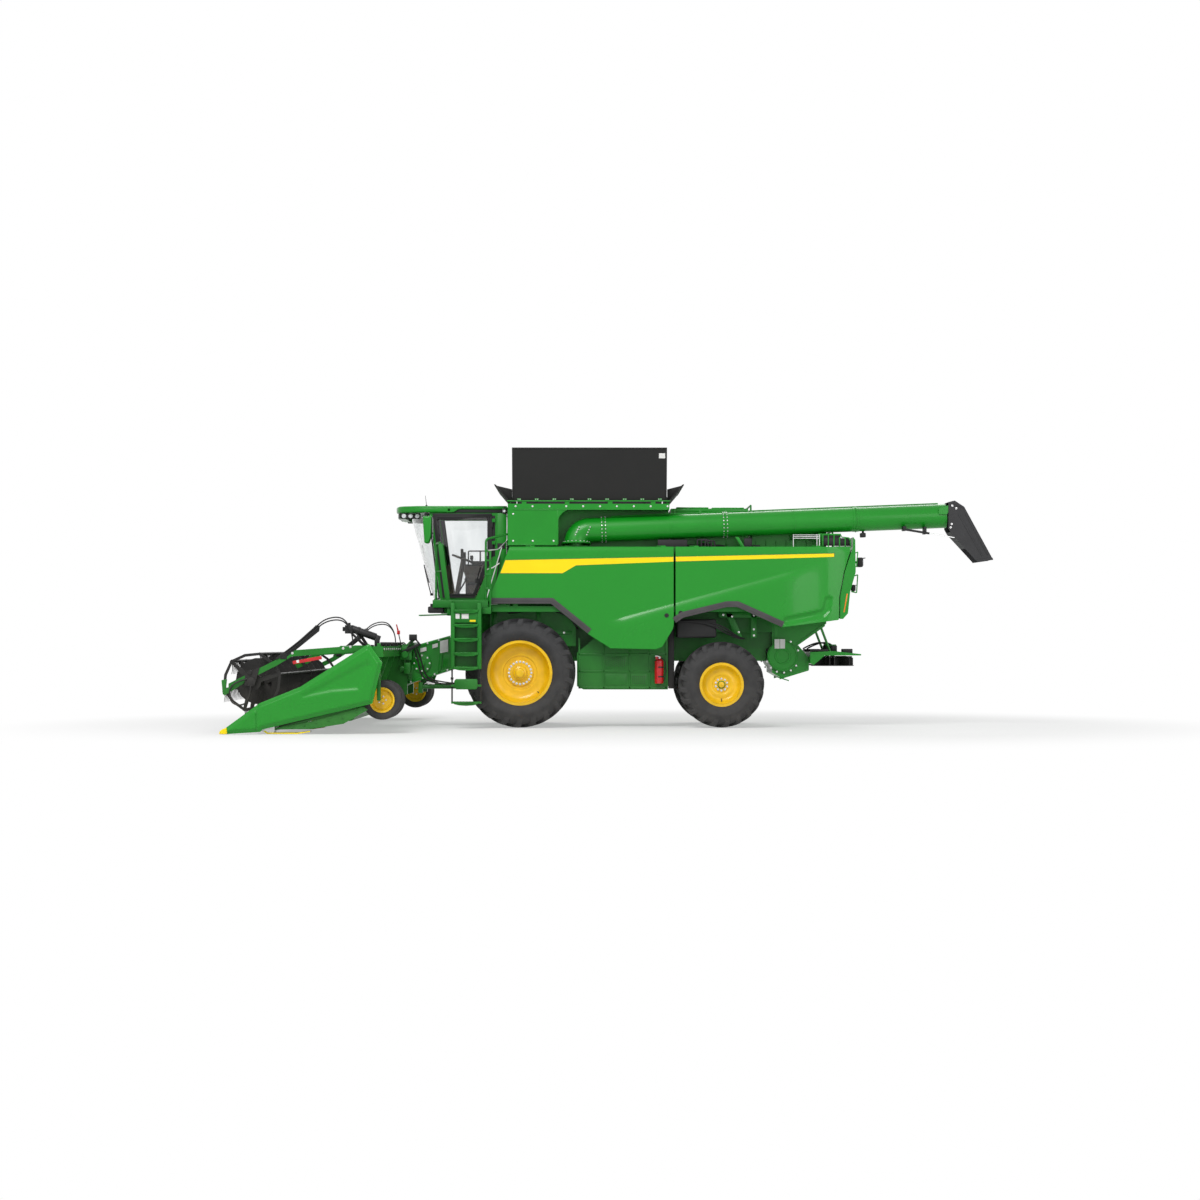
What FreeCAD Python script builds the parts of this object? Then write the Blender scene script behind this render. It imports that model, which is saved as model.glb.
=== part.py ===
"""Combine harvester with a draper header.

Frame: millimetres, +Z up, +X towards the rear of the machine, +Y towards its right-hand side.
The origin is on the ground, midway between the header's tip and the end of the unloading spout.
"""
import FreeCAD, Part
import math
import os

import Sketcher
from FreeCAD import Placement, Rotation, Vector

doc = FreeCAD.newDocument("CombineHarvester")
sheet = doc.addObject("Spreadsheet::Sheet", "Dims")
SUB_PARTS = []
CELLS = []
SOURCES = {"XY": "XY_Plane", "XZ": "XZ_Plane", "YZ": "YZ_Plane"}


# ---------------------------------------------------------------- sizes
class Size:
    """A length or angle that carries its number and its spreadsheet formula."""

    def __init__(self, number, formula):
        self.number = number
        self.formula = formula

    def __add__(self, other):
        other = as_size(other)
        return Size(self.number + other.number, f"({self.formula} + {other.formula})")

    def __sub__(self, other):
        other = as_size(other)
        return Size(self.number - other.number, f"({self.formula} - {other.formula})")

    def __mul__(self, other):
        other = as_size(other)
        return Size(self.number * other.number, f"({self.formula} * {other.formula})")

    def __truediv__(self, other):
        other = as_size(other)
        return Size(self.number / other.number, f"({self.formula} / {other.formula})")

    def __neg__(self):
        return Size(-self.number, f"(-{self.formula})")

    def __radd__(self, other):
        return as_size(other) + self

    def __rsub__(self, other):
        return as_size(other) - self

    def __rmul__(self, other):
        return as_size(other) * self

    def __float__(self):
        return float(self.number)


def as_size(value):
    """A plain number as a Size."""
    if isinstance(value, Size):
        return value
    return Size(float(value), f"({float(value)!r})")


def cell(alias, number):
    """Puts one driving dimension in the next row of the sheet."""
    CELLS.append(alias)
    row = f"A{len(CELLS)}"
    sheet.set(row, str(number))
    sheet.setAlias(row, alias)
    return Size(float(number), f"Dims.{alias}")


# ---------------------------------------------------------------- shape helpers
def bind(feature, property_name, size):
    feature.setExpression(property_name, as_size(size).formula)


def place(feature, x=0, y=0, z=0):
    for axis, size in (("x", x), ("y", y), ("z", z)):
        bind(feature, f".Placement.Base.{axis}", size)
    return feature


def box(name, xs, ys, zs):
    """A block from its low and high X, Y and Z."""
    feature = doc.addObject("Part::Box", name)
    for property_name, (low, high) in (("Length", xs), ("Width", ys), ("Height", zs)):
        bind(feature, property_name, as_size(high) - low)
    return place(feature, xs[0], ys[0], zs[0])


def cylinder(name, start, axis, radius, length):
    """A round bar from its start point along +X, +Y or +Z."""
    feature = doc.addObject("Part::Cylinder", name)
    turn = {"x": Rotation(Vector(0, 1, 0), 90), "y": Rotation(Vector(1, 0, 0), -90),
            "z": Rotation()}[axis]
    feature.Placement = Placement(Vector(), turn)
    bind(feature, "Radius", radius)
    bind(feature, "Height", length)
    return place(feature, *start)


def outline_sketch(body, name, plane, wires):
    """A sketch on one of the body's origin planes, every corner held by the sheet."""
    sketch = body.newObject("Sketcher::SketchObject", name)
    support = [f for f in body.Origin.OriginFeatures if f.Role == SOURCES[plane]][0]
    sketch.AttachmentSupport = [(support, "")]
    sketch.MapMode = "FlatFace"
    for wire in wires:
        first = sketch.GeometryCount
        corners = [(as_size(u), as_size(v)) for u, v in wire]
        for i, (u, v) in enumerate(corners):
            next_u, next_v = corners[(i + 1) % len(corners)]
            sketch.addGeometry(Part.LineSegment(Vector(u.number, v.number, 0),
                                                Vector(next_u.number, next_v.number, 0)))
        for i in range(len(corners)):
            follower = first + (i + 1) % len(corners)
            sketch.addConstraint(Sketcher.Constraint("Coincident", first + i, 2, follower, 1))
        for i, corner in enumerate(corners):
            for kind, size in zip(("DistanceX", "DistanceY"), corner):
                index = sketch.addConstraint(
                    Sketcher.Constraint(kind, -1, 1, first + i, 1, size.number))
                sketch.setExpression(f"Constraints[{index}]", size.formula)
    return sketch


def plate(name, plane, outline, start, end, holes=()):
    """An outline padded square to its plane, from start to end, with holes cut through."""
    body = doc.addObject("PartDesign::Body", name)
    sketch = outline_sketch(body, f"{name}_outline", plane, [outline, *holes])
    pad = body.newObject("PartDesign::Pad", f"{name}_pad")
    pad.Profile = sketch
    pad.Reversed = plane == "XZ"
    bind(pad, "Length", as_size(end) - start)
    offset = {"XZ": (0, start, 0), "XY": (0, 0, start), "YZ": (start, 0, 0)}[plane]
    return place(body, *offset)


def revolved(name, profile, centre):
    """A ring about the Y axis through centre, from (radius, y) corners."""
    body = doc.addObject("PartDesign::Body", name)
    sketch = outline_sketch(body, f"{name}_profile", "XY", [profile])
    turn = body.newObject("PartDesign::Revolution", f"{name}_turn")
    turn.Profile = sketch
    turn.ReferenceAxis = (sketch, ["V_Axis"])
    turn.Angle = 360
    return place(body, *centre)


def span(side, inner, outer):
    """The Y range from inner to outer on one side of the machine, -1 left or 1 right."""
    low, high = sorted((side * as_size(inner), side * as_size(outer)), key=float)
    return low, high


def fuse(name, pieces):
    feature = doc.addObject("Part::MultiFuse", name)
    feature.Shapes = pieces
    feature.Refine = True
    return feature


def common(name, pieces):
    feature = doc.addObject("Part::MultiCommon", name)
    feature.Shapes = pieces
    return feature


def cut(name, base, tools):
    """Base less one tool, or less several tools joined first."""
    feature = doc.addObject("Part::Cut", name)
    feature.Base = base
    feature.Tool = tools[0] if len(tools) == 1 else fuse(f"{name}_tools", tools)
    feature.Refine = True
    return feature


def together(name, pieces):
    """Like pieces that don't touch, kept as separate solids under one name."""
    feature = doc.addObject("Part::Compound", name)
    feature.Links = pieces
    return feature


def mirrored(name, source):
    """The same piece on the machine's other side."""
    feature = doc.addObject("Part::Mirroring", name)
    feature.Source = source
    feature.Normal = (0, 1, 0)
    return feature


def shaped(name, shape):
    feature = doc.addObject("Part::Feature", name)
    feature.Shape = shape
    return feature


def point(*sizes):
    return Vector(*[float(s) for s in sizes])


def bar(name, start, end, radius):
    """A round bar between two points."""
    a, b = point(*start), point(*end)
    return shaped(name, Part.makeCylinder(float(radius), (b - a).Length, a, b - a))


def bent_tube(name, route, radius, bend):
    """A round tube along straight runs joined by arcs of the bend radius."""
    points = [point(*p) for p in route]
    edges, last = [], points[0]
    for before, corner, after in zip(points, points[1:], points[2:]):
        inward, outward = (before - corner).normalize(), (after - corner).normalize()
        half = inward.getAngle(outward) / 2
        reach = float(bend) / math.tan(half)
        middle = (inward + outward).normalize()
        centre = corner + middle * (float(bend) / math.sin(half))
        start, end = corner + inward * reach, corner + outward * reach
        edges.append(Part.LineSegment(last, start).toShape())
        edges.append(Part.Arc(start, centre - middle * float(bend), end).toShape())
        last = end
    edges.append(Part.LineSegment(last, points[-1]).toShape())
    path = Part.Wire(edges)
    ring = Part.Wire(Part.Circle(points[0], points[1] - points[0], float(radius)).toShape())
    return shaped(name, path.makePipeShell([ring], True, True))


def sub_part(label, feature):
    """Names a finished piece: the label is its node and its file."""
    feature.Label = label
    SUB_PARTS.append(feature)
    return feature


# ---------------------------------------------------------------- driving dimensions
gap = cell("seat_gap", 0.3)
sheet_steel = cell("sheet_steel", 20)

front_axle_x = cell("front_axle_x", -1777)
wheelbase = cell("wheelbase", 3580)
rear_axle_x = front_axle_x + wheelbase
half_width = cell("body_half_width", 1560)
panel_top = cell("panel_top", 3215)
panel_bottom = cell("panel_bottom", 1400)
panel_thickness = cell("panel_thickness", 40)
panel_seam = cell("panel_seam", 35)
housing_half = cell("separator_half_width", 720)
waist_half = cell("waist_half_width", 540)
# ---------------------------------------------------------------- wheels
front_tyre_radius = cell("front_tyre_diameter", 1946) / 2
front_tyre_width = cell("front_tyre_width", 650)
front_rim_radius = cell("front_rim_diameter", 1090) / 2
front_track_half = cell("front_track", 2690) / 2
front_hub_radius = cell("front_hub_radius", 110)
rear_tyre_radius = cell("rear_tyre_diameter", 1530) / 2
rear_tyre_width = cell("rear_tyre_width", 560)
rear_rim_radius = cell("rear_rim_diameter", 720) / 2
rear_track_half = cell("rear_track", 2680) / 2
rear_hub_radius = cell("rear_hub_radius", 70)
disc_thickness = cell("wheel_disc_thickness", 20)
front_disc_y = cell("front_disc_offset", 0)
rear_disc_y = cell("rear_disc_offset", -90)
rim_wall = cell("rim_wall", 15)
rim_lip = cell("rim_lip", 32)


def tyre(name, radius, width, rim_radius, centre):
    """A tyre: flat crown, rounded shoulders, bulged walls and square beads."""
    bead = width * 0.36
    half = [(radius, width * 0.40), (radius - 40, width * 0.47), (radius - 130, width * 0.5),
            (rim_radius + 90, width * 0.47), (rim_radius + 45, bead), (rim_radius + gap, bead)]
    profile = half + [(r, -y) for r, y in reversed(half)]
    return revolved(name, profile, centre)


def rim(name, rim_radius, width, hub_radius, disc_y, centre):
    """A wheel: barrel with a lip outside each bead, and a disc with a centre bore."""
    inner, outer = width * 0.36 + gap, width * 0.36 + gap + 18
    well, low, high = rim_radius - rim_wall, disc_y, disc_y + disc_thickness
    profile = [(rim_radius + rim_lip, -outer), (rim_radius + rim_lip, -inner),
               (rim_radius, -inner), (rim_radius, inner), (rim_radius + rim_lip, inner),
               (rim_radius + rim_lip, outer), (well, outer), (well, high),
               (hub_radius + gap, high), (hub_radius + gap, low), (well, low), (well, -outer)]
    return revolved(name, profile, centre)


def wheel_pair(end, radius, width, rim_radius, track_half, hub_radius, disc_y, axle_x):
    """Left and right tyre and rim of one axle. The disc sits inside the outer lip."""
    centre = (axle_x, -track_half, radius)
    left_tyre = tyre(f"{end}_tyre_left", radius, width, rim_radius, centre)
    left_rim = rim(f"{end}_rim_left", rim_radius, width, hub_radius, disc_y, centre)
    sub_part(f"{end}_left_tyre", left_tyre)
    sub_part(f"{end}_left_rim", left_rim)
    sub_part(f"{end}_right_tyre", mirrored(f"{end}_tyre_right", left_tyre))
    sub_part(f"{end}_right_rim", mirrored(f"{end}_rim_right", left_rim))


wheel_pair("front", front_tyre_radius, front_tyre_width, front_rim_radius, front_track_half,
           front_hub_radius, front_disc_y, front_axle_x)
wheel_pair("rear", rear_tyre_radius, rear_tyre_width, rear_rim_radius, rear_track_half,
           rear_hub_radius, rear_disc_y, rear_axle_x)

# ---------------------------------------------------------------- front axle
axle_beam = cell("front_axle_beam", 300)
frame_bottom = front_tyre_radius + cell("frame_above_axle", 207)
frame_rail = cell("frame_rail_height", 220)
frame_top = frame_bottom + frame_rail


def hub(name, centre_y, disc_y, hub_radius, axle_x, axle_z, flange_y):
    """Hub of a left wheel: a flange behind the disc and a cap through its bore."""
    disc_back = centre_y + disc_y + disc_thickness
    cap_out = centre_y + disc_y - 45
    flange = cylinder(f"{name}_flange", (axle_x, disc_back + gap, axle_z), "y",
                      hub_radius * 1.7, flange_y - disc_back - gap)
    cap = cylinder(f"{name}_cap", (axle_x, cap_out, axle_z), "y", hub_radius,
                   disc_back + 30 - cap_out)
    return [flange, cap]


def front_axle():
    """Cross beam with a final drive case at each end and hubs for the drive wheels."""
    centre_z, half = front_tyre_radius, axle_beam / 2
    inner_face = front_track_half - front_tyre_width / 2
    case_in, case_out = inner_face - 90, inner_face + 60
    beam = box("axle_beam", (front_axle_x - half, front_axle_x + half),
               (-case_in - 1, case_in + 1), (centre_z - half, centre_z + half))
    pieces = [beam]
    legs = [box("axle_leg", (front_axle_x - half * 0.8, front_axle_x + half * 0.8),
                (-housing_half + 40, -housing_half + 160), (centre_z, frame_bottom))]
    case = cylinder("final_drive", (front_axle_x, -case_out, centre_z), "y", 260,
                    case_out - case_in)
    left = [case, *hub("front_hub", -front_track_half, front_disc_y,
                       front_hub_radius, front_axle_x, centre_z, -case_out + 1)] + legs
    right = [mirrored(f"{piece.Name}_right", piece) for piece in left]
    lugs = []
    for side in (-1, 1):
        lug_y = side * lift_y
        lugs.append(box("lift_lug", (lift_base[0] - 45, front_axle_x),
                        (lug_y - lug_half, lug_y + lug_half),
                        (lift_base[1] - 45, centre_z - half + 1)))
        lugs.append(box("lift_lug_top", (front_axle_x - half * 0.9, front_axle_x),
                        (lug_y - lug_half, lug_y + lug_half), (centre_z - half - 1, centre_z)))
    pins = [cylinder("lift_base_pin", (lift_base[0], side * lift_y - lug_half - 50, lift_base[1]),
                     "y", lift_pin_radius, 100 + lug_half * 2) for side in (-1, 1)]
    sub_part("front_axle", fuse("front_axle_solid", pieces + left + right + lugs + pins))


# ---------------------------------------------------------------- feeder house and its cylinders
feeder_half = cell("feeder_half_width", 690)
feeder_pivot = (front_axle_x - 213, cell("feeder_pivot_height", 1700))
feeder_front_top = (front_axle_x - 1943, cell("feeder_mouth_top", 1456))
feeder_front_low = (front_axle_x - 2053, cell("feeder_mouth_bottom", 763))
feeder_rear_x = feeder_pivot[0] - 50
feeder_rear_top = (feeder_rear_x, cell("feeder_rear_top", 1925))
feeder_rear_low = (feeder_rear_x, cell("feeder_rear_bottom", 1340))
feeder_shaft_radius = cell("feeder_shaft_radius", 45)
lift_base = (front_axle_x - 223, cell("lift_base_height", 700))
lift_eye = (feeder_front_low[0] + 330, cell("lift_eye_height", 740))
lift_y = cell("lift_cylinder_y", 520)
lift_pin_radius = cell("lift_pin_radius", 22)
lift_barrel_radius = cell("lift_barrel_radius", 55)
lift_rod_radius = cell("lift_rod_radius", 30)
lug_half = cell("lift_lug_half", 15)
eye_slack = cell("rod_eye_slack", 14)


def feeder_house():
    """Sloping duct, open at both ends, that turns on its top shaft."""
    shell = plate("feeder_shell", "XZ",
                  [feeder_front_low, feeder_front_top, feeder_rear_top, feeder_rear_low],
                  -feeder_half, feeder_half)
    wall, over = sheet_steel * 1.2, 60
    bore = plate("feeder_bore", "XZ",
                 [(feeder_front_low[0] - over, feeder_front_low[1] + wall - over * 0.3),
                  (feeder_front_top[0] - over, feeder_front_top[1] - wall - over * 0.27),
                  (feeder_rear_top[0] + over, feeder_rear_top[1] - wall),
                  (feeder_rear_low[0] + over, feeder_rear_low[1] + wall)],
                 -feeder_half + wall, feeder_half - wall)
    ears = [box("feeder_ear", (feeder_pivot[0] - 130, feeder_pivot[0] + 70), ys,
                (feeder_pivot[1] - 80, feeder_pivot[1] + 80))
            for ys in ((-feeder_half, -feeder_half + wall), (feeder_half - wall, feeder_half))]
    shaft = cylinder("feeder_shaft", (feeder_pivot[0], -feeder_half - 70, feeder_pivot[1]), "y",
                     feeder_shaft_radius, feeder_half * 2 + 140)
    slope = (feeder_rear_low[1] - feeder_front_low[1]) / (feeder_rear_low[0] - feeder_front_low[0])

    def underside(x):
        return feeder_front_low[1] + (x - feeder_front_low[0]) * slope

    lugs = []
    for side in (-1, 1):
        low = side * lift_y - lug_half
        front_x, rear_x = lift_eye[0] - 120, lift_eye[0] + 120
        lugs.append(plate("feeder_lug", "XZ",
                          [(lift_eye[0] - 40, lift_eye[1] - 40), (lift_eye[0] + 40, lift_eye[1] - 40),
                           (rear_x, underside(rear_x) + 12), (front_x, underside(front_x) + 12)],
                          low, low + lug_half * 2))
        lugs.append(cylinder("feeder_eye_pin", (lift_eye[0], low - 50, lift_eye[1]), "y",
                             lift_pin_radius * 0.75, lug_half * 2 + 100))
    body = cut("feeder_duct", shell, [bore])
    sub_part("feeder_house", fuse("feeder_house_solid", [body, *ears, shaft, *lugs]))


def lift_cylinders():
    """A barrel and rod each side under the duct, one cheek each side of their lugs."""
    a, b = point(lift_base[0], 0, lift_base[1]), point(lift_eye[0], 0, lift_eye[1])
    along = (b - a).normalize()
    length = (b - a).Length
    pin, eye_thickness = float(lift_pin_radius), 24.0
    barrel_length = length * 0.62
    barrels, rods = [], []
    for side in (-1, 1):
        for cheek in (-1, 1):
            y = side * float(lift_y) + cheek * (float(lug_half) + 3 + eye_thickness / 2)
            offset = Vector(0, y, 0)
            back = Vector(0, -eye_thickness / 2, 0)
            ring = Part.makeCylinder(pin * 2, eye_thickness, a + offset + back, Vector(0, 1, 0))
            arm = Part.makeBox(190, eye_thickness, pin * 2.4)
            arm.Placement = Placement(a + offset, Rotation(Vector(1, 0, 0), along))
            arm.translate(back - Vector(0, 0, pin * 1.2))
            hole = Part.makeCylinder(pin + float(gap), eye_thickness, a + offset + back,
                                     Vector(0, 1, 0))
            barrels.append(ring.fuse(arm).cut(hole))
            eye = Part.makeCylinder(pin * 2, eye_thickness, b + offset + back, Vector(0, 1, 0))
            link = Part.makeBox(150, eye_thickness, pin * 2)
            link.Placement = Placement(b + offset, Rotation(Vector(1, 0, 0), along * -1))
            link.translate(back - Vector(0, 0, -pin))
            slack = Part.makeCylinder(pin * 0.75 + float(eye_slack), eye_thickness,
                                      b + offset + back, Vector(0, 1, 0))
            rods.append(eye.fuse(link).cut(slack))
        centre = Vector(0, side * float(lift_y), 0)
        tube = Part.makeCylinder(float(lift_barrel_radius), barrel_length - 170,
                                 a + centre + along * 170, along)
        bore = Part.makeCylinder(float(lift_rod_radius) + float(gap), barrel_length,
                                 a + centre + along * 200, along)
        barrels.append(tube.cut(bore))
        rods.append(Part.makeCylinder(float(lift_rod_radius), length - 130 - 420,
                                      a + centre + along * 420, along))
    barrel_shape = barrels[0].fuse(barrels[1:]).removeSplitter()
    rod_shape = rods[0].fuse(rods[1:]).removeSplitter()
    sub_part("lift_cylinder_barrels", shaped("lift_barrels", barrel_shape))
    sub_part("lift_cylinder_rods", shaped("lift_rods", rod_shape))


# ---------------------------------------------------------------- chassis, separator, rear end
housing_front = front_axle_x - 103
housing_rear = rear_axle_x + 960
sill_z = front_tyre_radius * 2 + cell("sill_above_tyre", 114)
housing_top = sill_z + cell("separator_above_sill", 390)
waist_top = cell("waist_top", 1700)
belly_half = cell("belly_half_width", 1150)
belly_bottom = cell("belly_bottom", 673)
belly_front = front_axle_x + front_tyre_radius + 37
belly_rear = rear_axle_x - 940
rail_half = cell("frame_rail_width", 90)
drum_x = rear_axle_x + 1149
drum_z = frame_bottom + cell("chopper_above_frame", 88)
drum_radius = cell("chopper_radius", 277)
rail_end = drum_x - drum_radius - 12


def separator_housing():
    """The threshing and cleaning body: a wide upper box, a narrow waist over the rear axle
    and the belly between the wheels."""
    upper = box("housing_upper", (housing_front, housing_rear), (-housing_half, housing_half),
                (waist_top, housing_top))
    front = box("housing_front", (housing_front, belly_rear), (-housing_half, housing_half),
                (frame_top, waist_top + 1))
    waist = box("housing_waist", (belly_rear - 1, housing_rear), (-waist_half, waist_half),
                (frame_top, waist_top + 1))
    cleaning = plate("cleaning_box", "XZ",
                     [(belly_front, belly_bottom + 60), (belly_front + 120, belly_bottom),
                      (belly_rear, belly_bottom), (belly_rear, frame_bottom + 420),
                      (belly_front + 330, frame_bottom + 420), (belly_front, frame_bottom + 150)],
                     -belly_half, belly_half)
    rail_slot = [box("rail_slot", (belly_front - 10, belly_rear + 10), ys,
                     (frame_bottom - gap, frame_top + gap))
                 for ys in ((-housing_half - gap, -housing_half + rail_half + gap),
                            (housing_half - rail_half - gap, housing_half + gap))]
    lower = cut("cleaning_box_slotted", cleaning, rail_slot)
    core = box("housing_core", (belly_front, belly_rear),
               (-housing_half + rail_half + gap, housing_half - rail_half - gap),
               (frame_bottom, frame_top + 1))
    sub_part("separator_housing", fuse("separator_solid", [upper, front, waist, lower, core]))


# ---------------------------------------------------------------- chassis frame and side panels
auger_radius = cell("auger_radius", 215)
auger_bend = auger_radius + cell("auger_bend_clearance", 25)
auger_y = cell("auger_y", 1300)
auger_base_z = cell("auger_base_height", 3262)
tank_front = front_axle_x - 218
tank_rear = front_axle_x + 2657
tank_top = auger_base_z + auger_bend + auger_radius + cell("tank_above_auger", 263)
tank_floor = housing_top + gap
tank_wall = cell("tank_wall", 40)
tank_right = cell("tank_right_half", 1500)
recess_half = auger_y - auger_radius - cell("auger_to_tank", 85)
recess_front = front_axle_x + 669
recess_floor = panel_top + 25
panel_inner = half_width - panel_thickness
hinge_y = panel_inner - 20
hinge_z = panel_top + 10
hinge_radius = cell("panel_hinge_radius", 12)
front_panel_rear = rear_axle_x - 852
rear_panel_front = front_panel_rear + panel_seam
arch_top = front_tyre_radius * 2 + 250
rear_arch_top = rear_tyre_radius * 2 + 510
tail_x = rear_axle_x + 2300


upright_x = (front_axle_x + 60, front_panel_rear - 80, rear_axle_x + 400)
knuckle_length = cell("panel_knuckle_length", 80)
liner_y = front_track_half - front_tyre_width / 2 - cell("liner_to_tyre", 20)
liner_thickness = cell("liner_thickness", 6)
liner_front = front_axle_x - 553
liner_bottom = frame_top + cell("liner_above_frame", 50)
knuckle_gap = cell("knuckle_gap", 0.5)
top_rail_outer = hinge_y - hinge_radius - 2
top_rail_inner = top_rail_outer - 80
frame_knuckle_x = (front_axle_x + 100, front_panel_rear - 300, rear_panel_front + 250, tail_x - 700)


def rail_pieces(side):
    """One side's rail: wide under the separator, stepped in over the steered axle."""
    wide = span(side, housing_half - rail_half, housing_half)
    narrow = span(side, waist_half - rail_half, waist_half)
    step = span(side, waist_half - rail_half, housing_half)
    return [box("frame_rail", (front_axle_x - 250, belly_rear + 40), wide, (frame_bottom, frame_top)),
            box("rear_rail", (belly_rear + gap, rail_end), narrow, (frame_bottom, frame_top)),
            box("rail_step", (belly_rear + gap, belly_rear + 80), step, (frame_bottom, frame_top))]


def feeder_post(side):
    """The post that holds one end of the feeder house's top shaft."""
    low, high = span(side, feeder_half + 10, feeder_half + 60)
    xs = (feeder_pivot[0] - 90, feeder_pivot[0] + 90)
    blank = box("feeder_post_blank", xs, (low, high), (frame_bottom + 40, feeder_pivot[1] + 100))
    bore = cylinder("feeder_post_bore", (feeder_pivot[0], low - 5, feeder_pivot[1]), "y",
                    feeder_shaft_radius + gap, 60)
    foot = box("feeder_post_foot", xs, span(side, housing_half - 1, feeder_half + 60),
               (frame_bottom + 40, frame_top))
    return [cut("feeder_post", blank, [bore]), foot]


def side_frame_pieces(side):
    """Sill, top rail, posts, outriggers and hinge bearings behind one side's panels."""
    front_x, rear_x = front_axle_x - 500, tail_x - 400
    outer, inner = top_rail_outer, top_rail_inner
    pieces = [box("top_rail", (front_axle_x - 150, rear_x), span(side, inner, outer),
                  (panel_top - 90, panel_top)),
              box("side_sill", (front_x, rear_x), span(side, inner - 70, outer - 5),
                  (sill_z, sill_z + 100)),
              box("recess_shelf", (recess_front + 20, tank_rear),
                  span(side, recess_half + gap, outer - 10), (panel_top - 40, panel_top))]
    for x in (front_axle_x - 120, front_panel_rear - 80, rear_x - 80):
        pieces.append(box("side_post", (x, x + 80), span(side, inner, outer - 5),
                          (sill_z + 1, panel_top - 40)))
    for x in upright_x:
        pieces.append(box("outrigger", (x, x + 90), span(side, housing_half + gap, inner - 1),
                          (sill_z + 5, sill_z + 95)))
    pieces.append(plate("wheel_liner", "XZ",
                        [(liner_front, liner_bottom), (liner_front, sill_z + 70), (belly_front - 20, sill_z + 70),
                         (belly_front - 20, liner_bottom)], *span(side, liner_y - liner_thickness, liner_y)))
    for x in frame_knuckle_x:
        pieces.append(cylinder("frame_knuckle", (x, side * hinge_y, hinge_z), "x", hinge_radius,
                               knuckle_length))
        pieces.append(box("knuckle_tab", (x, x + knuckle_length), span(side, outer - 30, hinge_y),
                          (panel_top - 20, hinge_z + 2)))
    return pieces


def chassis_frame():
    """Rails and cross members, with uprights and side frames that carry the panels."""
    cross = [box("axle_cross", (front_axle_x - 100, front_axle_x + 100),
                 (-housing_half + 1, housing_half - 1), (frame_bottom, frame_top)),
             box("rear_cross", (rear_axle_x - 110, rear_axle_x + 110),
                 (-waist_half + 1, waist_half - 1), (frame_bottom, frame_top)),
             box("tail_cross", (rail_end - 80, rail_end),
                 (-waist_half + 1, waist_half - 1), (frame_bottom, frame_top))]
    pieces = list(cross)
    for side in (-1, 1):
        pieces += rail_pieces(side) + feeder_post(side) + side_frame_pieces(side)
        for x in upright_x[:2]:
            pieces.append(box("upright", (x, x + 90), span(side, housing_half + gap, housing_half + 70),
                              (frame_bottom + 60, sill_z + 90)))
            pieces.append(box("upright_foot", (x, x + 90), span(side, housing_half - 30,
                                                               housing_half + 70),
                              (frame_bottom + 60, frame_top)))
    sub_part("chassis_frame", fuse("chassis_solid", pieces))


def side_panel(name, outline, knuckle_starts):
    """A left side panel with hinge knuckles along its top edge."""
    skin = plate(f"{name}_skin", "XZ", outline, -half_width, -panel_inner)
    knuckles = []
    for x in knuckle_starts:
        knuckles.append(cylinder(f"{name}_knuckle", (x, -hinge_y, hinge_z), "x", hinge_radius,
                                 knuckle_length))
        knuckles.append(box(f"{name}_strap", (x, x + knuckle_length), (-half_width + 5, -hinge_y),
                            (panel_top - 25, hinge_z + 2)))
    return fuse(f"{name}_solid", [skin, *knuckles])


def side_panels():
    """Two panels a side: the front one over the drive wheel, the rear one over the steered wheel."""
    r, rr = front_tyre_radius, rear_tyre_radius
    front = [(front_axle_x - 182, panel_top), (front_panel_rear, panel_top),
             (front_panel_rear, panel_bottom + 360), (front_panel_rear - 320, panel_bottom),
             (front_axle_x + r + 636, panel_bottom), (front_axle_x + r + 236, panel_bottom + 264),
             (front_axle_x + r * 0.57, arch_top), (front_axle_x - 518, arch_top),
             (front_axle_x - 518, arch_top + 159)]
    rear = [(rear_panel_front, panel_top), (tail_x, panel_top), (tail_x - 125, panel_top - 451),
            (tail_x - 207, panel_top - 887), (tail_x - 213, panel_bottom + 541),
            (tail_x - 240, panel_bottom + 510), (rear_axle_x + rr + 335, panel_bottom + 385),
            (rear_axle_x + rr + 245, panel_bottom + 370), (rear_axle_x + 270, rear_arch_top),
            (rear_axle_x + 60, rear_arch_top), (rear_axle_x - rr - 15, rear_arch_top - 190),
            (rear_panel_front, rear_arch_top - 250)]
    beside = [x + knuckle_length + knuckle_gap for x in frame_knuckle_x]
    left_front = side_panel("front_side", front, beside[:2])
    left_rear = side_panel("rear_side", rear, beside[2:])
    sub_part("left_front_side_panel", left_front)
    sub_part("left_rear_side_panel", left_rear)
    sub_part("right_front_side_panel", mirrored("front_side_right", left_front))
    sub_part("right_rear_side_panel", mirrored("rear_side_right", left_rear))


# ---------------------------------------------------------------- grain tank and its folding extension
rim_height = cell("tank_rim_height", 100)
cover_y = cell("cover_hinge_y", 1440)
cover_z = tank_top + 50
end_cover_z = tank_top + 16
cover_length = cell("side_cover_length", 960)
end_cover_length = cell("end_cover_length", 440)
cover_lean = cell("side_cover_lean", 12)
end_cover_lean = cell("end_cover_lean", 40)
cover_thickness = cell("cover_thickness", 14)
end_cover_half = cover_y - 45


cover_lug_step = (tank_rear - tank_front - 580) / 3
cover_lug_x = [tank_front + 250 + cover_lug_step * i for i in range(4)]
cover_lug_length = cell("cover_lug_length", 80)
cover_barrel_radius = cell("cover_barrel_radius", 10)
front_cover_x = tank_front + 40
rear_cover_x = tank_rear - 25


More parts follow.
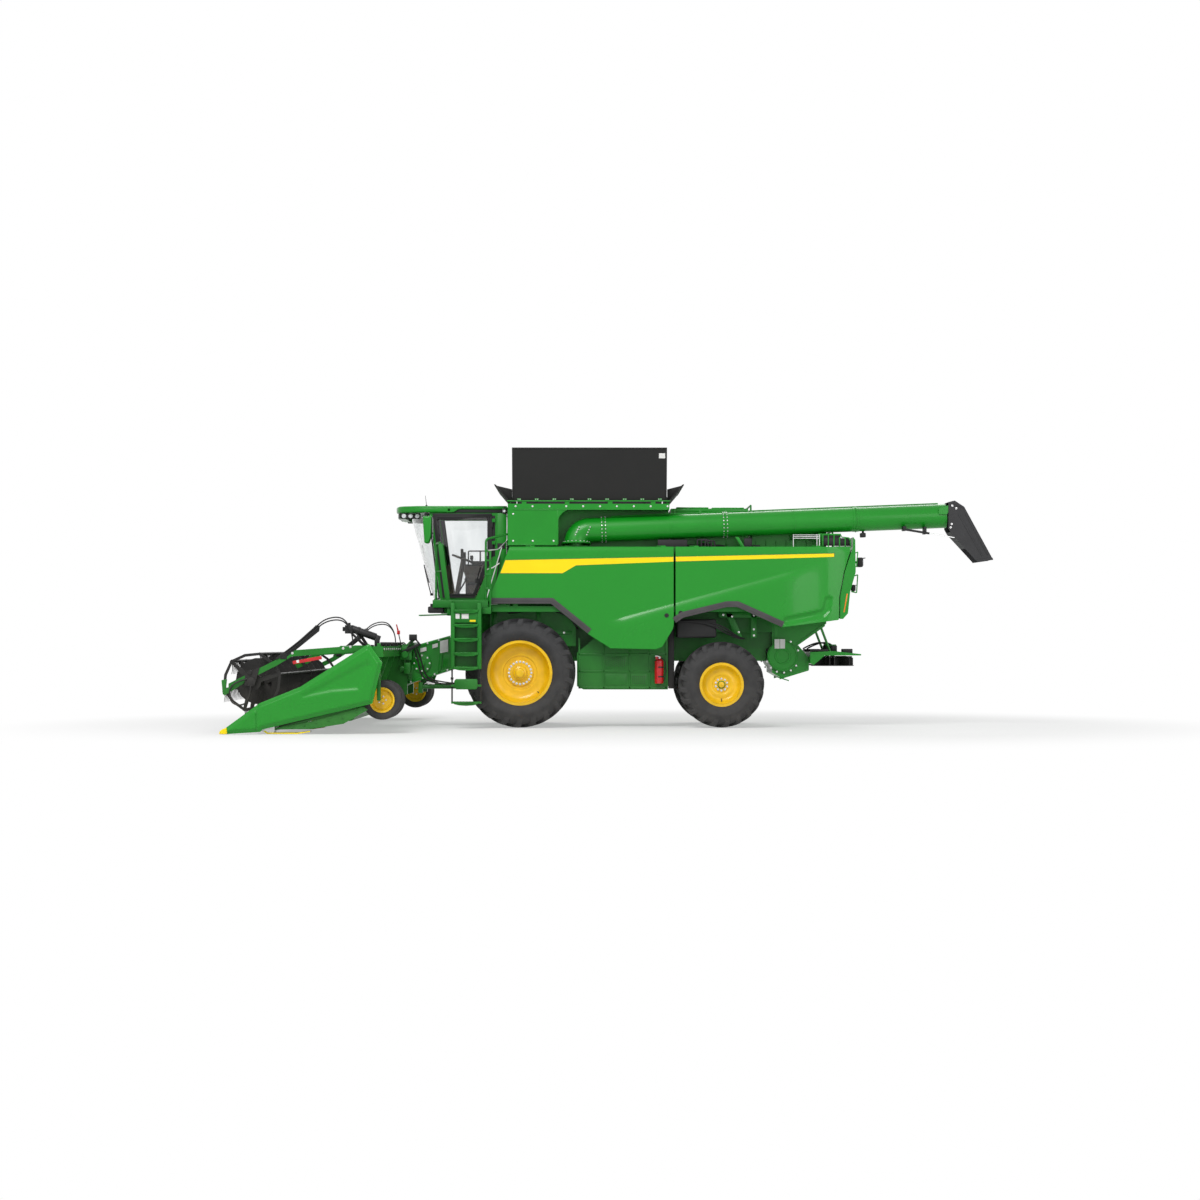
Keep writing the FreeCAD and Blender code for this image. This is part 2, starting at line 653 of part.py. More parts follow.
def tank_cavity():
    """The space inside the bin: straight walls above, sloping to a trough below."""
    lip = tank_top + 10
    low = tank_floor + tank_wall
    shoulder = panel_top + 60
    length_way = plate("tank_cavity_long", "XZ",
                       [(tank_front + tank_wall, lip), (tank_front + tank_wall, shoulder - 80),
                        (tank_front + 1000, low), (tank_rear - 1000, low),
                        (tank_rear - tank_wall, shoulder - 80), (tank_rear - tank_wall, lip)],
                       -tank_right, tank_right)
    cross_way = plate("tank_cavity_wide", "YZ",
                      [(-recess_half + tank_wall, lip), (-recess_half + tank_wall, shoulder - 80),
                       (as_size(-300), low), (as_size(300), low),
                       (recess_half - tank_wall, shoulder - 80),
                       (recess_half - tank_wall, shoulder + 20),
                       (tank_right - tank_wall, shoulder + 60), (tank_right - tank_wall, lip)],
                      tank_front, tank_rear)
    ledge = box("tank_ledge", (tank_front + tank_wall, tank_rear - tank_wall),
                (-tank_right + 100, -recess_half + tank_wall + 1), (tank_top - 50, lip))
    return [common("tank_cavity", [length_way, cross_way]), ledge]


def grain_tank():
    """Open-topped bin with a hopper floor and a recess on the left for the unloading auger."""
    outer = [box("tank_lower", (tank_front, tank_rear), (-recess_half, recess_half),
                 (tank_floor, recess_floor + 1)),
             box("tank_upper", (tank_front, tank_rear), (-recess_half, tank_right),
                 (recess_floor, tank_top)),
             box("tank_corner", (tank_front, recess_front), (-tank_right, -recess_half + 1),
                 (recess_floor, tank_top)),
             box("tank_left_rim", (recess_front - 1, tank_rear), (-tank_right, -recess_half + 1),
                 (tank_top - rim_height, tank_top))]
    bin_shape = cut("tank_bin", fuse("tank_outer", outer), tank_cavity())
    lugs = []
    for side in (-1, 1):
        for x in cover_lug_x:
            lugs += side_cover_lug(x, side)
        for x in (front_cover_x, rear_cover_x):
            lugs.append(box("end_cover_lug", (x - 12, x + 12),
                            span(side, end_cover_half + knuckle_gap, end_cover_half + 30),
                            (tank_top - 1, end_cover_z + 12)))
    sub_part("grain_tank", fuse("grain_tank_solid", [bin_shape, *lugs]))


def side_cover_lug(x, side):
    """A block on the tank's rim with a round bearing on the side cover's hinge line."""
    xs = (x, x + cover_lug_length)
    return [box("side_cover_lug", xs, span(side, cover_y + 4, tank_right - 6),
                (tank_top - 1, cover_z)),
            box("side_cover_neck", xs, span(side, cover_y, cover_y + 5), (cover_z - 9, cover_z)),
            cylinder("side_cover_bearing", (x, side * cover_y, cover_z), "x",
                     cover_barrel_radius, cover_lug_length)]


def cover_sheet(foot, lean_way, start, length, run):
    """A flat sheet rising from its foot along lean_way, extruded by run."""
    half = float(cover_thickness) / 2
    across = lean_way.cross(run).normalize() * half
    near, far = foot + lean_way * start, foot + lean_way * length
    corners = [near - across, near + across, far + across, far - across]
    return Part.Face(Part.makePolygon(corners + corners[:1])).extrude(run)


def side_tank_cover(name, side):
    """A black side cover: it leans out from its hinge line above the rim."""
    lean = math.radians(float(cover_lean))
    up = Vector(0, side * math.sin(lean), math.cos(lean))
    start_x, end_x = float(tank_front + 78), float(tank_rear - 47)
    hinge = point(0, side * cover_y, cover_z)
    shape = cover_sheet(hinge + Vector(start_x, 0, 0), up, 14, float(cover_length),
                        Vector(end_x - start_x, 0, 0))
    for x in cover_lug_x:
        begin = hinge + Vector(float(x + cover_lug_length + knuckle_gap), 0, 0)
        barrel = Part.makeCylinder(float(cover_barrel_radius), 120, begin, Vector(1, 0, 0))
        strap = Part.makeBox(120, 10, 24, Vector(0, -5, 0))
        strap.Placement = Placement(begin, Rotation(Vector(1, 0, 0), -side * float(cover_lean)))
        shape = shape.fuse([barrel, strap])
    sub_part(name, shaped(f"{name}_solid", shape.removeSplitter()))


def end_tank_cover(name, way, x):
    """A black end cover: it leans out over the tank's front or rear wall."""
    lean = math.radians(float(end_cover_lean))
    up = Vector(way * math.sin(lean), 0, math.cos(lean))
    foot = point(x, -end_cover_half, end_cover_z)
    run = Vector(0, 2 * float(end_cover_half), 0)
    barrel = Part.makeCylinder(float(cover_barrel_radius), run.Length, foot, run)
    shape = cover_sheet(foot, up, 0, float(end_cover_length), run).fuse(barrel)
    sub_part(name, shaped(f"{name}_solid", shape.removeSplitter()))


def tank_covers():
    """Four covers that stand open above the rim and fold in over the tank."""
    side_tank_cover("left_tank_cover", -1)
    side_tank_cover("right_tank_cover", 1)
    end_tank_cover("front_tank_cover", -1, front_cover_x)
    end_tank_cover("rear_tank_cover", 1, rear_cover_x)


# ---------------------------------------------------------------- unloading auger
auger_length = cell("auger_length", 6620)
auger_rise = cell("auger_rise_angle", 2.3)
auger_tilt = cell("auger_axis_tilt", 6)
turret_radius = cell("turret_radius", 120)
auger_x = recess_front + 328
spout_half = cell("spout_half_width", 260)
spout_wall = cell("spout_wall", 12)
spout_pin = cell("spout_pin_radius", 14)


def auger_place():
    """The swing axis: at the auger's foot, leaning in towards the tank."""
    return Placement(point(auger_x, -auger_y, auger_base_z),
                     Rotation(Vector(1, 0, 0), -float(auger_tilt)))


def tube_frame():
    """Where the straight tube starts and its direction, in the swing axis's own frame."""
    rise = math.radians(float(auger_rise))
    along = Vector(math.cos(rise), 0, math.sin(rise))
    start = Vector(float(auger_bend), 0, float(auger_bend) + 22)
    return start, along


def unloading_auger():
    """Turret on the machine, and the elbow and tube that swing on it."""
    radius, bend = float(auger_radius), float(auger_bend)
    start, along = tube_frame()
    foot = Part.makeCylinder(radius + 10, 18, Vector(0, 0, 4))
    ring = Part.Wire(Part.Circle(Vector(0, 0, 20), Vector(0, 0, 1), radius).toShape())
    angle = math.radians(90 - float(auger_rise))
    middle = Vector(bend - bend * math.cos(angle / 2), 0, 22 + bend * math.sin(angle / 2))
    end = Vector(bend - bend * math.cos(angle), 0, 22 + bend * math.sin(angle))
    path = Part.Wire([Part.LineSegment(Vector(0, 0, 20), Vector(0, 0, 22)).toShape(),
                      Part.Arc(Vector(0, 0, 22), middle, end).toShape(),
                      Part.LineSegment(end, end + along * (float(auger_length) - bend)).toShape()])
    tube = path.makePipeShell([ring], True, True)
    flange = Part.makeCylinder(radius + 18, 16, end + along * 260, along)
    shape = foot.fuse([tube, flange])
    shape.transformShape(auger_place().toMatrix())
    shape = shape.fuse(spout_ears()).removeSplitter()
    sub_part("unloading_auger", shaped("auger_solid", shape))
    turret = Part.makeCylinder(float(turret_radius), 90, Vector(0, 0, -90 + 3.7))
    turret.transformShape(auger_place().toMatrix())
    shelf_top = float(panel_top + gap)
    half = float(turret_radius)
    keep = Part.makeBox(4 * half, 4 * half, 400, point(auger_x - half * 2, -auger_y - half * 2,
                                                       shelf_top))
    base = Part.makeBox(2 * half + 160, 2 * half, 24, point(auger_x - half - 80,
                                                            -auger_y - half, shelf_top))
    solid = turret.common(keep).fuse(base).removeSplitter()
    sub_part("auger_turret", shaped("auger_turret_solid", solid))


def auger_end():
    """Tube end point and direction in the machine's frame."""
    start, along = tube_frame()
    end = start + along * (float(auger_length) - float(auger_bend))
    where = auger_place()
    return where.multVec(end), where.Rotation.multVec(along)


def spout_hinge():
    """The point midway between the spout's two pins."""
    tip, along = auger_end()
    return Vector(tip.x + 75, tip.y, tip.z + 170)


def spout_ears():
    """Two ears on the tube's end, each with a pin for the spout."""
    tip, along = auger_end()
    hinge = spout_hinge()
    inner = float(spout_half) - float(spout_wall) - 5
    ears = []
    for side in (-1, 1):
        near = inner - 14 if side > 0 else -inner
        outline = [Vector(tip.x - 160, 0, tip.z + 20), Vector(tip.x - 160, 0, tip.z + 120),
                   Vector(hinge.x - 10, 0, hinge.z + 26), Vector(hinge.x + 24, 0, hinge.z + 10),
                   Vector(hinge.x + 16, 0, hinge.z - 26), Vector(tip.x - 20, 0, tip.z + 20)]
        ear = Part.Face(Part.makePolygon(outline + outline[:1])).extrude(Vector(0, 14, 0))
        ear.translate(Vector(0, tip.y + near, 0))
        web = Part.makeBox(60, 60, 100, Vector(tip.x - 160, tip.y + (inner - 60 if side > 0
                                                                      else -inner), tip.z + 20))
        start = hinge + Vector(0, side * (inner - 1), 0)
        pin = Part.makeCylinder(float(spout_pin), 5 + float(spout_wall) + 6, start,
                                Vector(0, side, 0))
        ears += [ear, web, pin]
    return ears


def auger_spout():
    """Rubber hood over the tube's end, open below, that tilts on its two pins."""
    tip, along = auger_end()
    half, wall = float(spout_half), float(spout_wall)
    x, z = tip.x, tip.z
    side = [Vector(x + 8, 0, z + 235), Vector(x + 120, 0, z + 262), Vector(x + 290, 0, z + 150),
            Vector(x + 800, 0, z - 790), Vector(x + 520, 0, z - 830), Vector(x + 60, 0, z - 330),
            Vector(x + 8, 0, z - 235)]
    outer = Part.Face(Part.makePolygon(side + side[:1])).extrude(Vector(0, 2 * half, 0))
    inner = [Vector(x - 40, 0, z + 221), Vector(x + 116, 0, z + 248), Vector(x + 279, 0, z + 144),
             Vector(x + 800, 0, z - 816), Vector(x + 530, 0, z - 858), Vector(x + 68, 0, z - 321),
             Vector(x - 40, 0, z - 221)]
    core = Part.Face(Part.makePolygon(inner + inner[:1])).extrude(Vector(0, 2 * (half - wall), 0))
    outer.translate(Vector(0, tip.y - half, 0))
    core.translate(Vector(0, tip.y - half + wall, 0))
    pin_hole = Part.makeCylinder(float(spout_pin + gap), 2 * half + 20,
                                 spout_hinge() - Vector(0, half + 10, 0), Vector(0, 1, 0))
    shape = outer.cut([core, pin_hole])
    sub_part("auger_spout", shaped("auger_spout_solid", shape.removeSplitter()))


# ---------------------------------------------------------------- engine, deck and rear hood
deck_z = panel_top - 90
cooling_left = auger_y - auger_radius - cell("auger_to_cooling_box", 45)
cooling_right = cell("cooling_box_right", 1300)
rear_box_top = deck_z + 430
engine_x = tank_rear + 250


def engine():
    """One plain block on the separator's roof, under the deck."""
    sub_part("engine", box("engine_block", (engine_x, engine_x + 1400), (as_size(-450), as_size(450)),
                           (housing_top + gap, deck_z - 60)))


def engine_deck():
    """Deck behind the tank with the cooling box, air cleaner, exhaust and auger saddle."""
    pieces = []
    deck_front, deck_rear = tank_rear + gap, tail_x - 330
    reach = top_rail_inner - gap
    pieces.append(box("deck_plate", (deck_front, deck_rear), (-reach, reach), (deck_z - 40, deck_z)))
    pieces.append(box("cooling_box", (deck_front + 40, deck_front + 1430),
                      (-cooling_left, cooling_right), (deck_z - 1, tank_top - 60)))
    pieces.append(box("rear_box", (deck_front + 1500, deck_rear - 60), (-cooling_left, cooling_left),
                      (deck_z - 1, rear_box_top)))
    pieces.append(cylinder("exhaust", (deck_front + 1700, cooling_left * 0.6, rear_box_top - 1), "z",
                           85, 420))
    cleaner_z = rear_box_top + 150
    pieces.append(cylinder("air_cleaner", (deck_front + 1900, as_size(-300), cleaner_z), "x",
                           140, 700))
    pieces.append(box("air_cleaner_foot", (deck_front + 2050, deck_front + 2350),
                      (as_size(-360), as_size(-240)), (rear_box_top - 1, cleaner_z)))
    pieces.append(box("deck_joint", (deck_front, deck_front + 50), (as_size(-900), as_size(900)),
                      (housing_top + gap, deck_z - 30)))
    saddle_x = tail_x - 560
    tip, along = auger_end()
    slope = along.z / along.x
    tube_low = tip.z - (tip.x - float(saddle_x)) * slope - float(auger_radius)
    pieces.append(box("saddle_post", (saddle_x, saddle_x + 60), (-auger_y - 60, -auger_y + 60),
                      (deck_z - 20, as_size(tube_low - 8))))
    sub_part("engine_deck", fuse("engine_deck_solid", pieces))


def rear_hood():
    """Tail shell: rear wall, two cheeks behind the side panels, and a roof."""
    seam = gap + 14
    outer = [(tail_x + seam + 20, panel_top - 4), (tail_x + 40, panel_top + 170),
             (tail_x + 75, panel_top + 120), (tail_x + 82, panel_top - 451),
             (tail_x - 17, panel_top - 800), (tail_x - 57, panel_top - 1185),
             (tail_x - 145, panel_bottom + 531), (tail_x - 213 + seam, panel_bottom + 531),
             (tail_x - 207 + seam, panel_top - 887), (tail_x - 125 + seam, panel_top - 451)]
    shell = plate("hood_outer", "XZ", outer, -half_width + 4, half_width - 4)
    inner = [(tail_x - 400, panel_top - 60), (tail_x + 40, panel_top - 60),
             (tail_x + 42, panel_top - 451), (tail_x - 55, panel_top - 800),
             (tail_x - 95, panel_top - 1185), (tail_x - 160, panel_bottom + 480),
             (tail_x - 400, panel_bottom + 480)]
    hollow = plate("hood_inner", "XZ", inner, -half_width + 44, half_width - 44)
    reach = hinge_y - 90
    skin = cut("hood_skin", shell, [hollow])
    web = box("hood_web", (tail_x - 330 + gap, tail_x + 45), (-reach, reach),
              (deck_z - 40, deck_z))
    sub_part("rear_hood", fuse("rear_hood_solid", [skin, web]))


# ---------------------------------------------------------------- chopper and spreader
chopper_half = cell("chopper_half_width", 700)
deck_height = drum_z + cell("spreader_above_drum", 32)
rotor_x = drum_x + 925
rotor_y = cell("rotor_y", 480)
rotor_radius = cell("rotor_radius", 390)


def chopper_housing():
    """Discharge chute behind the separator with the chopper drum case below it."""
    chute = plate("chopper_chute", "XZ",
                  [(housing_rear + gap, drum_z + 200), (housing_rear + gap, housing_top - 300),
                   (drum_x + 793, housing_top - 300), (drum_x + 793, drum_z + 586),
                   (drum_x + 279, drum_z + 206)], -chopper_half, chopper_half)
    drum = cylinder("chopper_drum", (drum_x, -chopper_half, drum_z), "y", drum_radius,
                    chopper_half * 2)
    pan = plate("chopper_pan", "XZ",
                [(housing_rear + gap, drum_z + 210), (housing_rear + gap, drum_z - 300),
                 (drum_x, drum_z - 404), (drum_x + 480, drum_z - 252),
                 (drum_x + 480, drum_z - 30), (drum_x + 279, drum_z + 206)],
                -chopper_half + 30, chopper_half - 30)
    covers = [cylinder("drum_cover", (drum_x, y, drum_z), "y", drum_radius, 40)
              for y in (-chopper_half - 39, chopper_half - 1)]
    notch = box("separator_seat", (drum_x - drum_radius - 5, housing_rear + gap),
                (-waist_half - gap, waist_half + gap), (frame_top - gap, drum_z + drum_radius + 5))
    case = cut("chopper_drum_case", drum, [notch])
    sub_part("chopper_housing", fuse("chopper_solid", [chute, case, pan, *covers]))


def spreader_deck():
    """Deck plate behind the chopper with two drive motors and its hanger struts."""
    front, rear = drum_x + 480 + gap, drum_x + 1395
    deck = plate("spreader_plate", "XZ",
                 [(front, deck_height - 160), (front, deck_height + 40), (front + 420, deck_height + 60),
                  (rear, deck_height + 5), (rear, deck_height - 20), (front + 260, deck_height - 20),
                  (front + 60, deck_height - 190)], -chopper_half - 250, chopper_half + 250)
    throat = box("spreader_throat", (front + 40, rear - 40),
                 (-chopper_half - 210, chopper_half + 210), (deck_height - 260, deck_height - 20))
    body = cut("spreader_body", deck, [throat])
    motors = [cylinder("rotor_motor", (rotor_x, side * rotor_y, deck_height - 21), "z", 70, 200)
              for side in (-1, 1)]
    chute_edge = (drum_x + 704, drum_z + 512)
    struts = [bar("hanger_strut", (chute_edge[0], y, chute_edge[1]),
                  (drum_x + 870, y, deck_height + 40), 22)
              for y in (-chopper_half + 60, chopper_half - 60)]
    sub_part("spreader_deck", fuse("spreader_solid", [body, *motors, *struts]))


def spreader_rotor(name, side):
    """A disc with four upright rubber paddles, hung on a stub shaft under its motor."""
    centre_y = side * rotor_y
    hub_top = deck_height - 21 - gap
    pieces = [cylinder(f"{name}_shaft", (rotor_x, centre_y, deck_height - 200), "z", 40,
                       hub_top - deck_height + 200),
              cylinder(f"{name}_disc", (rotor_x, centre_y, deck_height - 210), "z", rotor_radius, 12)]
    half = 8
    pieces.append(box(f"{name}_paddle_x", (rotor_x - rotor_radius + 15, rotor_x + rotor_radius - 15),
                      (centre_y - half, centre_y + half), (deck_height - 200, deck_height - 60)))
    pieces.append(box(f"{name}_paddle_y", (rotor_x - half, rotor_x + half),
                      (centre_y - rotor_radius + 15, centre_y + rotor_radius - 15),
                      (deck_height - 200, deck_height - 60)))
    sub_part(name, fuse(f"{name}_solid", pieces))


# ---------------------------------------------------------------- rear axle and knuckles
kingpin_y = cell("kingpin_y", 1200)
kingpin_radius = cell("kingpin_radius", 32)
rear_beam = cell("rear_axle_beam", 180)
boss_half = cell("kingpin_boss_half_height", 80)
hitch_x = rear_axle_x + 300
hitch_z = rear_tyre_radius
hitch_gap = cell("hitch_gap", 60)
hitch_plate = cell("hitch_plate", 25)
hitch_bore = cell("hitch_bore_radius", 16)


def rear_axle():
    """Steered axle beam hung under the rear cross member, with a kingpin boss at each end."""
    z, half = rear_tyre_radius, rear_beam / 2
    beam = box("rear_beam", (rear_axle_x - half, rear_axle_x + half),
               (-kingpin_y + 40, kingpin_y - 40), (z - half * 0.85, z + half * 0.85))
    hanger = box("axle_hanger", (rear_axle_x - half, rear_axle_x + half),
                 (-waist_half + 120, waist_half - 120), (z, frame_bottom - gap))
    bosses, bores = [], []
    for side in (-1, 1):
        bosses.append(cylinder("kingpin_boss", (rear_axle_x, side * kingpin_y, z - boss_half), "z",
                               68, boss_half * 2))
        bores.append(cylinder("kingpin_bore", (rear_axle_x, side * kingpin_y, z - boss_half - 5),
                              "z", kingpin_radius + gap, boss_half * 2 + 10))
    for low in (hitch_z - hitch_gap / 2 - hitch_plate, hitch_z + hitch_gap / 2):
        ear = plate("hitch_ear", "XY",
                    [(rear_axle_x + half - 1, as_size(-90)), (hitch_x + 10, as_size(-50)),
                     (hitch_x + 45, as_size(-25)), (hitch_x + 45, as_size(25)),
                     (hitch_x + 10, as_size(50)), (rear_axle_x + half - 1, as_size(90))],
                    low, low + hitch_plate)
        bosses.append(ear)
        bores.append(cylinder("hitch_bore", (hitch_x, as_size(0), low - 1), "z", hitch_bore,
                              hitch_plate + 2))
    body = fuse("rear_axle_blank", [beam, hanger, *bosses])
    sub_part("rear_axle", cut("rear_axle_solid", body, bores))


def knuckles():
    """Steering knuckle: a clevis round the axle's boss, its kingpin and the wheel hub."""
    z = rear_tyre_radius
    disc_back = -rear_track_half + rear_disc_y + disc_thickness
    cheek = 30
    reach_out = disc_back + gap + 40
    pieces = [cylinder("kingpin", (rear_axle_x, -kingpin_y, z - boss_half - 1), "z", kingpin_radius,
                       boss_half * 2 + 2)]
    for low in (z - boss_half - gap - cheek, z + boss_half + gap):
        pieces.append(box("knuckle_cheek", (rear_axle_x - 60, rear_axle_x + 60),
                          (reach_out - 20, -kingpin_y + 60), (low, low + cheek)))
    pieces.append(box("knuckle_web", (rear_axle_x - 60, rear_axle_x + 60),
                      (disc_back + gap + 20, disc_back + gap + 55),
                      (z - boss_half - gap - cheek, z + boss_half + gap + cheek)))
    pieces += hub("rear_hub", -rear_track_half, rear_disc_y, rear_hub_radius, rear_axle_x, z,
                  disc_back + gap + 30)
    left = fuse("knuckle_left_solid", pieces)
    sub_part("left_knuckle", left)
    sub_part("right_knuckle", mirrored("knuckle_right_solid", left))


# ---------------------------------------------------------------- cab
cab_half = cell("cab_half_width", 950)
cab_floor = cell("cab_floor", 2290)
cab_height = cell("cab_height", 1560)
cab_rear = tank_front - 45
cab_front = cab_rear - 1290
cab_post = cell("cab_post", 90)
cab_wall = cell("cab_wall", 60)
roof_z = cab_floor + cab_height
roof_thickness = cell("roof_thickness", 130)
glass = cell("glass_thickness", 10)
post_lean = cell("front_post_lean", 190)
rear_post_lean = cell("rear_post_lean", 310)
belt_z = cab_floor + 800
door_x = cab_rear - 245
door_y = cell("door_hinge_y", 985)
door_knuckle_z = (belt_z + 100, roof_z - 260)
door_knuckle_length = cell("door_knuckle_length", 90)
beam_z = cab_floor - 230


def side_frame(name, y_low, y_high):
    """One side of the cab: a raked front post, a bent rear post, sill and header rail."""
    front_low, front_top = cab_front + 100, cab_front + 100 - post_lean
    rear_top = cab_rear - 225
    outer = [(front_low, cab_floor), (cab_rear, cab_floor), (cab_rear, roof_z), (front_top, roof_z)]
    opening = [(front_low + cab_post + 8, cab_floor + 60), (rear_top - rear_post_lean, cab_floor + 60),
               (rear_top, belt_z), (rear_top, roof_z - 50),
               (front_top + cab_post - 5, roof_z - 50)]
    return plate(name, "XZ", outer, y_low, y_high, [opening]), opening


def cab_frame():
    """Floor, both side frames, rear wall with its window and the front header and sill."""
    left, opening = side_frame("cab_left_side", -cab_half, -cab_half + cab_wall)
    right, _ = side_frame("cab_right_side", cab_half - cab_wall, cab_half)
    floor = box("cab_floor_plate", (cab_front + 100, cab_rear), (-cab_half, cab_half),
                (cab_floor - 60, cab_floor + 1))
    nose = plate("cab_nose", "XY",
                 [(cab_front + 101, -cab_half), (cab_front + 101, cab_half),
                  (cab_front - 30, cab_half * 0.62),
                  (cab_front - 75, as_size(0)), (cab_front - 30, -cab_half * 0.62)],
                 cab_floor - 60, cab_floor)
    rear = plate("cab_rear_wall", "YZ",
                 [(-cab_half, cab_floor), (cab_half, cab_floor), (cab_half, roof_z), (-cab_half, roof_z)],
                 cab_rear - cab_wall, cab_rear,
                 [[(-cab_half + 200, cab_floor + 700), (cab_half - 200, cab_floor + 700),
                   (cab_half - 200, roof_z - 150), (-cab_half + 200, roof_z - 150)]])
    bearings = []
    for z in door_knuckle_z:
        low = z + door_knuckle_length + knuckle_gap
        bearings.append(cylinder("door_bearing", (door_x, -door_y, low), "z", 12, 60))
        bearings.append(box("door_bearing_block", (door_x - 3, door_x + 45),
                            (-door_y - 4, -cab_half + 1), (low, low + 60)))
    header = box("cab_header", (cab_front + 100 - post_lean, cab_front + 180 - post_lean),
                 (-cab_half, cab_half), (roof_z - 50, roof_z))
    mount = [box("cab_mount", (cab_rear - 1000, cab_rear - 900), ys, (beam_z + 40, cab_floor - 55))
             for ys in ((-housing_half, -housing_half + 100), (housing_half - 100, housing_half))]
    beams = [box("cab_beam", (cab_rear - 1010, housing_front - gap), ys, (beam_z, beam_z + 100))
             for ys in ((-housing_half, -housing_half + 100), (housing_half - 100, housing_half))]
    sub_part("cab_frame", fuse("cab_frame_solid", [left, right, floor, nose, rear, header, *mount,
                                                  *beams, *bearings]))


def cab_roof():
    """Roof cap with a forward visor and the lamp bar under its front edge."""
    front, rear = cab_front - 720, cab_rear + 20
    half = cab_half + 50
    cap = plate("roof_cap", "XY",
                [(front + 60, -half * 0.78), (front + 420, -half), (rear, -half), (rear, half),
                 (front + 420, half), (front + 60, half * 0.78), (front, half * 0.5), (front, -half * 0.5)],
                roof_z + gap, roof_z + roof_thickness)
    inner_edge = [(front + 420, half * 0.76), (front + 330, half * 0.6), (front + 240, half * 0.4),
                  (front + 190, half * 0.2)]
    lamp_bar = plate("lamp_bar", "XY",
                     [(front + 110, -half * 0.76), (front + 40, -half * 0.5), (front + 40, half * 0.5),
                      (front + 110, half * 0.76), *inner_edge,
                      *[(x, -y) for x, y in reversed(inner_edge)]],
                     roof_z - 90, roof_z + gap + 1)
    sub_part("cab_roof", fuse("cab_roof_solid", [cap, lamp_bar]))


def windscreen():
    """One bowed sheet from the nose up to the header, wrapping to the front posts."""
    thickness = float(glass)
    wires = []
    levels = ((float(cab_floor + gap), float(cab_front) + 88, float(cab_front) - 60),
              (float(roof_z), float(cab_front) + 88 - float(post_lean),
               float(cab_front) - 500))
    half = float(cab_half) - 8
    for z, side_x, nose_x in levels:
        outer = Part.Arc(Vector(side_x, -half, z), Vector(nose_x, 0, z), Vector(side_x, half, z))
        inner = Part.Arc(Vector(side_x, -half + thickness * 2, z), Vector(nose_x + thickness, 0, z),
                         Vector(side_x, half - thickness * 2, z))
        edges = [outer.toShape(),
                 Part.LineSegment(Vector(side_x, half, z), Vector(side_x, half - thickness * 2, z)).toShape(),
                 inner.toShape(),
                 Part.LineSegment(Vector(side_x, -half + thickness * 2, z), Vector(side_x, -half, z)).toShape()]
        wires.append(Part.Wire(Part.__sortEdges__(edges)))
    return shaped("windscreen_solid", Part.makeLoft(wires, True, True))


def cab_windows():
    """The windscreen, and the right-hand and rear windows set in their openings."""
    front_low, front_top = cab_front + 100, cab_front + 100 - post_lean
    rear_top = cab_rear - 225
    inset = gap
    right = plate("right_window", "XZ",
                  [(front_low + cab_post + 8 + inset, cab_floor + 60 + inset),
                   (rear_top - rear_post_lean - inset, cab_floor + 60 + inset),
                   (rear_top - inset, belt_z), (rear_top - inset, roof_z - 50 - inset),
                   (front_top + cab_post - 5 + inset, roof_z - 50 - inset)],
                  cab_half - 30, cab_half - 20)
    rear = box("rear_window", (cab_rear - 35, cab_rear - 25), (-cab_half + 200 + gap, cab_half - 200 - gap),
               (cab_floor + 700 + gap, roof_z - 150 - gap))
    sub_part("cab_windows", together("cab_window_set", [windscreen(), right, rear]))




def cab_door():
    """Left door: a slim frame outside the side frame with its glass, hinged at its rear edge."""
    front_low, front_top = cab_front + 150, cab_front + 150 - post_lean
    rear_top = door_x - 15
    outer = [(front_low, cab_floor + 30), (rear_top - rear_post_lean, cab_floor + 30),
             (rear_top, belt_z - 30), (rear_top, roof_z - 20), (front_top, roof_z - 20)]
    pane = [(front_low + 65, cab_floor + 90), (rear_top - rear_post_lean - 30, cab_floor + 90),
            (rear_top - 60, belt_z - 20), (rear_top - 60, roof_z - 80), (front_top + 60, roof_z - 80)]
    y_out, y_in = -cab_half - 35, -cab_half - 6
    frame_part = plate("door_outline", "XZ", outer, y_out, y_in, [pane])
    knuckles_up = []
    for z in door_knuckle_z:
        knuckles_up.append(cylinder("door_knuckle", (door_x, -door_y, z), "z", 12,
                                    door_knuckle_length))
        knuckles_up.append(box("door_strap", (rear_top - 30, door_x), (-door_y - 8, -door_y + 8),
                               (z, z + door_knuckle_length)))
    sub_part("cab_door", fuse("cab_door_solid", [frame_part, *knuckles_up]))
    shrunk = [(front_low + 65 + gap, cab_floor + 90 + gap),
              (rear_top - rear_post_lean - 30 - gap * 2, cab_floor + 90 + gap),
              (rear_top - 60 - gap, belt_z - 20), (rear_top - 60 - gap, roof_z - 80 - gap),
              (front_top + 60 + gap * 1.2, roof_z - 80 - gap)]
    sub_part("door_glass", plate("door_pane", "XZ", shrunk, y_out + 10, y_in - 9))


def driver_seat():
    """Pedestal, cushion, back and head rest in one piece."""
    x = cab_rear - 760
    pieces = [box("seat_pedestal", (x + 40, x + 380), (as_size(-200), as_size(200)),
                  (cab_floor + 1 + gap, cab_floor + 330)),
              box("seat_cushion", (x - 40, x + 460), (as_size(-260), as_size(260)),
                  (cab_floor + 329, cab_floor + 470)),
              plate("seat_back", "XZ",
                    [(x + 360, cab_floor + 460), (x + 470, cab_floor + 460), (x + 600, cab_floor + 1100),
                     (x + 500, cab_floor + 1100)], as_size(-240), as_size(240)),
              plate("seat_head", "XZ",
                    [(x + 490, cab_floor + 1090), (x + 600, cab_floor + 1090),
                     (x + 620, cab_floor + 1270), (x + 530, cab_floor + 1270)], as_size(-140), as_size(140))]
    sub_part("driver_seat", fuse("driver_seat_solid", pieces))


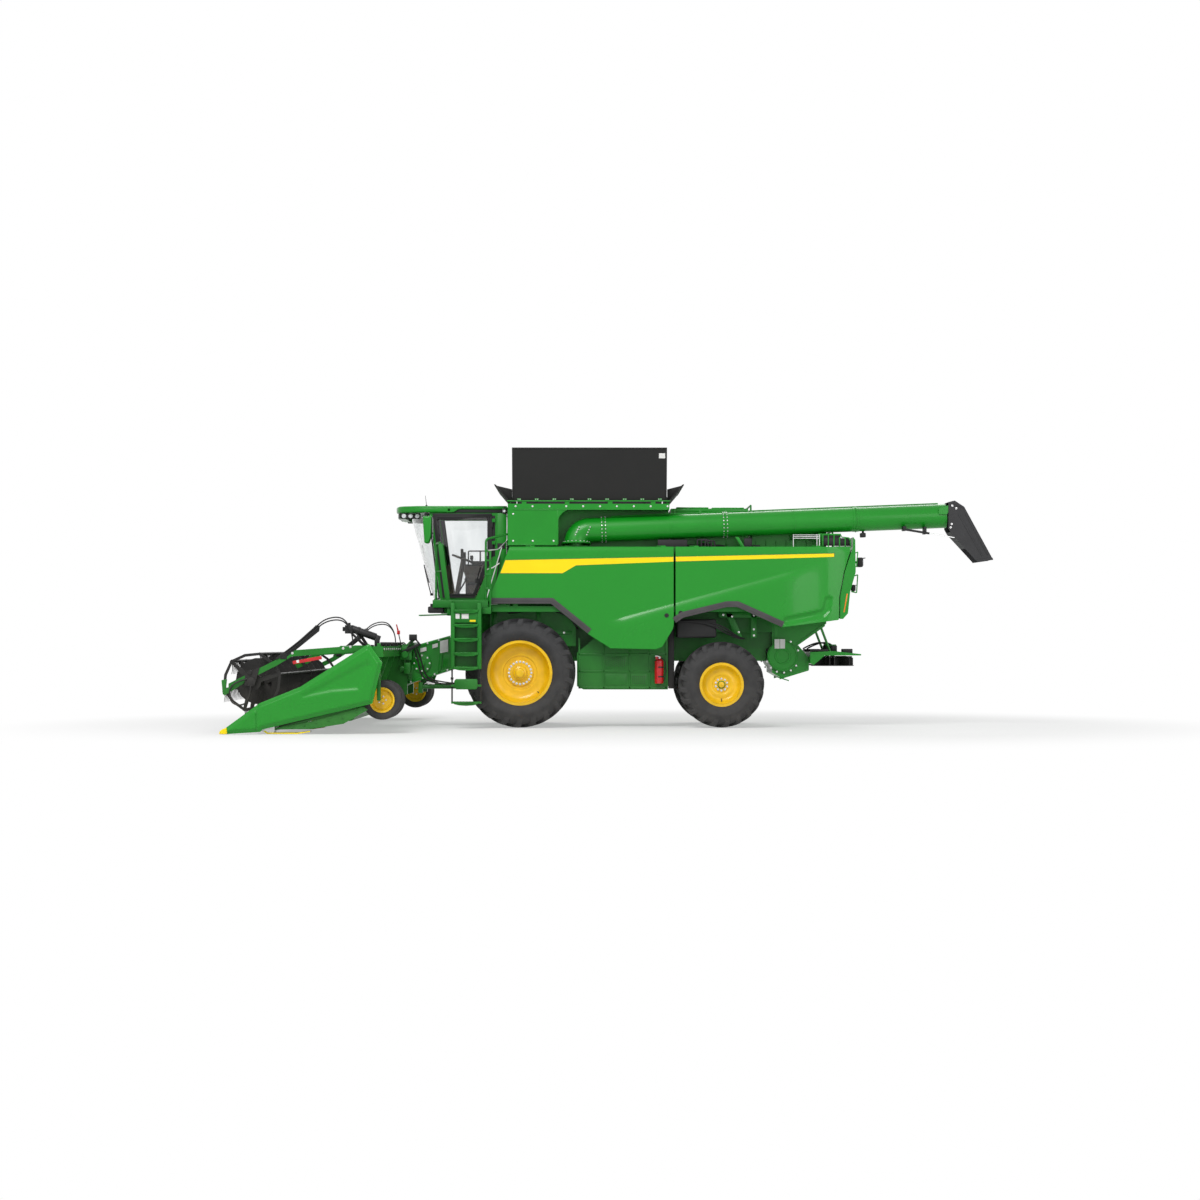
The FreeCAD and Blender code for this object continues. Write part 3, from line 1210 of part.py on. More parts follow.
def steering_column():
    """Raked column with the steering wheel on its top."""
    foot = point(cab_front + 330, 0, cab_floor + 1 + gap)
    top = point(cab_front + 470, 0, cab_floor + 760)
    axis = (top - foot).normalize()
    column = Part.makeCylinder(45, (top - foot).Length, foot, axis)
    base = Part.makeBox(240, 220, 60, foot - Vector(120, 110, 0))
    wheel = Part.makeTorus(210, 18, top, Vector(0.35, 0, 0.94))
    spokes = [Part.makeBox(420, 30, 14, Vector(-210, -15, -7)),
              Part.makeBox(30, 420, 14, Vector(-15, -210, -7))]
    for spoke in spokes:
        spoke.Placement = Placement(top, Rotation(Vector(0, 0, 1), Vector(0.35, 0, 0.94)))
    solid = column.common(Part.makeBox(2000, 2000, 2000, foot - Vector(1000, 1000, 0)))
    shape = solid.fuse([base, wheel, *spokes]).removeSplitter()
    return shaped("steering_solid", shape)


def cab_controls():
    """The steering column, and the right-hand console with its screen."""
    x = cab_rear - 800
    pieces = [box("console_box", (x, x + 520), (as_size(340), as_size(480)),
                  (cab_floor + 1 + gap, cab_floor + 640)),
              box("screen_post", (x - 60, x + 1), (as_size(390), as_size(430)),
                  (cab_floor + 560, cab_floor + 900)),
              box("screen", (x - 90, x - 50), (as_size(300), as_size(560)),
                  (cab_floor + 760, cab_floor + 960))]
    console = fuse("console_solid", pieces)
    sub_part("cab_controls", together("cab_control_set", [steering_column(), console]))


def mirrors():
    """Mirror housing each side on a bent arm from the roof's front corner."""
    x, y = cab_front - 60, cab_half + 560
    top, low = roof_z - 90, roof_z - 580
    arm_x = x - 70
    housing = box("mirror_housing", (x - 110, x + 70), (-y - 130, -y + 130), (low, top))
    arm = bent_tube("mirror_arm", [(arm_x, -cab_half - 28, roof_z), (arm_x, -cab_half - 28, roof_z - 60),
                                   (arm_x, -y, roof_z - 30), (arm_x, -y, top - 100)], 16, 26)
    left = fuse("mirror_left_solid", [housing, arm])
    sub_part("mirrors", together("mirror_pair", [left, mirrored("mirror_right_solid", left)]))


# ---------------------------------------------------------------- platform, rails and ladder
platform_edge = cell("platform_edge_y", 1720)
platform_thickness = cell("platform_thickness", 60)
platform_z = cell("platform_top", 2260)
platform_front = cab_front + 20
platform_rear = front_axle_x - 560
ladder_x = platform_front + 360
ladder_width = cell("ladder_width", 530)
ladder_depth = cell("ladder_depth", 230)
ladder_y = platform_edge + 45
ladder_bottom = cell("ladder_bottom", 440)
step_pitch = cell("step_pitch", 250)
rail_radius = cell("handrail_radius", 20)


def platform():
    """Landing outside the cab door, carried by brackets from the cab frame."""
    deck = box("platform_deck", (platform_front, platform_rear), (-platform_edge, -cab_half - gap),
               (platform_z - platform_thickness, platform_z))
    fascia = box("platform_fascia", (platform_front, platform_rear), (-platform_edge, -platform_edge + 30),
                 (platform_z - platform_thickness - 60, platform_z - 1))
    hinge_block = box("ladder_bracket", (ladder_x - 22, ladder_x + 22),
                      (-ladder_y - 2, -platform_edge + 1),
                      (platform_z - 300, platform_z - 260))
    hinge_top = box("ladder_bracket_top", (ladder_x - 22, ladder_x + 22), (-ladder_y - 2, -platform_edge + 1),
                    (platform_z - 50, platform_z - 10))
    drop = box("ladder_bracket_web", (ladder_x - 22, ladder_x + 22),
               (-platform_edge, -platform_edge + 30), (platform_z - 300, platform_z - 20))
    pins = [cylinder("ladder_pin", (ladder_x, -ladder_y, platform_z - 300), "z", 12, 292)]
    sub_part("platform", fuse("platform_solid", [deck, fascia, hinge_block, hinge_top, drop, *pins,
                                                *platform_rails()]))


def platform_rails():
    """Handrails: a raked front rail and a rear post that runs back to the tank's corner."""
    y = platform_edge - 30
    top = platform_z + 1020
    front = bent_tube("front_rail", [(platform_front + 260, -y, platform_z - 10),
                                     (platform_front + 130, -y, top),
                                     (platform_front + 35, -y + 380, top),
                                     (platform_front + 30, -y + 380, platform_z - 10)],
                      rail_radius, 70)
    rear_x = platform_rear - 38
    rear = bent_tube("rear_rail", [(rear_x, -y, platform_z - 10), (rear_x, -y, top + 60),
                                   (tank_front - 12.4, -tank_right + 60, top + 160)], rail_radius, 70)
    return [front, rear]


def ladder():
    """Side ladder hung on the platform: two rails, treads, and a hanging bottom step."""
    x0, x1 = ladder_x - 20, ladder_x - 20 + ladder_width
    y_in, y_out = ladder_y, ladder_y + ladder_depth
    top = platform_z - 110
    lower = ladder_bottom + 610
    side = 28
    pieces = []
    for x in (x0, x1 - side):
        pieces.append(box("ladder_rail", (x, x + side), (-y_out, -y_in - 30), (lower, top + 60)))
    pieces.append(box("ladder_back", (x0, x1), (-y_in - 42, -y_in - 30), (lower, top + 60)))
    for i in range(5):
        z = lower + step_pitch * i
        pieces.append(box("tread", (x0 + 1, x1 - 1), (-y_out + 5, -y_in - 30), (z, z + 35)))
    for x in (x0, x1 - 12):
        pieces.append(box("hanger_strap", (x, x + 12), (-y_out + 60, -y_out + 100),
                          (ladder_bottom, lower + 1)))
    for z in (ladder_bottom, ladder_bottom + 300):
        pieces.append(box("hanging_step", (x0 + 1, x1 - 1), (-y_out, -y_in - 30), (z, z + 35)))
    for z in (platform_z - 250, platform_z - 170):
        ring = cut("ladder_eye", box("ladder_eye_block", (ladder_x - 26, ladder_x + 26),
                                     (-ladder_y - 45, -ladder_y + 24), (z, z + 60)),
                   [cylinder("ladder_eye_bore", (ladder_x, -ladder_y, z - 1), "z", 12 + gap, 62)])
        pieces.append(ring)
    sub_part("ladder", fuse("ladder_solid", pieces))


def fire_extinguisher():
    """Red bottle in its bracket on the left of the belly."""
    x, y, z = belly_rear - 165, belly_half + 75 + gap, belly_bottom + 110
    bottle = [cylinder("bottle", (x, -y, z), "z", 75, 400), cylinder("neck", (x, -y, z + 399), "z", 22, 50),
              box("valve", (x - 60, x + 40), (-y - 18, -y + 18), (z + 430, z + 480)),
              box("bracket", (x - 40, x + 40), (-y + 60, -belly_half - gap), (z + 40, z + 360))]
    sub_part("fire_extinguisher", fuse("extinguisher_solid", bottle))


# ---------------------------------------------------------------- header
header_half = cell("header_width", 9140) / 2
header_x = feeder_front_low[0]
divider_thickness = cell("divider_thickness", 150)
header_tip = header_x - 2810
cutter_x = header_x - 2050
deck_low = cell("deck_front_height", 60)
deck_high = cell("deck_rear_height", 450)
deck_rear_x = header_x - 615
back_top_x = header_x - 300
back_top_z = cell("header_back_top", 1330)
mouth_half = cell("header_mouth_half", 680)
draper_thickness = cell("draper_thickness", 90)
arm_y = header_half - divider_thickness - 110
reel_pivot = (header_x - 560, cell("reel_pivot_height", 1420))
reel_centre = (header_x - 2310, cell("reel_height", 860))
reel_radius = cell("reel_radius", 480)
reel_tube = cell("reel_tube_radius", 90)
reel_core_radius = cell("reel_core_radius", 30)
bat_radius = cell("bat_radius", 26)
spider = cell("reel_spider_thickness", 12)
bat_count = 6
reel_arm_y = (-arm_y, as_size(-15), arm_y)
arm_half = cell("reel_arm_half_width", 25)
arm_depth = cell("reel_arm_depth", 100)
arm_lift = cell("reel_arm_above_shaft", 110)
arm_overrun = cell("reel_arm_overrun", 420)
arm_pin_radius = cell("reel_arm_pin_radius", 25)
cheek = cell("carrier_cheek", 14)
slide_x, slide_z = 0.8944, 0.4472
slide_ratio = slide_z / slide_x
gauge_x = header_x - 160
gauge_z = cell("gauge_wheel_height", 555)
gauge_radius = cell("gauge_tyre_radius", 328)
gauge_width = cell("gauge_tyre_width", 230)
gauge_y = cell("gauge_wheel_y", 3780)
gauge_twin = cell("gauge_twin_spacing", 640)
gauge_web = cell("gauge_web_half_thickness", 12)
gauge_stub_radius = cell("gauge_stub_radius", 30)


def header_frame():
    """Floor pan, backsheet with the feed opening, beams, adapter and arm brackets."""
    inner = header_half - divider_thickness - gap
    thickness = 40
    pan = plate("header_pan", "XZ",
                [(cutter_x + 140, deck_low), (deck_rear_x, deck_high - 60),
                 (deck_rear_x, deck_high - 60 + thickness), (cutter_x + 140, deck_low + thickness)],
                -inner, inner)
    back = plate("backsheet", "XZ",
                 [(deck_rear_x - 1, deck_high - 60), (deck_rear_x + 40, deck_high - 60),
                  (back_top_x + 40, back_top_z), (back_top_x, back_top_z)], -inner, inner)
    mouth = box("feed_opening", (deck_rear_x - 200, back_top_x + 200), (-mouth_half, mouth_half),
                (deck_high + 60, back_top_z - 60))
    top_beam = box("top_beam", (back_top_x + 1, back_top_x + 180), (-inner, inner),
                   (back_top_z - 60, back_top_z + 120))
    low_beam = cylinder("low_beam", (deck_rear_x - 60, -inner, deck_high - 140), "y", 95, inner * 2)
    sheets = cut("backsheet_cut", back, [mouth])
    adapter = plate("adapter_outer", "XZ",
                    [(feeder_front_low[0] - gap, feeder_front_low[1] - 180),
                     (feeder_front_low[0] - gap, feeder_front_low[1]),
                     (feeder_front_top[0] - gap, feeder_front_top[1]),
                     (feeder_front_top[0] - gap, feeder_front_top[1] + 60),
                     (back_top_x + 100, back_top_z + 80), (deck_rear_x + 60, deck_high - 60)],
                    -mouth_half - 120, mouth_half + 120)
    adapter_bore = box("adapter_bore", (deck_rear_x - 200, header_x + 400), (-mouth_half, mouth_half),
                       (deck_high + 60, back_top_z - 61))
    frame_piece = cut("adapter", adapter, [adapter_bore])
    legs = []
    for y in (-inner + 130, -inner * 0.62, -inner * 0.32, inner * 0.32 - 60, inner * 0.62 - 60,
              inner - 190):
        legs.append(plate("frame_leg", "XZ",
                          [(deck_rear_x + 30, deck_high - 60), (deck_rear_x + 110, deck_high - 60),
                           (back_top_x + 150, back_top_z), (back_top_x + 30, back_top_z)], y, y + 60))
    brackets = []
    for y in reel_arm_y:
        brackets.append(plate("reel_arm_bracket", "XZ",
                              [(reel_pivot[0] - 45, reel_pivot[1] - 45),
                               (reel_pivot[0] - 45, reel_pivot[1] + 45),
                               (reel_pivot[0] + 60, reel_pivot[1] + 45),
                               (back_top_x + 60, back_top_z + 115), (back_top_x + 60, back_top_z - 40),
                               (reel_pivot[0] + 120, reel_pivot[1] - 120)],
                              y - arm_half - 36, y - arm_half - 6))
        brackets.append(cylinder("reel_arm_pin", (reel_pivot[0], y - arm_half - 7, reel_pivot[1]),
                                 "y", arm_pin_radius, arm_half * 2 + 14))
    gauge_arms = []
    for side in (-1, 1):
        y = side * gauge_y
        low = y - 35
        gauge_arms.append(plate("gauge_arm", "XZ",
                                [(deck_rear_x + 20, deck_high - 60), (deck_rear_x + 40, deck_high + 90),
                                 (gauge_x, gauge_z + 50), (gauge_x + 50, gauge_z), (gauge_x, gauge_z - 50)],
                                low, low + 70))
        reach = gauge_twin / 2 + gauge_web + 2
        gauge_arms.append(cylinder("gauge_stub", (gauge_x, y - reach, gauge_z), "y",
                                   gauge_stub_radius, reach * 2))
    sub_part("header_frame", fuse("header_frame_solid",
                                  [pan, sheets, top_beam, low_beam, frame_piece, *legs, *brackets,
                                   *gauge_arms]))


def cutterbar():
    """Knife beam along the pan's front edge with skid shoes that stand on the ground."""
    inner = header_half - divider_thickness - gap
    beam = plate("knife_beam", "XZ",
                 [(cutter_x - 60, as_size(40)), (cutter_x + 140 - gap, deck_low - 10),
                  (cutter_x + 140 - gap, deck_low + 70), (cutter_x - 20, as_size(85)), (cutter_x - 130, as_size(60))],
                 -inner, inner)
    shoes = []
    for y in (-inner, -inner * 0.5, as_size(-150), inner * 0.5 - 300, inner - 300):
        shoes.append(plate("skid_shoe", "XZ",
                           [(cutter_x - 40, as_size(41)), (cutter_x + 20, as_size(0)), (cutter_x + 520, as_size(0)),
                            (cutter_x + 720, as_size(30)), (cutter_x + 720, as_size(55)), (cutter_x + 520, as_size(20)),
                            (cutter_x + 130, as_size(20)), (cutter_x + 130, deck_low)], y, y + 300))
    sub_part("cutterbar", fuse("cutterbar_solid", [beam, *shoes]))


def draper_belts():
    """Side belts either side of the centre feed belt, each a flat closed loop."""
    inner = header_half - divider_thickness - 60
    slope = (deck_high - 60 - deck_low) / (deck_rear_x - cutter_x - 140)
    lift = 40 + gap * 2
    x0, x1 = cutter_x + 200, deck_rear_x - 90

    def belt(name, y_low, y_high):
        low = deck_low + (x0 - cutter_x - 140) * slope + lift
        high = deck_low + (x1 - cutter_x - 140) * slope + lift
        return plate(name, "XZ", [(x0, low), (x1, high), (x1, high + draper_thickness),
                                  (x0, low + draper_thickness)], y_low, y_high)

    belts = [belt("left_belt", -inner, -mouth_half - 60),
             belt("centre_belt", -mouth_half + 10, mouth_half - 10),
             belt("right_belt", mouth_half + 60, inner)]
    sub_part("draper_belts", together("belt_set", belts))


def header_dividers():
    """End covers of the header: a deep tail plate drawn out to a pointed snout."""
    outline = [(header_tip, as_size(0)), (header_tip + 90, as_size(0)), (cutter_x - 90, as_size(38)),
               (header_x - 2100, as_size(80)), (header_x - 290, as_size(505)), (header_x - 130, as_size(1180)),
               (header_x - 230, as_size(1330)), (header_x - 350, as_size(1490)), (header_x - 1480, as_size(780)),
               (header_x - 2150, as_size(510)), (header_tip + 140, as_size(130)), (header_tip, as_size(60))]
    left = plate("divider_left", "XZ", outline, -header_half, -header_half + divider_thickness)
    sub_part("header_dividers", together("divider_pair", [left, mirrored("divider_right", left)]))


def reel_arms():
    """Three bent arms from the back beam to the reel, joined by a cross tube near their pivots."""
    cx, cz = reel_centre
    knee_x, knee_z = reel_pivot[0] - 1110, reel_pivot[1] - 90
    bend_x, bend_z = cx + 400, cz + arm_lift + 400 * slide_ratio
    reach = arm_overrun
    tail = [(reel_pivot[0] + 45, reel_pivot[1] + 45), (knee_x, knee_z + arm_depth / 2),
            (bend_x, bend_z + arm_depth / 2),
            (cx - reach * slide_x, cz - reach * slide_z + arm_lift + arm_depth / 2),
            (cx - reach * slide_x, cz - reach * slide_z + arm_lift - arm_depth / 2),
            (bend_x + 30, bend_z - arm_depth / 2 + 30 * slide_ratio),
            (knee_x + 25, knee_z - arm_depth / 2), (reel_pivot[0] + 45, reel_pivot[1] - 55)]
    pieces = []
    for y in reel_arm_y:
        arm_piece = plate("reel_arm", "XZ", tail, y - arm_half, y + arm_half)
        bore = cylinder("reel_arm_bore", (reel_pivot[0], y - arm_half - 5, reel_pivot[1]), "y",
                        arm_pin_radius + gap, arm_half * 2 + 10)
        pieces.append(cut("reel_arm_bored", arm_piece, [bore]))
    tie = cylinder("reel_arm_tie", (reel_pivot[0] - 260, -arm_y - 20, reel_pivot[1]), "y", 38,
                   arm_y * 2 + 40)
    sub_part("reel_arms", fuse("reel_arms_solid", [*pieces, tie]))


def reel_carriers():
    """Bearing brackets that straddle the arms, slide along them and hold the reel's shaft."""
    cx, cz = reel_centre
    top = arm_lift + arm_depth / 2 + 8
    carriers = []
    for y in reel_arm_y:
        low, high = y - arm_half - knuckle_gap - cheek, y + arm_half + knuckle_gap + cheek
        pieces = []
        for start in (low, high - cheek):
            outline = [(cx - 110, cz - 60), (cx + 60, cz - 70), (cx + 140, cz + 250),
                       (cx + 100, cz + top + 14 + 100 * slide_ratio),
                       (cx - 100, cz + top + 14 - 100 * slide_ratio)]
            plate_piece = plate("carrier_cheek", "XZ", outline, start, start + cheek)
            pieces.append(cut("carrier_plate", plate_piece,
                              [cylinder("carrier_bore", (cx, start - 1, cz), "y",
                                        reel_core_radius + gap, cheek + 2)]))
        pieces.append(plate("carrier_bridge", "XZ",
                            [(cx - 100, cz + top - 100 * slide_ratio),
                             (cx + 100, cz + top + 100 * slide_ratio),
                             (cx + 100, cz + top + 14 + 100 * slide_ratio),
                             (cx - 100, cz + top + 14 - 100 * slide_ratio)], low, high))
        carriers.append(fuse("carrier_solid", pieces))
    sub_part("reel_carriers", together("carrier_set", carriers))


def reel_bay(low, high):
    """One bay between two spiders: a length of tube and six bats."""
    cx, cz = reel_centre
    pieces = [cylinder("reel_tube", (cx, low, cz), "y", reel_tube, high - low)]
    for i in range(bat_count):
        angle = math.radians(360 / bat_count * i + 15)
        bat_x, bat_z = cx + reel_radius * math.cos(angle), cz + reel_radius * math.sin(angle)
        pieces.append(cylinder("reel_bat", (bat_x, low, bat_z), "y", bat_radius, high - low))
    return pieces


def reel():
    """Two sections of tube and bats between spiders, on stub shafts through the brackets."""
    cx, cz = reel_centre
    half = arm_y - 60
    core_half = half + 32
    left_end, right_end = as_size(-70), as_size(40)
    pieces = []
    for low, high in ((-half, left_end), (right_end, half)):
        middle = (low + high) / 2
        for y in (low, middle - spider / 2, high - spider):
            pieces.append(cylinder("reel_spider", (cx, y, cz), "y", reel_radius + 10, spider))
        pieces += reel_bay(low + spider + gap, middle - spider / 2 - gap)
        pieces += reel_bay(middle + spider / 2 + gap, high - spider - gap)
    for start, end in ((-core_half, -half - gap), (left_end + gap, right_end - gap),
                       (half + gap, core_half)):
        pieces.append(cylinder("reel_stub_shaft", (cx, start, cz), "y", reel_core_radius, end - start))
    sub_part("reel", together("reel_set", pieces))


def gauge_wheels(name, side):
    """Twin gauge wheels each side of their arm, tyres and rims in one piece per wheel."""
    rim_part = gauge_radius * 0.62
    wheels = []
    for offset in (-gauge_twin / 2, gauge_twin / 2):
        centre_y = side * gauge_y + offset
        half = gauge_width / 2
        profile = [(gauge_radius, half * 0.7), (gauge_radius - 30, half), (rim_part + 20, half * 0.9),
                   (rim_part, half * 0.7), (rim_part - 20, half * 0.7), (rim_part - 20, gauge_web),
                   (gauge_stub_radius + gap, gauge_web)]
        wheel = revolved(f"{name}_wheel", profile + [(r, -y) for r, y in reversed(profile)],
                         (gauge_x, centre_y, gauge_z))
        wheels.append(wheel)
    return wheels


front_axle()
feeder_house()
lift_cylinders()
separator_housing()
chassis_frame()
side_panels()
grain_tank()
tank_covers()
unloading_auger()
auger_spout()
engine()
engine_deck()
rear_hood()
chopper_housing()
spreader_deck()
spreader_rotor("left_spreader_rotor", -1)
spreader_rotor("right_spreader_rotor", 1)
rear_axle()
knuckles()
cab_frame()
cab_roof()
cab_windows()
cab_door()
driver_seat()
cab_controls()
mirrors()
platform()
ladder()
fire_extinguisher()
header_frame()
cutterbar()
draper_belts()
header_dividers()
reel_arms()
reel_carriers()
reel()
sub_part("left_gauge_wheels", together("gauge_left", gauge_wheels("left_gauge", -1)))
sub_part("right_gauge_wheels", together("gauge_right", gauge_wheels("right_gauge", 1)))


# ---------------------------------------------------------------- check and export
def export():
    """Recomputes, stops on any failed object or bad solid, and writes one STEP a sub-part."""
    doc.recompute()
    for item in doc.Objects:
        if "Invalid" in item.State or "Error" in item.State:
            raise RuntimeError(f"{item.Label} failed: {item.State}")
    os.makedirs("parts", exist_ok=True)
    for feature in SUB_PARTS:
        shape = feature.Shape
        if shape.isNull() or not shape.isValid() or not shape.Solids:
            raise RuntimeError(f"{feature.Label} has no valid solid")
        box_of = shape.BoundBox
        print(f"{feature.Label:26s} solids {len(shape.Solids)} volume {shape.Volume / 1e9:8.4f} m3"
              f"  x {box_of.XMin:7.0f} {box_of.XMax:7.0f}  y {box_of.YMin:7.0f} {box_of.YMax:7.0f}"
              f"  z {box_of.ZMin:7.0f} {box_of.ZMax:7.0f}")
        shape.exportStep(f"parts/{feature.Label}.step")


export()
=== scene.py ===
"""Combine harvester with its wide belt header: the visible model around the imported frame."""

import math

import bpy
from mathutils import Matrix, Vector


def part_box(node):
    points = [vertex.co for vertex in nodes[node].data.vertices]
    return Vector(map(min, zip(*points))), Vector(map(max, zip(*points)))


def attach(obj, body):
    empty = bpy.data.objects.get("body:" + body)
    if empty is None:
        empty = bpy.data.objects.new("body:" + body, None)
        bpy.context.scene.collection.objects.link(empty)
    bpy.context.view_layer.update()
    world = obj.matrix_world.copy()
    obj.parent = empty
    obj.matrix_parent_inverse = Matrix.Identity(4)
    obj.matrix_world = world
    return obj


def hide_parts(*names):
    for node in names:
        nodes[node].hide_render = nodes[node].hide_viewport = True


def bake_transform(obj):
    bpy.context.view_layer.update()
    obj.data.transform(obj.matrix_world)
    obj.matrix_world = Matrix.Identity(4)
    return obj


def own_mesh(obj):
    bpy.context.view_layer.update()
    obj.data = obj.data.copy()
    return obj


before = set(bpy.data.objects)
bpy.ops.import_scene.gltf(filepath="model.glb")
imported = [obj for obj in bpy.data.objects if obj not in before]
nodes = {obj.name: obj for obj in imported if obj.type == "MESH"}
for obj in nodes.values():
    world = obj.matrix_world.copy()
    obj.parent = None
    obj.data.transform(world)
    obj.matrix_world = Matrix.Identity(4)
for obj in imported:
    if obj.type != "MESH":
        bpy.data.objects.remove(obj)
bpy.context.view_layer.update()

# ---------------------------------------------------------------- studio
# A pale seamless floor under soft lamps. The machine stands side on to a long lens
# at chest height, which looks very slightly up.
scene = bpy.context.scene
scene.view_settings.view_transform = "Standard"


def alone(piece):
    """Selects this piece and nothing else."""
    bpy.ops.object.select_all(action="DESELECT")
    piece.select_set(True)
    bpy.context.view_layer.objects.active = piece


def put(node, **values):
    """Sets a node's inputs; an underscore stands for the space in an input's name."""
    for name, value in values.items():
        node.inputs[name.replace("_", " ")].default_value = value


def seen_directly(tree):
    """One where the camera, a mirror or glass looks at the surface, nought for light on the object."""
    rays = tree.nodes.new("ShaderNodeLightPath")
    total = None
    for name in ("Is Camera Ray", "Is Glossy Ray", "Is Transmission Ray"):
        if total is None:
            total = rays.outputs[name]
            continue
        joiner = tree.nodes.new("ShaderNodeMath")
        joiner.operation = "MAXIMUM"
        tree.links.new(total, joiner.inputs[0])
        tree.links.new(rays.outputs[name], joiner.inputs[1])
        total = joiner.outputs[0]
    return total


world = bpy.data.worlds.new("studio")
scene.world = world
world.use_nodes = True
world_tree = world.node_tree
sky = world_tree.nodes["Background"]
put(sky, Color=(1.0, 1.0, 1.0, 1.0))
sky_level = world_tree.nodes.new("ShaderNodeMapRange")
put(sky_level, To_Min=0.44, To_Max=1.0)
world_tree.links.new(seen_directly(world_tree), sky_level.inputs["Value"])
world_tree.links.new(sky_level.outputs[0], sky.inputs["Strength"])

bpy.ops.mesh.primitive_plane_add(size=400, location=(0, 60, -0.004))
floor = bpy.context.object
floor.name = "studio_floor"
bpy.ops.object.transform_apply(location=True, rotation=True, scale=True)
floor_finish = bpy.data.materials.new("studio_floor")
floor_finish.use_nodes = True
floor_tree = floor_finish.node_tree
floor_shader = floor_tree.nodes["Principled BSDF"]
put(floor_shader, Base_Color=(0.86, 0.86, 0.86, 1.0), Roughness=0.9, Specular_IOR_Level=0.0)
glow = floor_tree.nodes.new("ShaderNodeEmission")
put(glow, Color=(1.0, 1.0, 1.0, 1.0))
floor_mix = floor_tree.nodes.new("ShaderNodeMixShader")
floor_place = floor_tree.nodes.new("ShaderNodeTexCoord")
floor_reach = floor_tree.nodes.new("ShaderNodeVectorMath")
floor_reach.operation = "LENGTH"
floor_tree.links.new(floor_place.outputs["Object"], floor_reach.inputs[0])
floor_fade = floor_tree.nodes.new("ShaderNodeMapRange")
floor_fade.interpolation_type = "SMOOTHSTEP"
put(floor_fade, From_Min=7.5, From_Max=12.0, To_Min=0.4, To_Max=1.0)
floor_tree.links.new(floor_reach.outputs["Value"], floor_fade.inputs["Value"])
floor_share = floor_tree.nodes.new("ShaderNodeMath")
floor_share.operation = "MULTIPLY"
floor_tree.links.new(floor_fade.outputs[0], floor_share.inputs[1])
floor_tree.links.new(seen_directly(floor_tree), floor_share.inputs[0])
floor_tree.links.new(floor_share.outputs[0], floor_mix.inputs["Fac"])
floor_tree.links.new(floor_shader.outputs[0], floor_mix.inputs[1])
floor_tree.links.new(glow.outputs[0], floor_mix.inputs[2])
floor_tree.links.new(floor_mix.outputs[0], floor_tree.nodes["Material Output"].inputs["Surface"])
floor.data.materials.append(floor_finish)


def lamp(name, place, aim, size, power):
    """A square soft box that faces a point."""
    bpy.ops.object.light_add(type="AREA", location=place)
    light = bpy.context.object
    light.name = name
    light.data.size = size
    light.data.energy = power
    light.rotation_euler = (Vector(aim) - Vector(place)).to_track_quat("-Z", "Y").to_euler()


lamp("key_lamp", (-8, -20, 20), (0, 0, 1.5), 11, 4300)
lamp("side_lamp", (13, -22, 8), (1, 0, 1.5), 12, 1000)
lamp("back_lamp", (3, 20, 18), (0, 0, 2), 14, 2300)

bpy.ops.object.camera_add(location=(-0.533, -43.65, 1.487))
camera = bpy.context.object
camera.name = "side_camera"
upward_tilt, side_turn = 1.062, -0.2415
sensor_width = 36
focal_length_in_frames = 2373 / 1200
camera.rotation_euler = (math.radians(90 + upward_tilt), 0, math.radians(side_turn))
camera.data.sensor_width = sensor_width
camera.data.lens = focal_length_in_frames * sensor_width
camera.data.clip_end = 600
scene.camera = camera

# ---------------------------------------------------------------- drive and steered tyres
# Radial tyres with long chevron bars, moulded in one with the carcass. The bars start by
# the crown's middle line and run over the shoulder; the bead sits on the rim's flange.


finish_slots = {}


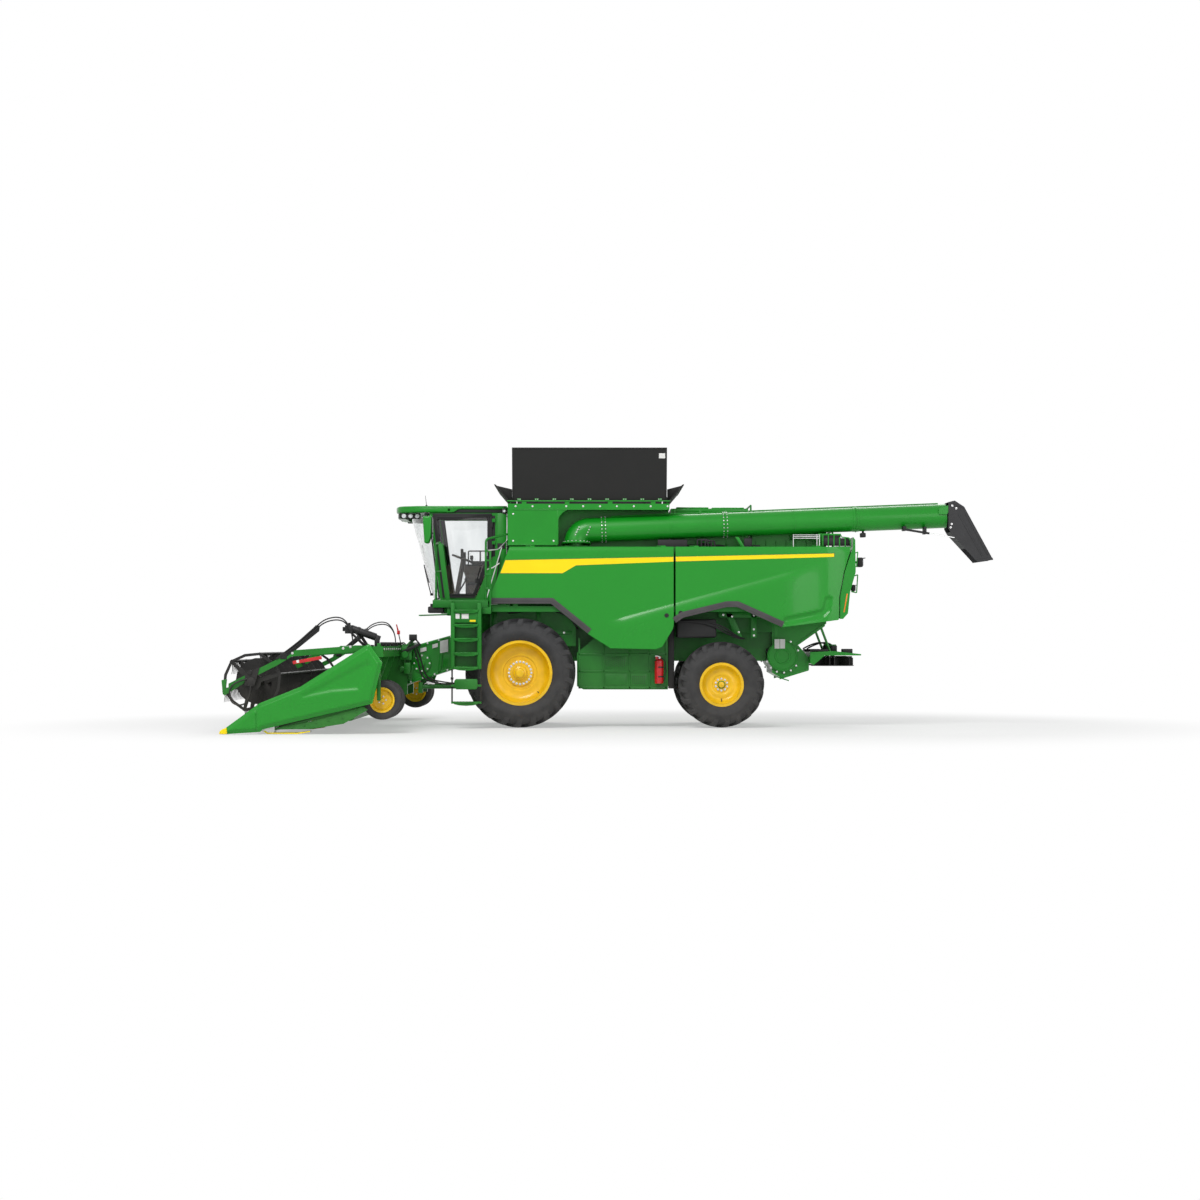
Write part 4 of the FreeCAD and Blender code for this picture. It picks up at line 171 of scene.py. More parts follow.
def surface(name, colour, rough, tone=0.08, tone_scale=2.0, grain=400.0, depth=0.0004, metal=0.0, dust=0.12,
        dust_top=1.4, coat=0.0, spec=0.3, slot=None):
    """A finish whose tone, gloss and fine relief vary, with a film of dust low on the machine."""
    material = bpy.data.materials.new(name)
    finish_slots[material.name] = slot or name
    material.use_nodes = True
    tree = material.node_tree
    add, link = tree.nodes.new, tree.links.new
    shader = tree.nodes["Principled BSDF"]
    put(shader, Metallic=metal, Specular_IOR_Level=spec, Coat_Weight=coat, Coat_Roughness=0.06)
    where = add("ShaderNodeTexCoord").outputs["Object"]
    cloud = add("ShaderNodeTexNoise")
    put(cloud, Scale=tone_scale, Detail=5.0)
    link(where, cloud.inputs["Vector"])
    tones = add("ShaderNodeValToRGB")
    tones.color_ramp.elements[0].position = 0.3
    tones.color_ramp.elements[1].position = 0.7
    tones.color_ramp.elements[0].color = (*[c * (1 - tone) for c in colour], 1)
    tones.color_ramp.elements[1].color = (*[min(1, c * (1 + tone)) for c in colour], 1)
    link(cloud.outputs["Fac"], tones.inputs["Fac"])
    split = add("ShaderNodeSeparateXYZ")
    link(where, split.inputs[0])
    low = add("ShaderNodeMapRange")
    put(low, From_Min=0.0, From_Max=dust_top, To_Min=dust, To_Max=0.0)
    link(split.outputs["Z"], low.inputs["Value"])
    patch = add("ShaderNodeMath")
    patch.operation = "MULTIPLY"
    link(low.outputs[0], patch.inputs[0])
    link(cloud.outputs["Fac"], patch.inputs[1])
    dusty = add("ShaderNodeMix")
    dusty.data_type = "RGBA"
    put(dusty, B=(0.3, 0.26, 0.19, 1))
    link(patch.outputs[0], dusty.inputs["Factor"])
    link(tones.outputs["Color"], dusty.inputs["A"])
    link(dusty.outputs["Result"], shader.inputs["Base Color"])
    gloss = add("ShaderNodeMapRange")
    put(gloss, To_Min=max(0.03, rough - 0.06), To_Max=rough + 0.08)
    link(cloud.outputs["Fac"], gloss.inputs["Value"])
    link(gloss.outputs[0], shader.inputs["Roughness"])
    fine = add("ShaderNodeTexNoise")
    put(fine, Scale=grain, Detail=3.0)
    link(where, fine.inputs["Vector"])
    relief = add("ShaderNodeBump")
    put(relief, Strength=0.6, Distance=depth)
    link(fine.outputs["Fac"], relief.inputs["Height"])
    link(relief.outputs["Normal"], shader.inputs["Normal"])
    return material


tyre_rubber = surface("tyre_rubber", (0.034, 0.034, 0.036), 0.68, tone=0.18, tone_scale=6, grain=260,
    depth=0.0008, dust=0.09, dust_top=1.9)


def open_mesh():
    """Opens the active piece's mesh with all of it selected."""
    bpy.ops.object.mode_set(mode="EDIT")
    bpy.ops.mesh.select_all(action="SELECT")


def close_mesh(outward=True):
    """Turns every face outwards, unless told not to, and leaves the mesh."""
    if outward:
        bpy.ops.mesh.select_all(action="SELECT")
        bpy.ops.mesh.normals_make_consistent(inside=False)
    bpy.ops.object.mode_set(mode="OBJECT")


def round_edges(piece, width, segments=2, limit=30):
    """Rounds every edge sharper than the limit."""
    alone(piece)
    edge = piece.modifiers.new("edges", "BEVEL")
    edge.width, edge.segments = width, segments
    edge.limit_method = "ANGLE"
    edge.angle_limit = math.radians(limit)
    bpy.ops.object.modifier_apply(modifier=edge.name)


def settled(piece, width=0, segments=2, limit=30):
    """Puts a fresh primitive's place into its mesh, and notes how its edges are to be rounded."""
    piece.data.transform(piece.matrix_basis)
    piece.matrix_basis = Matrix.Identity(4)
    if width:
        piece["edges"] = (round(width, 5), segments, limit)
    return piece


def merged(pieces):
    """Several pieces made one mesh by the join operator."""
    if len(pieces) > 1:
        bpy.ops.object.select_all(action="DESELECT")
        for piece in pieces:
            piece.select_set(True)
        bpy.context.view_layer.objects.active = pieces[0]
        bpy.ops.object.join()
    return pieces[0]


def joined(pieces):
    """Several pieces as one mesh, those with like edges rounded together first."""
    groups = {}
    for piece in pieces:
        groups.setdefault(tuple(piece.get("edges", ())), []).append(piece)
    done = []
    for edges, group in groups.items():
        piece = merged(group)
        if edges:
            del piece["edges"]
            round_edges(piece, edges[0], int(edges[1]), edges[2])
        done.append(piece)
    return merged(done)


def copied(piece, matrix):
    """A copy with its own mesh, moved by a matrix."""
    twin = piece.copy()
    twin.data = piece.data.copy()
    scene.collection.objects.link(twin)
    twin.data.transform(matrix)
    if matrix.determinant() < 0:
        twin.data.flip_normals()
    return twin


def fit(pieces, name, body, material, angle=35, replaces=(), slot=None):
    """Joins a finished piece, names and smooths it, gives it its finish and hangs it on its body."""
    piece = joined(pieces if isinstance(pieces, list) else [pieces])
    alone(piece)
    piece.name = name
    piece.data.name = name
    bpy.ops.object.shade_smooth_by_angle(angle=math.radians(angle))
    piece.data.materials.clear()
    piece.data.materials.append(material)
    slot = slot or finish_slots[material.name]
    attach(piece, body)
    if replaces:
        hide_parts(*replaces)
    return piece


def turned(section, steps):
    """A ring about the Y axis through the origin: a section of (radius, y) spun once round."""
    bpy.ops.mesh.primitive_circle_add(vertices=len(section), radius=1, fill_type="NOTHING")
    piece = bpy.context.object
    for vertex, (radius, y) in zip(piece.data.vertices, section):
        vertex.co = (radius, y, 0)
    open_mesh()
    bpy.ops.mesh.spin(steps=steps, angle=2 * math.pi, center=(0, 0, 0), axis=(0, 1, 0))
    bpy.ops.mesh.select_all(action="SELECT")
    bpy.ops.mesh.remove_doubles(threshold=0.0001)
    close_mesh()
    return piece


def carcass_section(radius, width, rim_radius, crown):
    """The tyre's closed section: bead, bulging sidewall with moulded ribs, and a rounded tread."""
    half = width / 2
    wall = [(0.0, 0.62), (0.03, 0.7), (0.06, 0.72), (0.07, 0.76), (0.1, 0.8), (0.2, 0.9), (0.34, 0.975),
        (0.46, 1.0), (0.58, 0.995), (0.6, 0.975), (0.63, 0.97), (0.72, 0.93), (0.82, 0.87), (0.88, 0.84),
        (0.94, 0.74), (0.975, 0.55), (1.0, 0.22)]
    top = radius - crown
    outer = [(rim_radius + (top - rim_radius) * a, half * b) for a, b in wall]
    inner = [(rim_radius + 0.01, half * 0.56), (rim_radius + 0.1, half * 0.7), (top - 0.06, half * 0.66),
        (top - 0.04, half * 0.2)]
    side = outer + [(r, -y) for r, y in reversed(outer)]
    return side + [(r, -y) for r, y in inner] + list(reversed(inner))


def chevron_bar(radius, width, crown, lead, thick):
    """One tread bar: from just over the middle line back over the shoulder, tapered to its top."""
    half = width / 2
    bpy.ops.mesh.primitive_cube_add(size=1)
    bar = bpy.context.object
    open_mesh()
    bpy.ops.mesh.subdivide(number_cuts=6)
    close_mesh(outward=False)
    for vertex in bar.data.vertices:
        u, v, w = vertex.co.y + 0.5, vertex.co.x, vertex.co.z + 0.5
        y = half * (-0.06 + 1.0 * u)
        drop = crown * (0.12 + 0.5 * u ** 2.2) if u < 0.84 else crown * (0.46 + (u - 0.84) * 17)
        crest = radius - drop * 0.35 - max(0, u - 0.84) * crown * 5.5
        base = crest - crown * (1.5 - 0.2 * u)
        r = base + (crest - base) * w
        spread = thick * (1.0 + 0.45 * u) * (1.35 - 0.35 * w)
        angle = (lead * (u ** 0.85) + v * spread / radius)
        y = y - w * 0.012 * max(0, u - 0.5)
        vertex.co = (r * math.cos(angle), y, r * math.sin(angle))
    round_edges(bar, 0.006, 1, 50)
    return bar


def mirrored_y():
    """The matrix that turns a left-hand piece into its right-hand twin."""
    return Matrix.Scale(-1, 4, Vector((0, 1, 0)))


def tyre(radius, width, rim_radius, crown, count, lead, thick):
    """A whole tyre about the origin, its axle along Y."""
    carcass = turned(carcass_section(radius, width, rim_radius, crown), 72)
    bar = chevron_bar(radius, width, crown, lead, thick)
    pitch = 2 * math.pi / count
    bars = [carcass]
    for i in range(count):
        bars.append(copied(bar, Matrix.Rotation(-pitch * i, 4, "Y")))
        bars.append(copied(bar, Matrix.Rotation(-pitch * (i + 0.5), 4, "Y") @ mirrored_y()))
    bpy.data.objects.remove(bar)
    return joined(bars)


def middle(node):
    """The centre of a node's box."""
    low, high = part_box(node)
    return (low + high) / 2


front_low, front_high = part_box("front_left_tyre")
rear_low, rear_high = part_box("rear_left_tyre")
front_radius, rear_radius = (front_high.z - front_low.z) / 2, (rear_high.z - rear_low.z) / 2
front_tyre = tyre(front_radius, front_high.y - front_low.y, rim_radius=0.548, crown=0.052, count=22, lead=0.3,
    thick=0.062)
rear_tyre = tyre(rear_radius, rear_high.y - rear_low.y, rim_radius=0.363, crown=0.046, count=20, lead=0.32,
    thick=0.056)
for source, ends in ((front_tyre, "front"), (rear_tyre, "rear")):
    for side in ("left", "right"):
        node = f"{ends}_{side}_tyre"
        tread = copied(source, Matrix.Translation(middle(node)))
        fit(tread, f"{node}_tread", f"{ends}_{side}_wheel", tyre_rubber, 40, [node])
    bpy.data.objects.remove(source)

# ---------------------------------------------------------------- wheel centres
# Pressed and welded steel wheels in yellow enamel. A ring of bright nuts clamps each disc
# to its hub, a turned cap closes the hub, and the tyre's valve comes through the disc.
rim_yellow = surface("rim_yellow", (0.83, 0.5, 0.002), 0.34, tone=0.1, tone_scale=5, grain=180, depth=0.0003,
    dust=0.15, dust_top=1.3, coat=0.25)
bright_steel = surface("bright_steel", (0.62, 0.62, 0.62), 0.3, tone=0.12, tone_scale=14, grain=500,
    depth=0.0002, metal=0.9, dust=0.15, slot="steel")


def finish_nodes(material, *names):
    """Gives carried-over nodes their finish."""
    for name in names:
        mesh = nodes[name].data
        mesh.materials.clear()
        mesh.materials.append(material)


def rod(start, end, radius, end_radius=None, sides=20, bevel=0.0):
    """A round bar between two points, tapered where it has a second radius."""
    start, end = Vector(start), Vector(end)
    run = end - start
    bpy.ops.object.select_all(action="DESELECT")
    bpy.ops.mesh.primitive_cone_add(vertices=sides, radius1=radius, radius2=radius if end_radius is None
        else end_radius, depth=run.length, location=(start + end) / 2,
        rotation=run.to_track_quat("Z", "Y").to_euler())
    return settled(bpy.context.object, bevel, 2, 50)


def pipe(points, radius, sides=3, order=3):
    """A bent round tube on a smooth line, closed at both ends."""
    curve = bpy.data.curves.new("pipe", "CURVE")
    curve.dimensions = "3D"
    curve.bevel_depth = radius
    curve.bevel_resolution = sides
    curve.use_fill_caps = True
    line = curve.splines.new("NURBS")
    line.points.add(len(points) - 1)
    for spot, place in zip(line.points, points):
        spot.co = (*place, 1)
    line.order_u = order
    line.use_endpoint_u = True
    line.resolution_u = 8
    piece = bpy.data.objects.new("pipe", curve)
    scene.collection.objects.link(piece)
    alone(piece)
    bpy.ops.object.convert(target="MESH")
    piece = bpy.context.object
    open_mesh()
    bpy.ops.mesh.remove_doubles(threshold=0.00005)
    close_mesh()
    return piece


def bolt(place, way, width=0.024, height=0.012):
    """A hexagon bolt head on its washer, at a place, standing out along a direction."""
    place, way = Vector(place), Vector(way).normalized()
    washer = rod(place, place + way * height * 0.3, width * 0.72, sides=12)
    head = rod(place, place + way * height, width / 2, sides=6, bevel=width * 0.06)
    return joined([washer, head])


def bolts(places, way, width=0.024, height=0.012):
    """The same bolt at several places, as one piece."""
    return repeated(bolt(places[0], way, width, height), [Matrix.Translation(Vector(p) - Vector(places[0]))
            for p in places])


def repeated(piece, matrices):
    """The piece copied to each of these places, the piece itself standing at the first, as one mesh."""
    return joined([copied(piece, matrix) for matrix in matrices[1:]] + [piece])


def circle(count, radius, y=0.0, x=0.0, z=0.0, turn=0.0):
    """Evenly spaced places in a ring about an axis that runs across the machine."""
    angles = [2 * math.pi * (i + turn) / count for i in range(count)]
    return [(x + radius * math.cos(a), y, z + radius * math.sin(a)) for a in angles]


def wheel_centre(ends, side):
    """Hub cap, nuts, disc ring and valve of one wheel, on its outer face."""
    way = -1 if side == "left" else 1
    low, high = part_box(f"{ends}_{side}_rim")
    hub = (low + high) / 2
    front = ends == "front"
    face = hub.y + (0 if front else 0.09 * way)
    at = Matrix.Translation((hub.x, face, hub.z))
    if way > 0:
        at = at @ mirrored_y()
    if front:
        cap = turned([(0.0, -0.185), (0.06, -0.185), (0.075, -0.176), (0.082, -0.13), (0.1, -0.125),
                (0.118, -0.115), (0.128, -0.05), (0.165, -0.045), (0.235, -0.028), (0.243, -0.002),
                (0.1, -0.002), (0.0, -0.002)], 64)
        dish = turned([(0.3, -0.002), (0.305, -0.018), (0.33, -0.022), (0.36, -0.012), (0.45, -0.03),
                (0.5, -0.085), (0.529, -0.15), (0.529, -0.002)], 96)
        nuts = circle(20, 0.198, -0.034)
        ring = bolts(nuts, (0, -1, 0), 0.03, 0.024)
        studs = bolts([(x * 0.999, y - 0.01, z * 0.999) for x, y, z in nuts], (0, -1, 0), 0.014, 0.026)
        ring = joined([ring, studs])
        valve = pipe([(0.31, -0.02, -0.33), (0.315, -0.06, -0.335), (0.34, -0.075, -0.36),
                (0.37, -0.08, -0.38)], 0.008)
    else:
        cap = turned([(0.0, -0.075), (0.04, -0.075), (0.05, -0.068), (0.055, -0.045), (0.062, -0.03),
                (0.085, -0.026), (0.09, -0.012), (0.125, -0.01), (0.13, -0.001), (0.0, -0.001)], 48)
        dish = turned([(0.15, -0.001), (0.165, -0.014), (0.215, -0.02), (0.235, -0.01), (0.262, -0.012),
                (0.3, -0.045), (0.33, -0.11), (0.3449, -0.135), (0.3449, -0.001)], 96)
        nuts = circle(10, 0.104, -0.012, turn=0.5)
        ring = bolts(nuts, (0, -1, 0), 0.028, 0.022)
        valve = pipe([(0.0, -0.02, -0.25), (0.0, -0.055, -0.262), (0.0, -0.07, -0.285), (0.0, -0.075, -0.3)],
            0.007)
    body = f"{ends}_{side}_wheel"
    for piece, name, material, angle, slot in ((cap, "hub_cap", rim_yellow, 40, None),
            (dish, "wheel_dish", rim_yellow, 40, None), (ring, "wheel_nuts", bright_steel, 30, None),
            (valve, "wheel_valve", tyre_rubber, 50, "black_steel")):
        piece.data.transform(at)
        if at.determinant() < 0:
            piece.data.flip_normals()
        fit(piece, f"{ends}_{side}_{name}", body, material, angle, slot=slot)


for ends in ("front", "rear"):
    for side in ("left", "right"):
        wheel_centre(ends, side)
finish_nodes(rim_yellow, "front_left_rim", "front_right_rim", "rear_left_rim", "rear_right_rim")

# ---------------------------------------------------------------- painted steel and castings
# Sheet steel and plate under green enamel, satin black brackets, the grey engine block and
# bright cylinder rods. Each finish varies in tone and gloss and carries dust low down.
body_green = surface("body_green", (0.006, 0.235, 0.012), 0.33, tone=0.06, tone_scale=1.2, grain=220,
    depth=0.0002, dust=0.06, coat=0.12)
frame_green = surface("frame_green", (0.005, 0.165, 0.01), 0.4, tone=0.15, tone_scale=3, grain=160,
    depth=0.0004, dust=0.16, dust_top=1.6, coat=0.06)
separator_green = surface("separator_green", (0.004, 0.15, 0.009), 0.4, tone=0.16, tone_scale=2.5, grain=160,
    depth=0.0004, dust=0.16, dust_top=1.7, coat=0.06)
black_steel = surface("black_steel", (0.012, 0.012, 0.0125), 0.48, tone=0.2, tone_scale=6, grain=300,
    depth=0.0003, dust=0.18)
black_plastic = surface("black_plastic", (0.016, 0.016, 0.0165), 0.6, tone=0.15, tone_scale=8, grain=600,
    depth=0.0005, dust=0.15)
cover_black = surface("cover_black", (0.011, 0.011, 0.0105), 0.66, tone=0.15, tone_scale=2, grain=300,
    depth=0.0005, dust=0.0)
hood_rubber = surface("hood_rubber", (0.036, 0.036, 0.038), 0.66, tone=0.12, tone_scale=4, grain=260,
    depth=0.0008, dust=0.0)
belt_rubber = surface("belt_rubber", (0.035, 0.035, 0.036), 0.75, tone=0.2, tone_scale=5, grain=220,
    depth=0.001, dust=0.4, dust_top=1.6)
engine_grey = surface("engine_grey", (0.08, 0.085, 0.082), 0.55, tone=0.2, tone_scale=5, grain=90,
    depth=0.0015, dust=0.1, dust_top=3.5)
chrome = surface("rod_chrome", (0.8, 0.8, 0.8), 0.12, tone=0.05, tone_scale=8, grain=400, depth=0.0001,
    metal=1.0, dust=0.05)
red_enamel = surface("extinguisher_red", (0.52, 0.01, 0.014), 0.25, tone=0.08, tone_scale=8, grain=300,
    depth=0.0002, dust=0.08, coat=0.4)
finish_nodes(frame_green, "front_axle", "chassis_frame", "auger_turret", "rear_axle", "left_knuckle",
    "right_knuckle", "platform", "ladder", "header_frame", "reel_arms")
finish_nodes(body_green, "feeder_house", "grain_tank", "unloading_auger", "engine_deck", "rear_hood",
    "chopper_housing", "header_dividers", "cab_frame", "cab_roof", "mirrors", "left_front_side_panel",
    "left_rear_side_panel", "right_front_side_panel", "right_rear_side_panel")
finish_nodes(separator_green, "separator_housing")
finish_nodes(black_steel, "lift_cylinder_barrels", "left_spreader_rotor", "right_spreader_rotor", "cab_door",
    "reel_carriers")
finish_nodes(black_plastic, "reel", "spreader_deck", "driver_seat")
finish_nodes(cover_black, "left_tank_cover", "right_tank_cover", "front_tank_cover", "rear_tank_cover")
finish_nodes(hood_rubber, "auger_spout")
finish_nodes(belt_rubber, "draper_belts")
finish_nodes(engine_grey, "engine")
finish_nodes(chrome, "lift_cylinder_rods")
finish_nodes(bright_steel, "cutterbar")
finish_nodes(red_enamel, "fire_extinguisher")
finish_nodes(tyre_rubber, "left_gauge_wheels", "right_gauge_wheels")

# ---------------------------------------------------------------- side panels
# Large moulded doors in glossy green, hung from the top rail on each side. A crease sweeps
# up each side, a short groove sits low at the back, and the outer face rolls in at the top.
panel_green = surface("panel_green", (0.006, 0.255, 0.012), 0.26, tone=0.02, tone_scale=0.5, grain=120,
    depth=0.0001, dust=0.03, coat=0.2)
trim_grey = surface("trim_grey", (0.055, 0.052, 0.055), 0.58, tone=0.12, tone_scale=4, grain=420,
    depth=0.0005, dust=0.2, dust_top=2.2, slot="black_plastic")
stripe_yellow = surface("stripe_yellow", (0.92, 0.7, 0.004), 0.3, tone=0.03, tone_scale=2, grain=300,
    depth=0.0001, dust=0.0, slot="rim_yellow")
panel_low, panel_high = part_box("left_front_side_panel")
rear_low, rear_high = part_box("left_rear_side_panel")
panel_top = panel_high.z - 0.022
panel_face = -panel_low.y
panel_back = -panel_high.y + 0.032
seam = (panel_high.x + rear_low.x) / 2
groove_line = [(2.96, 1.9), (3.3, 1.965), (3.6, 2.03), (3.665, 2.1), (3.7, 2.26)]


def block(corner, opposite, bevel=0.004, segments=2):
    """A box between two opposite corners, with rounded edges."""
    low, high = Vector(map(min, corner, opposite)), Vector(map(max, corner, opposite))
    bpy.ops.object.select_all(action="DESELECT")
    bpy.ops.mesh.primitive_cube_add(size=1, location=(low + high) / 2)
    bpy.context.object.scale = high - low
    return settled(bpy.context.object, bevel, segments)


def slab(outline, near, far, bevel=0.003, segments=2, plane="XZ"):
    """A flat plate cut to an outline, its thickness between two distances."""
    low, high = sorted((near, far))
    across, up, through = {"XZ": (0, 2, 1), "XY": (0, 1, 2), "YZ": (1, 2, 0)}[plane]
    bpy.ops.object.select_all(action="DESELECT")
    bpy.ops.mesh.primitive_circle_add(vertices=len(outline), radius=1, fill_type="NGON")
    piece = bpy.context.object
    for vertex, (a, b) in zip(piece.data.vertices, outline):
        vertex.co[across], vertex.co[up], vertex.co[through] = a, b, low
    way = [0, 0, 0]
    way[through] = high - low
    open_mesh()
    bpy.ops.mesh.extrude_region_move(TRANSFORM_OT_translate={"value": way})
    close_mesh()
    return settled(piece, bevel, segments)


def off_line(x, z, points):
    """How far a point is from a run of straight pieces."""
    best = 9.0
    here = Vector((x, z))
    for a, b in zip(points, points[1:]):
        a, b = Vector(a), Vector(b)
        t = max(0, min(1, (here - a).dot(b - a) / (b - a).length_squared))
        best = min(best, (here - (a + (b - a) * t)).length)
    return best


def eased(t):
    """A smooth step from nought to one."""
    t = max(0.0, min(1.0, t))
    return t * t * (3 - 2 * t)


def panel_depth(x, z):
    """How far in from the outermost plane the moulded face lies."""
    crease = 1.921 + (x + 0.129) * 0.2712
    fade = eased((x + 0.35) / 0.5) * (1 - eased((x - 2.9) / 0.75))
    under = crease - z
    swell = 0.0 if under < 0 else 1 - max(0.0, 1 - under / 0.55) ** 6
    depth = 0.006 - 0.046 * swell * fade
    depth += 0.016 * eased((z - panel_top + 0.115) / 0.115) ** 1.5
    depth += 0.03 * eased((x - 3.66) / 0.36)
    near = off_line(x, z, groove_line)
    depth += 0.04 * max(0.0, 1 - (near / 0.075) ** 2)
    return min(depth, 0.036)


def pressed_sheet(outline, face, back, depth_at, fine=0.021):
    """A moulding with a pressed outer face on the left, trimmed to its outline, flat behind."""
    xs = [p[0] for p in outline]
    zs = [p[1] for p in outline]
    wide, high = max(xs) - min(xs) + 0.1, max(zs) - min(zs) + 0.1
    bpy.ops.object.select_all(action="DESELECT")
    bpy.ops.mesh.primitive_grid_add(x_subdivisions=int(wide / fine), y_subdivisions=int(high / fine), size=1)
    sheet = bpy.context.object
    for vertex in sheet.data.vertices:
        x = min(xs) - 0.05 + (vertex.co.x + 0.5) * wide
        z = min(zs) - 0.05 + (vertex.co.y + 0.5) * high
        vertex.co = (x, depth_at(x, z) - face, z)
    open_mesh()
    bpy.ops.mesh.extrude_region_move(TRANSFORM_OT_translate={"value": (0, 0.5, 0)})
    close_mesh(outward=False)
    for vertex in sheet.data.vertices:
        if vertex.select:
            vertex.co.y = -back
    open_mesh()
    close_mesh()
    cutter = slab(outline, -face - 0.1, -back + 0.1, 0)
    alone(sheet)
    trim = sheet.modifiers.new("trim", "BOOLEAN")
    trim.operation = "INTERSECT"
    trim.solver = "EXACT"
    trim.object = cutter
    bpy.ops.object.modifier_apply(modifier=trim.name)
    bpy.data.objects.remove(cutter)
    return sheet


def shifted(points, distance):
    """A run of points moved sideways, up from the edge that it follows."""
    moved = []
    for i, here in enumerate(points):
        here = Vector(here)
        ways = []
        if i:
            ways.append((here - Vector(points[i - 1])).normalized())
        if i + 1 < len(points):
            ways.append((Vector(points[i + 1]) - here).normalized())
        way = sum(ways, Vector((0, 0))).normalized()
        side = Vector((-way.y, way.x))
        scale = distance / max(0.4, side.dot(Vector((-ways[0].y, ways[0].x))))
        moved.append(tuple(here + side * scale))
    return moved


front_shape = [(-1.959, panel_top), (-2.295, 2.356), (-2.295, 2.197), (-1.225, 2.197), (-0.568, 1.664),
    (-0.168, 1.412), (0.629, 1.395), (0.745, 1.437), (0.938, 1.757), (panel_high.x, 1.84),
    (panel_high.x, panel_top)]
rear_shape = [(rear_low.x, panel_top), (rear_low.x, 1.86), (1.124, 1.954), (1.897, 2.14), (2.075, 2.14),
    (2.868, 1.783), (3.877, 1.913), (3.889, 1.941), (3.895, 2.328), (3.977, 2.764), (4.083, 3.112),
    (rear_high.x - 0.002, panel_top)]
front_arch = [(-2.29, 2.199), (-1.225, 2.199), (-0.575, 1.672)]
rear_arch = [(0.99, 1.862), (1.124, 1.954), (1.897, 2.14), (2.075, 2.14), (2.868, 1.785)]
block_stripe = [(-2.035, 2.973), (-2.125, 2.743), (-1.02, 2.743), (-0.783, 2.882), (seam - 0.02, 2.949),
    (seam - 0.02, 3.032)]
rear_stripe = [(seam + 0.02, 2.951), (3.798, 3.034), (3.804, 3.094), (seam + 0.02, 3.034)]
latches = [(0.826, 1.992), (1.074, 2.038)]


def grown(outline, distance):
    """An outline pushed out all round from its middle."""
    centre = sum((Vector(p) for p in outline), Vector((0, 0))) / len(outline)
    out = []
    for p in outline:
        q = Vector(p)
        out.append((q.x + math.copysign(distance, q.x - centre.x),
                q.y + math.copysign(distance, q.y - centre.y)))
    return out


def panel_set(side):
    """Both panels of one side with trims, stripe, latches and edge seals."""
    way = mirrored_y() if side == "right" else Matrix.Identity(4)
    made = []
    for ends, shape, arch, stripe, latch in (("front", front_shape, front_arch, block_stripe, latches[0]),
            ("rear", rear_shape, rear_arch, rear_stripe, latches[1])):
        node = f"{side}_{ends}_side_panel"
        body = f"{side}_{ends}_panel"
        made.append((pressed_sheet(shape, panel_face, panel_back, panel_depth), f"{node}_moulding", body,
                panel_green, 25, [node]))
        lip = arch + list(reversed(shifted(arch, 0.105)))
        edge = arch + list(reversed(shifted(arch, 0.03)))
        proud = -panel_face - (0.008 if ends == "front" else 0.056)
        band = joined([slab(lip, proud, -panel_face + 0.03, 0.004),
                slab(edge, proud - 0.01, -panel_back - 0.001, 0.006)])
        made.append((band, f"{node}_arch_trim", body, trim_grey, 30, []))
        face = -panel_face + panel_depth(0.4 if ends == "front" else 2.0, 3.0)
        line = slab(grown(stripe, 0.006), face - 0.001, face + 0.004, 0)
        made.append((line, f"{node}_stripe_edge", body, trim_grey, 30, []))
        colour = slab(stripe, face - 0.0022, face + 0.004, 0)
        made.append((colour, f"{node}_stripe", body, stripe_yellow, 30, []))
        x, z = latch
        y = -panel_face + panel_depth(x, z) - 0.001
        ring = turned([(0.02, -0.004), (0.036, -0.004), (0.04, 0.0), (0.04, 0.01), (0.018, 0.01),
                (0.018, 0.0)], 24)
        ring.data.transform(Matrix.Translation((x, y, z)))
        core = rod((x, y + 0.012, z), (x, y - 0.001, z), 0.019, sides=24, bevel=0.002)
        made.append((joined([ring, core]), f"{node}_latch", body, black_plastic, 30, []))
        ribs = []
        for at in ((-1.3, -0.4, 0.5) if ends == "front" else (1.5, 2.5, 3.4)):
            ribs.append(block((at, -panel_back, 2.3), (at + 0.06, -panel_back + 0.018, panel_top - 0.03),
                    0.004))
        for at in ((-1.5965, 0.7315) if ends == "front" else (1.3165, 3.4835)):
            ribs += [rod((at, panel_high.y - 0.012, panel_top + 0.01),
                    (at + 0.08, panel_high.y - 0.012, panel_top + 0.01), 0.0115, sides=20, bevel=0.001),
                block((at, -panel_back - 0.015, panel_top - 0.025),
                    (at + 0.08, panel_high.y - 0.012, panel_top + 0.012), 0.002, 1)]
        made.append((joined(ribs), f"{node}_stiffeners", body, panel_green, 30, []))
    for piece, name, body, material, angle, replaced in made:
        piece.data.transform(way)
        if side == "right":
            piece.data.flip_normals()
        fit(piece, name, body, material, angle, replaced)


panel_set("left")
panel_set("right")

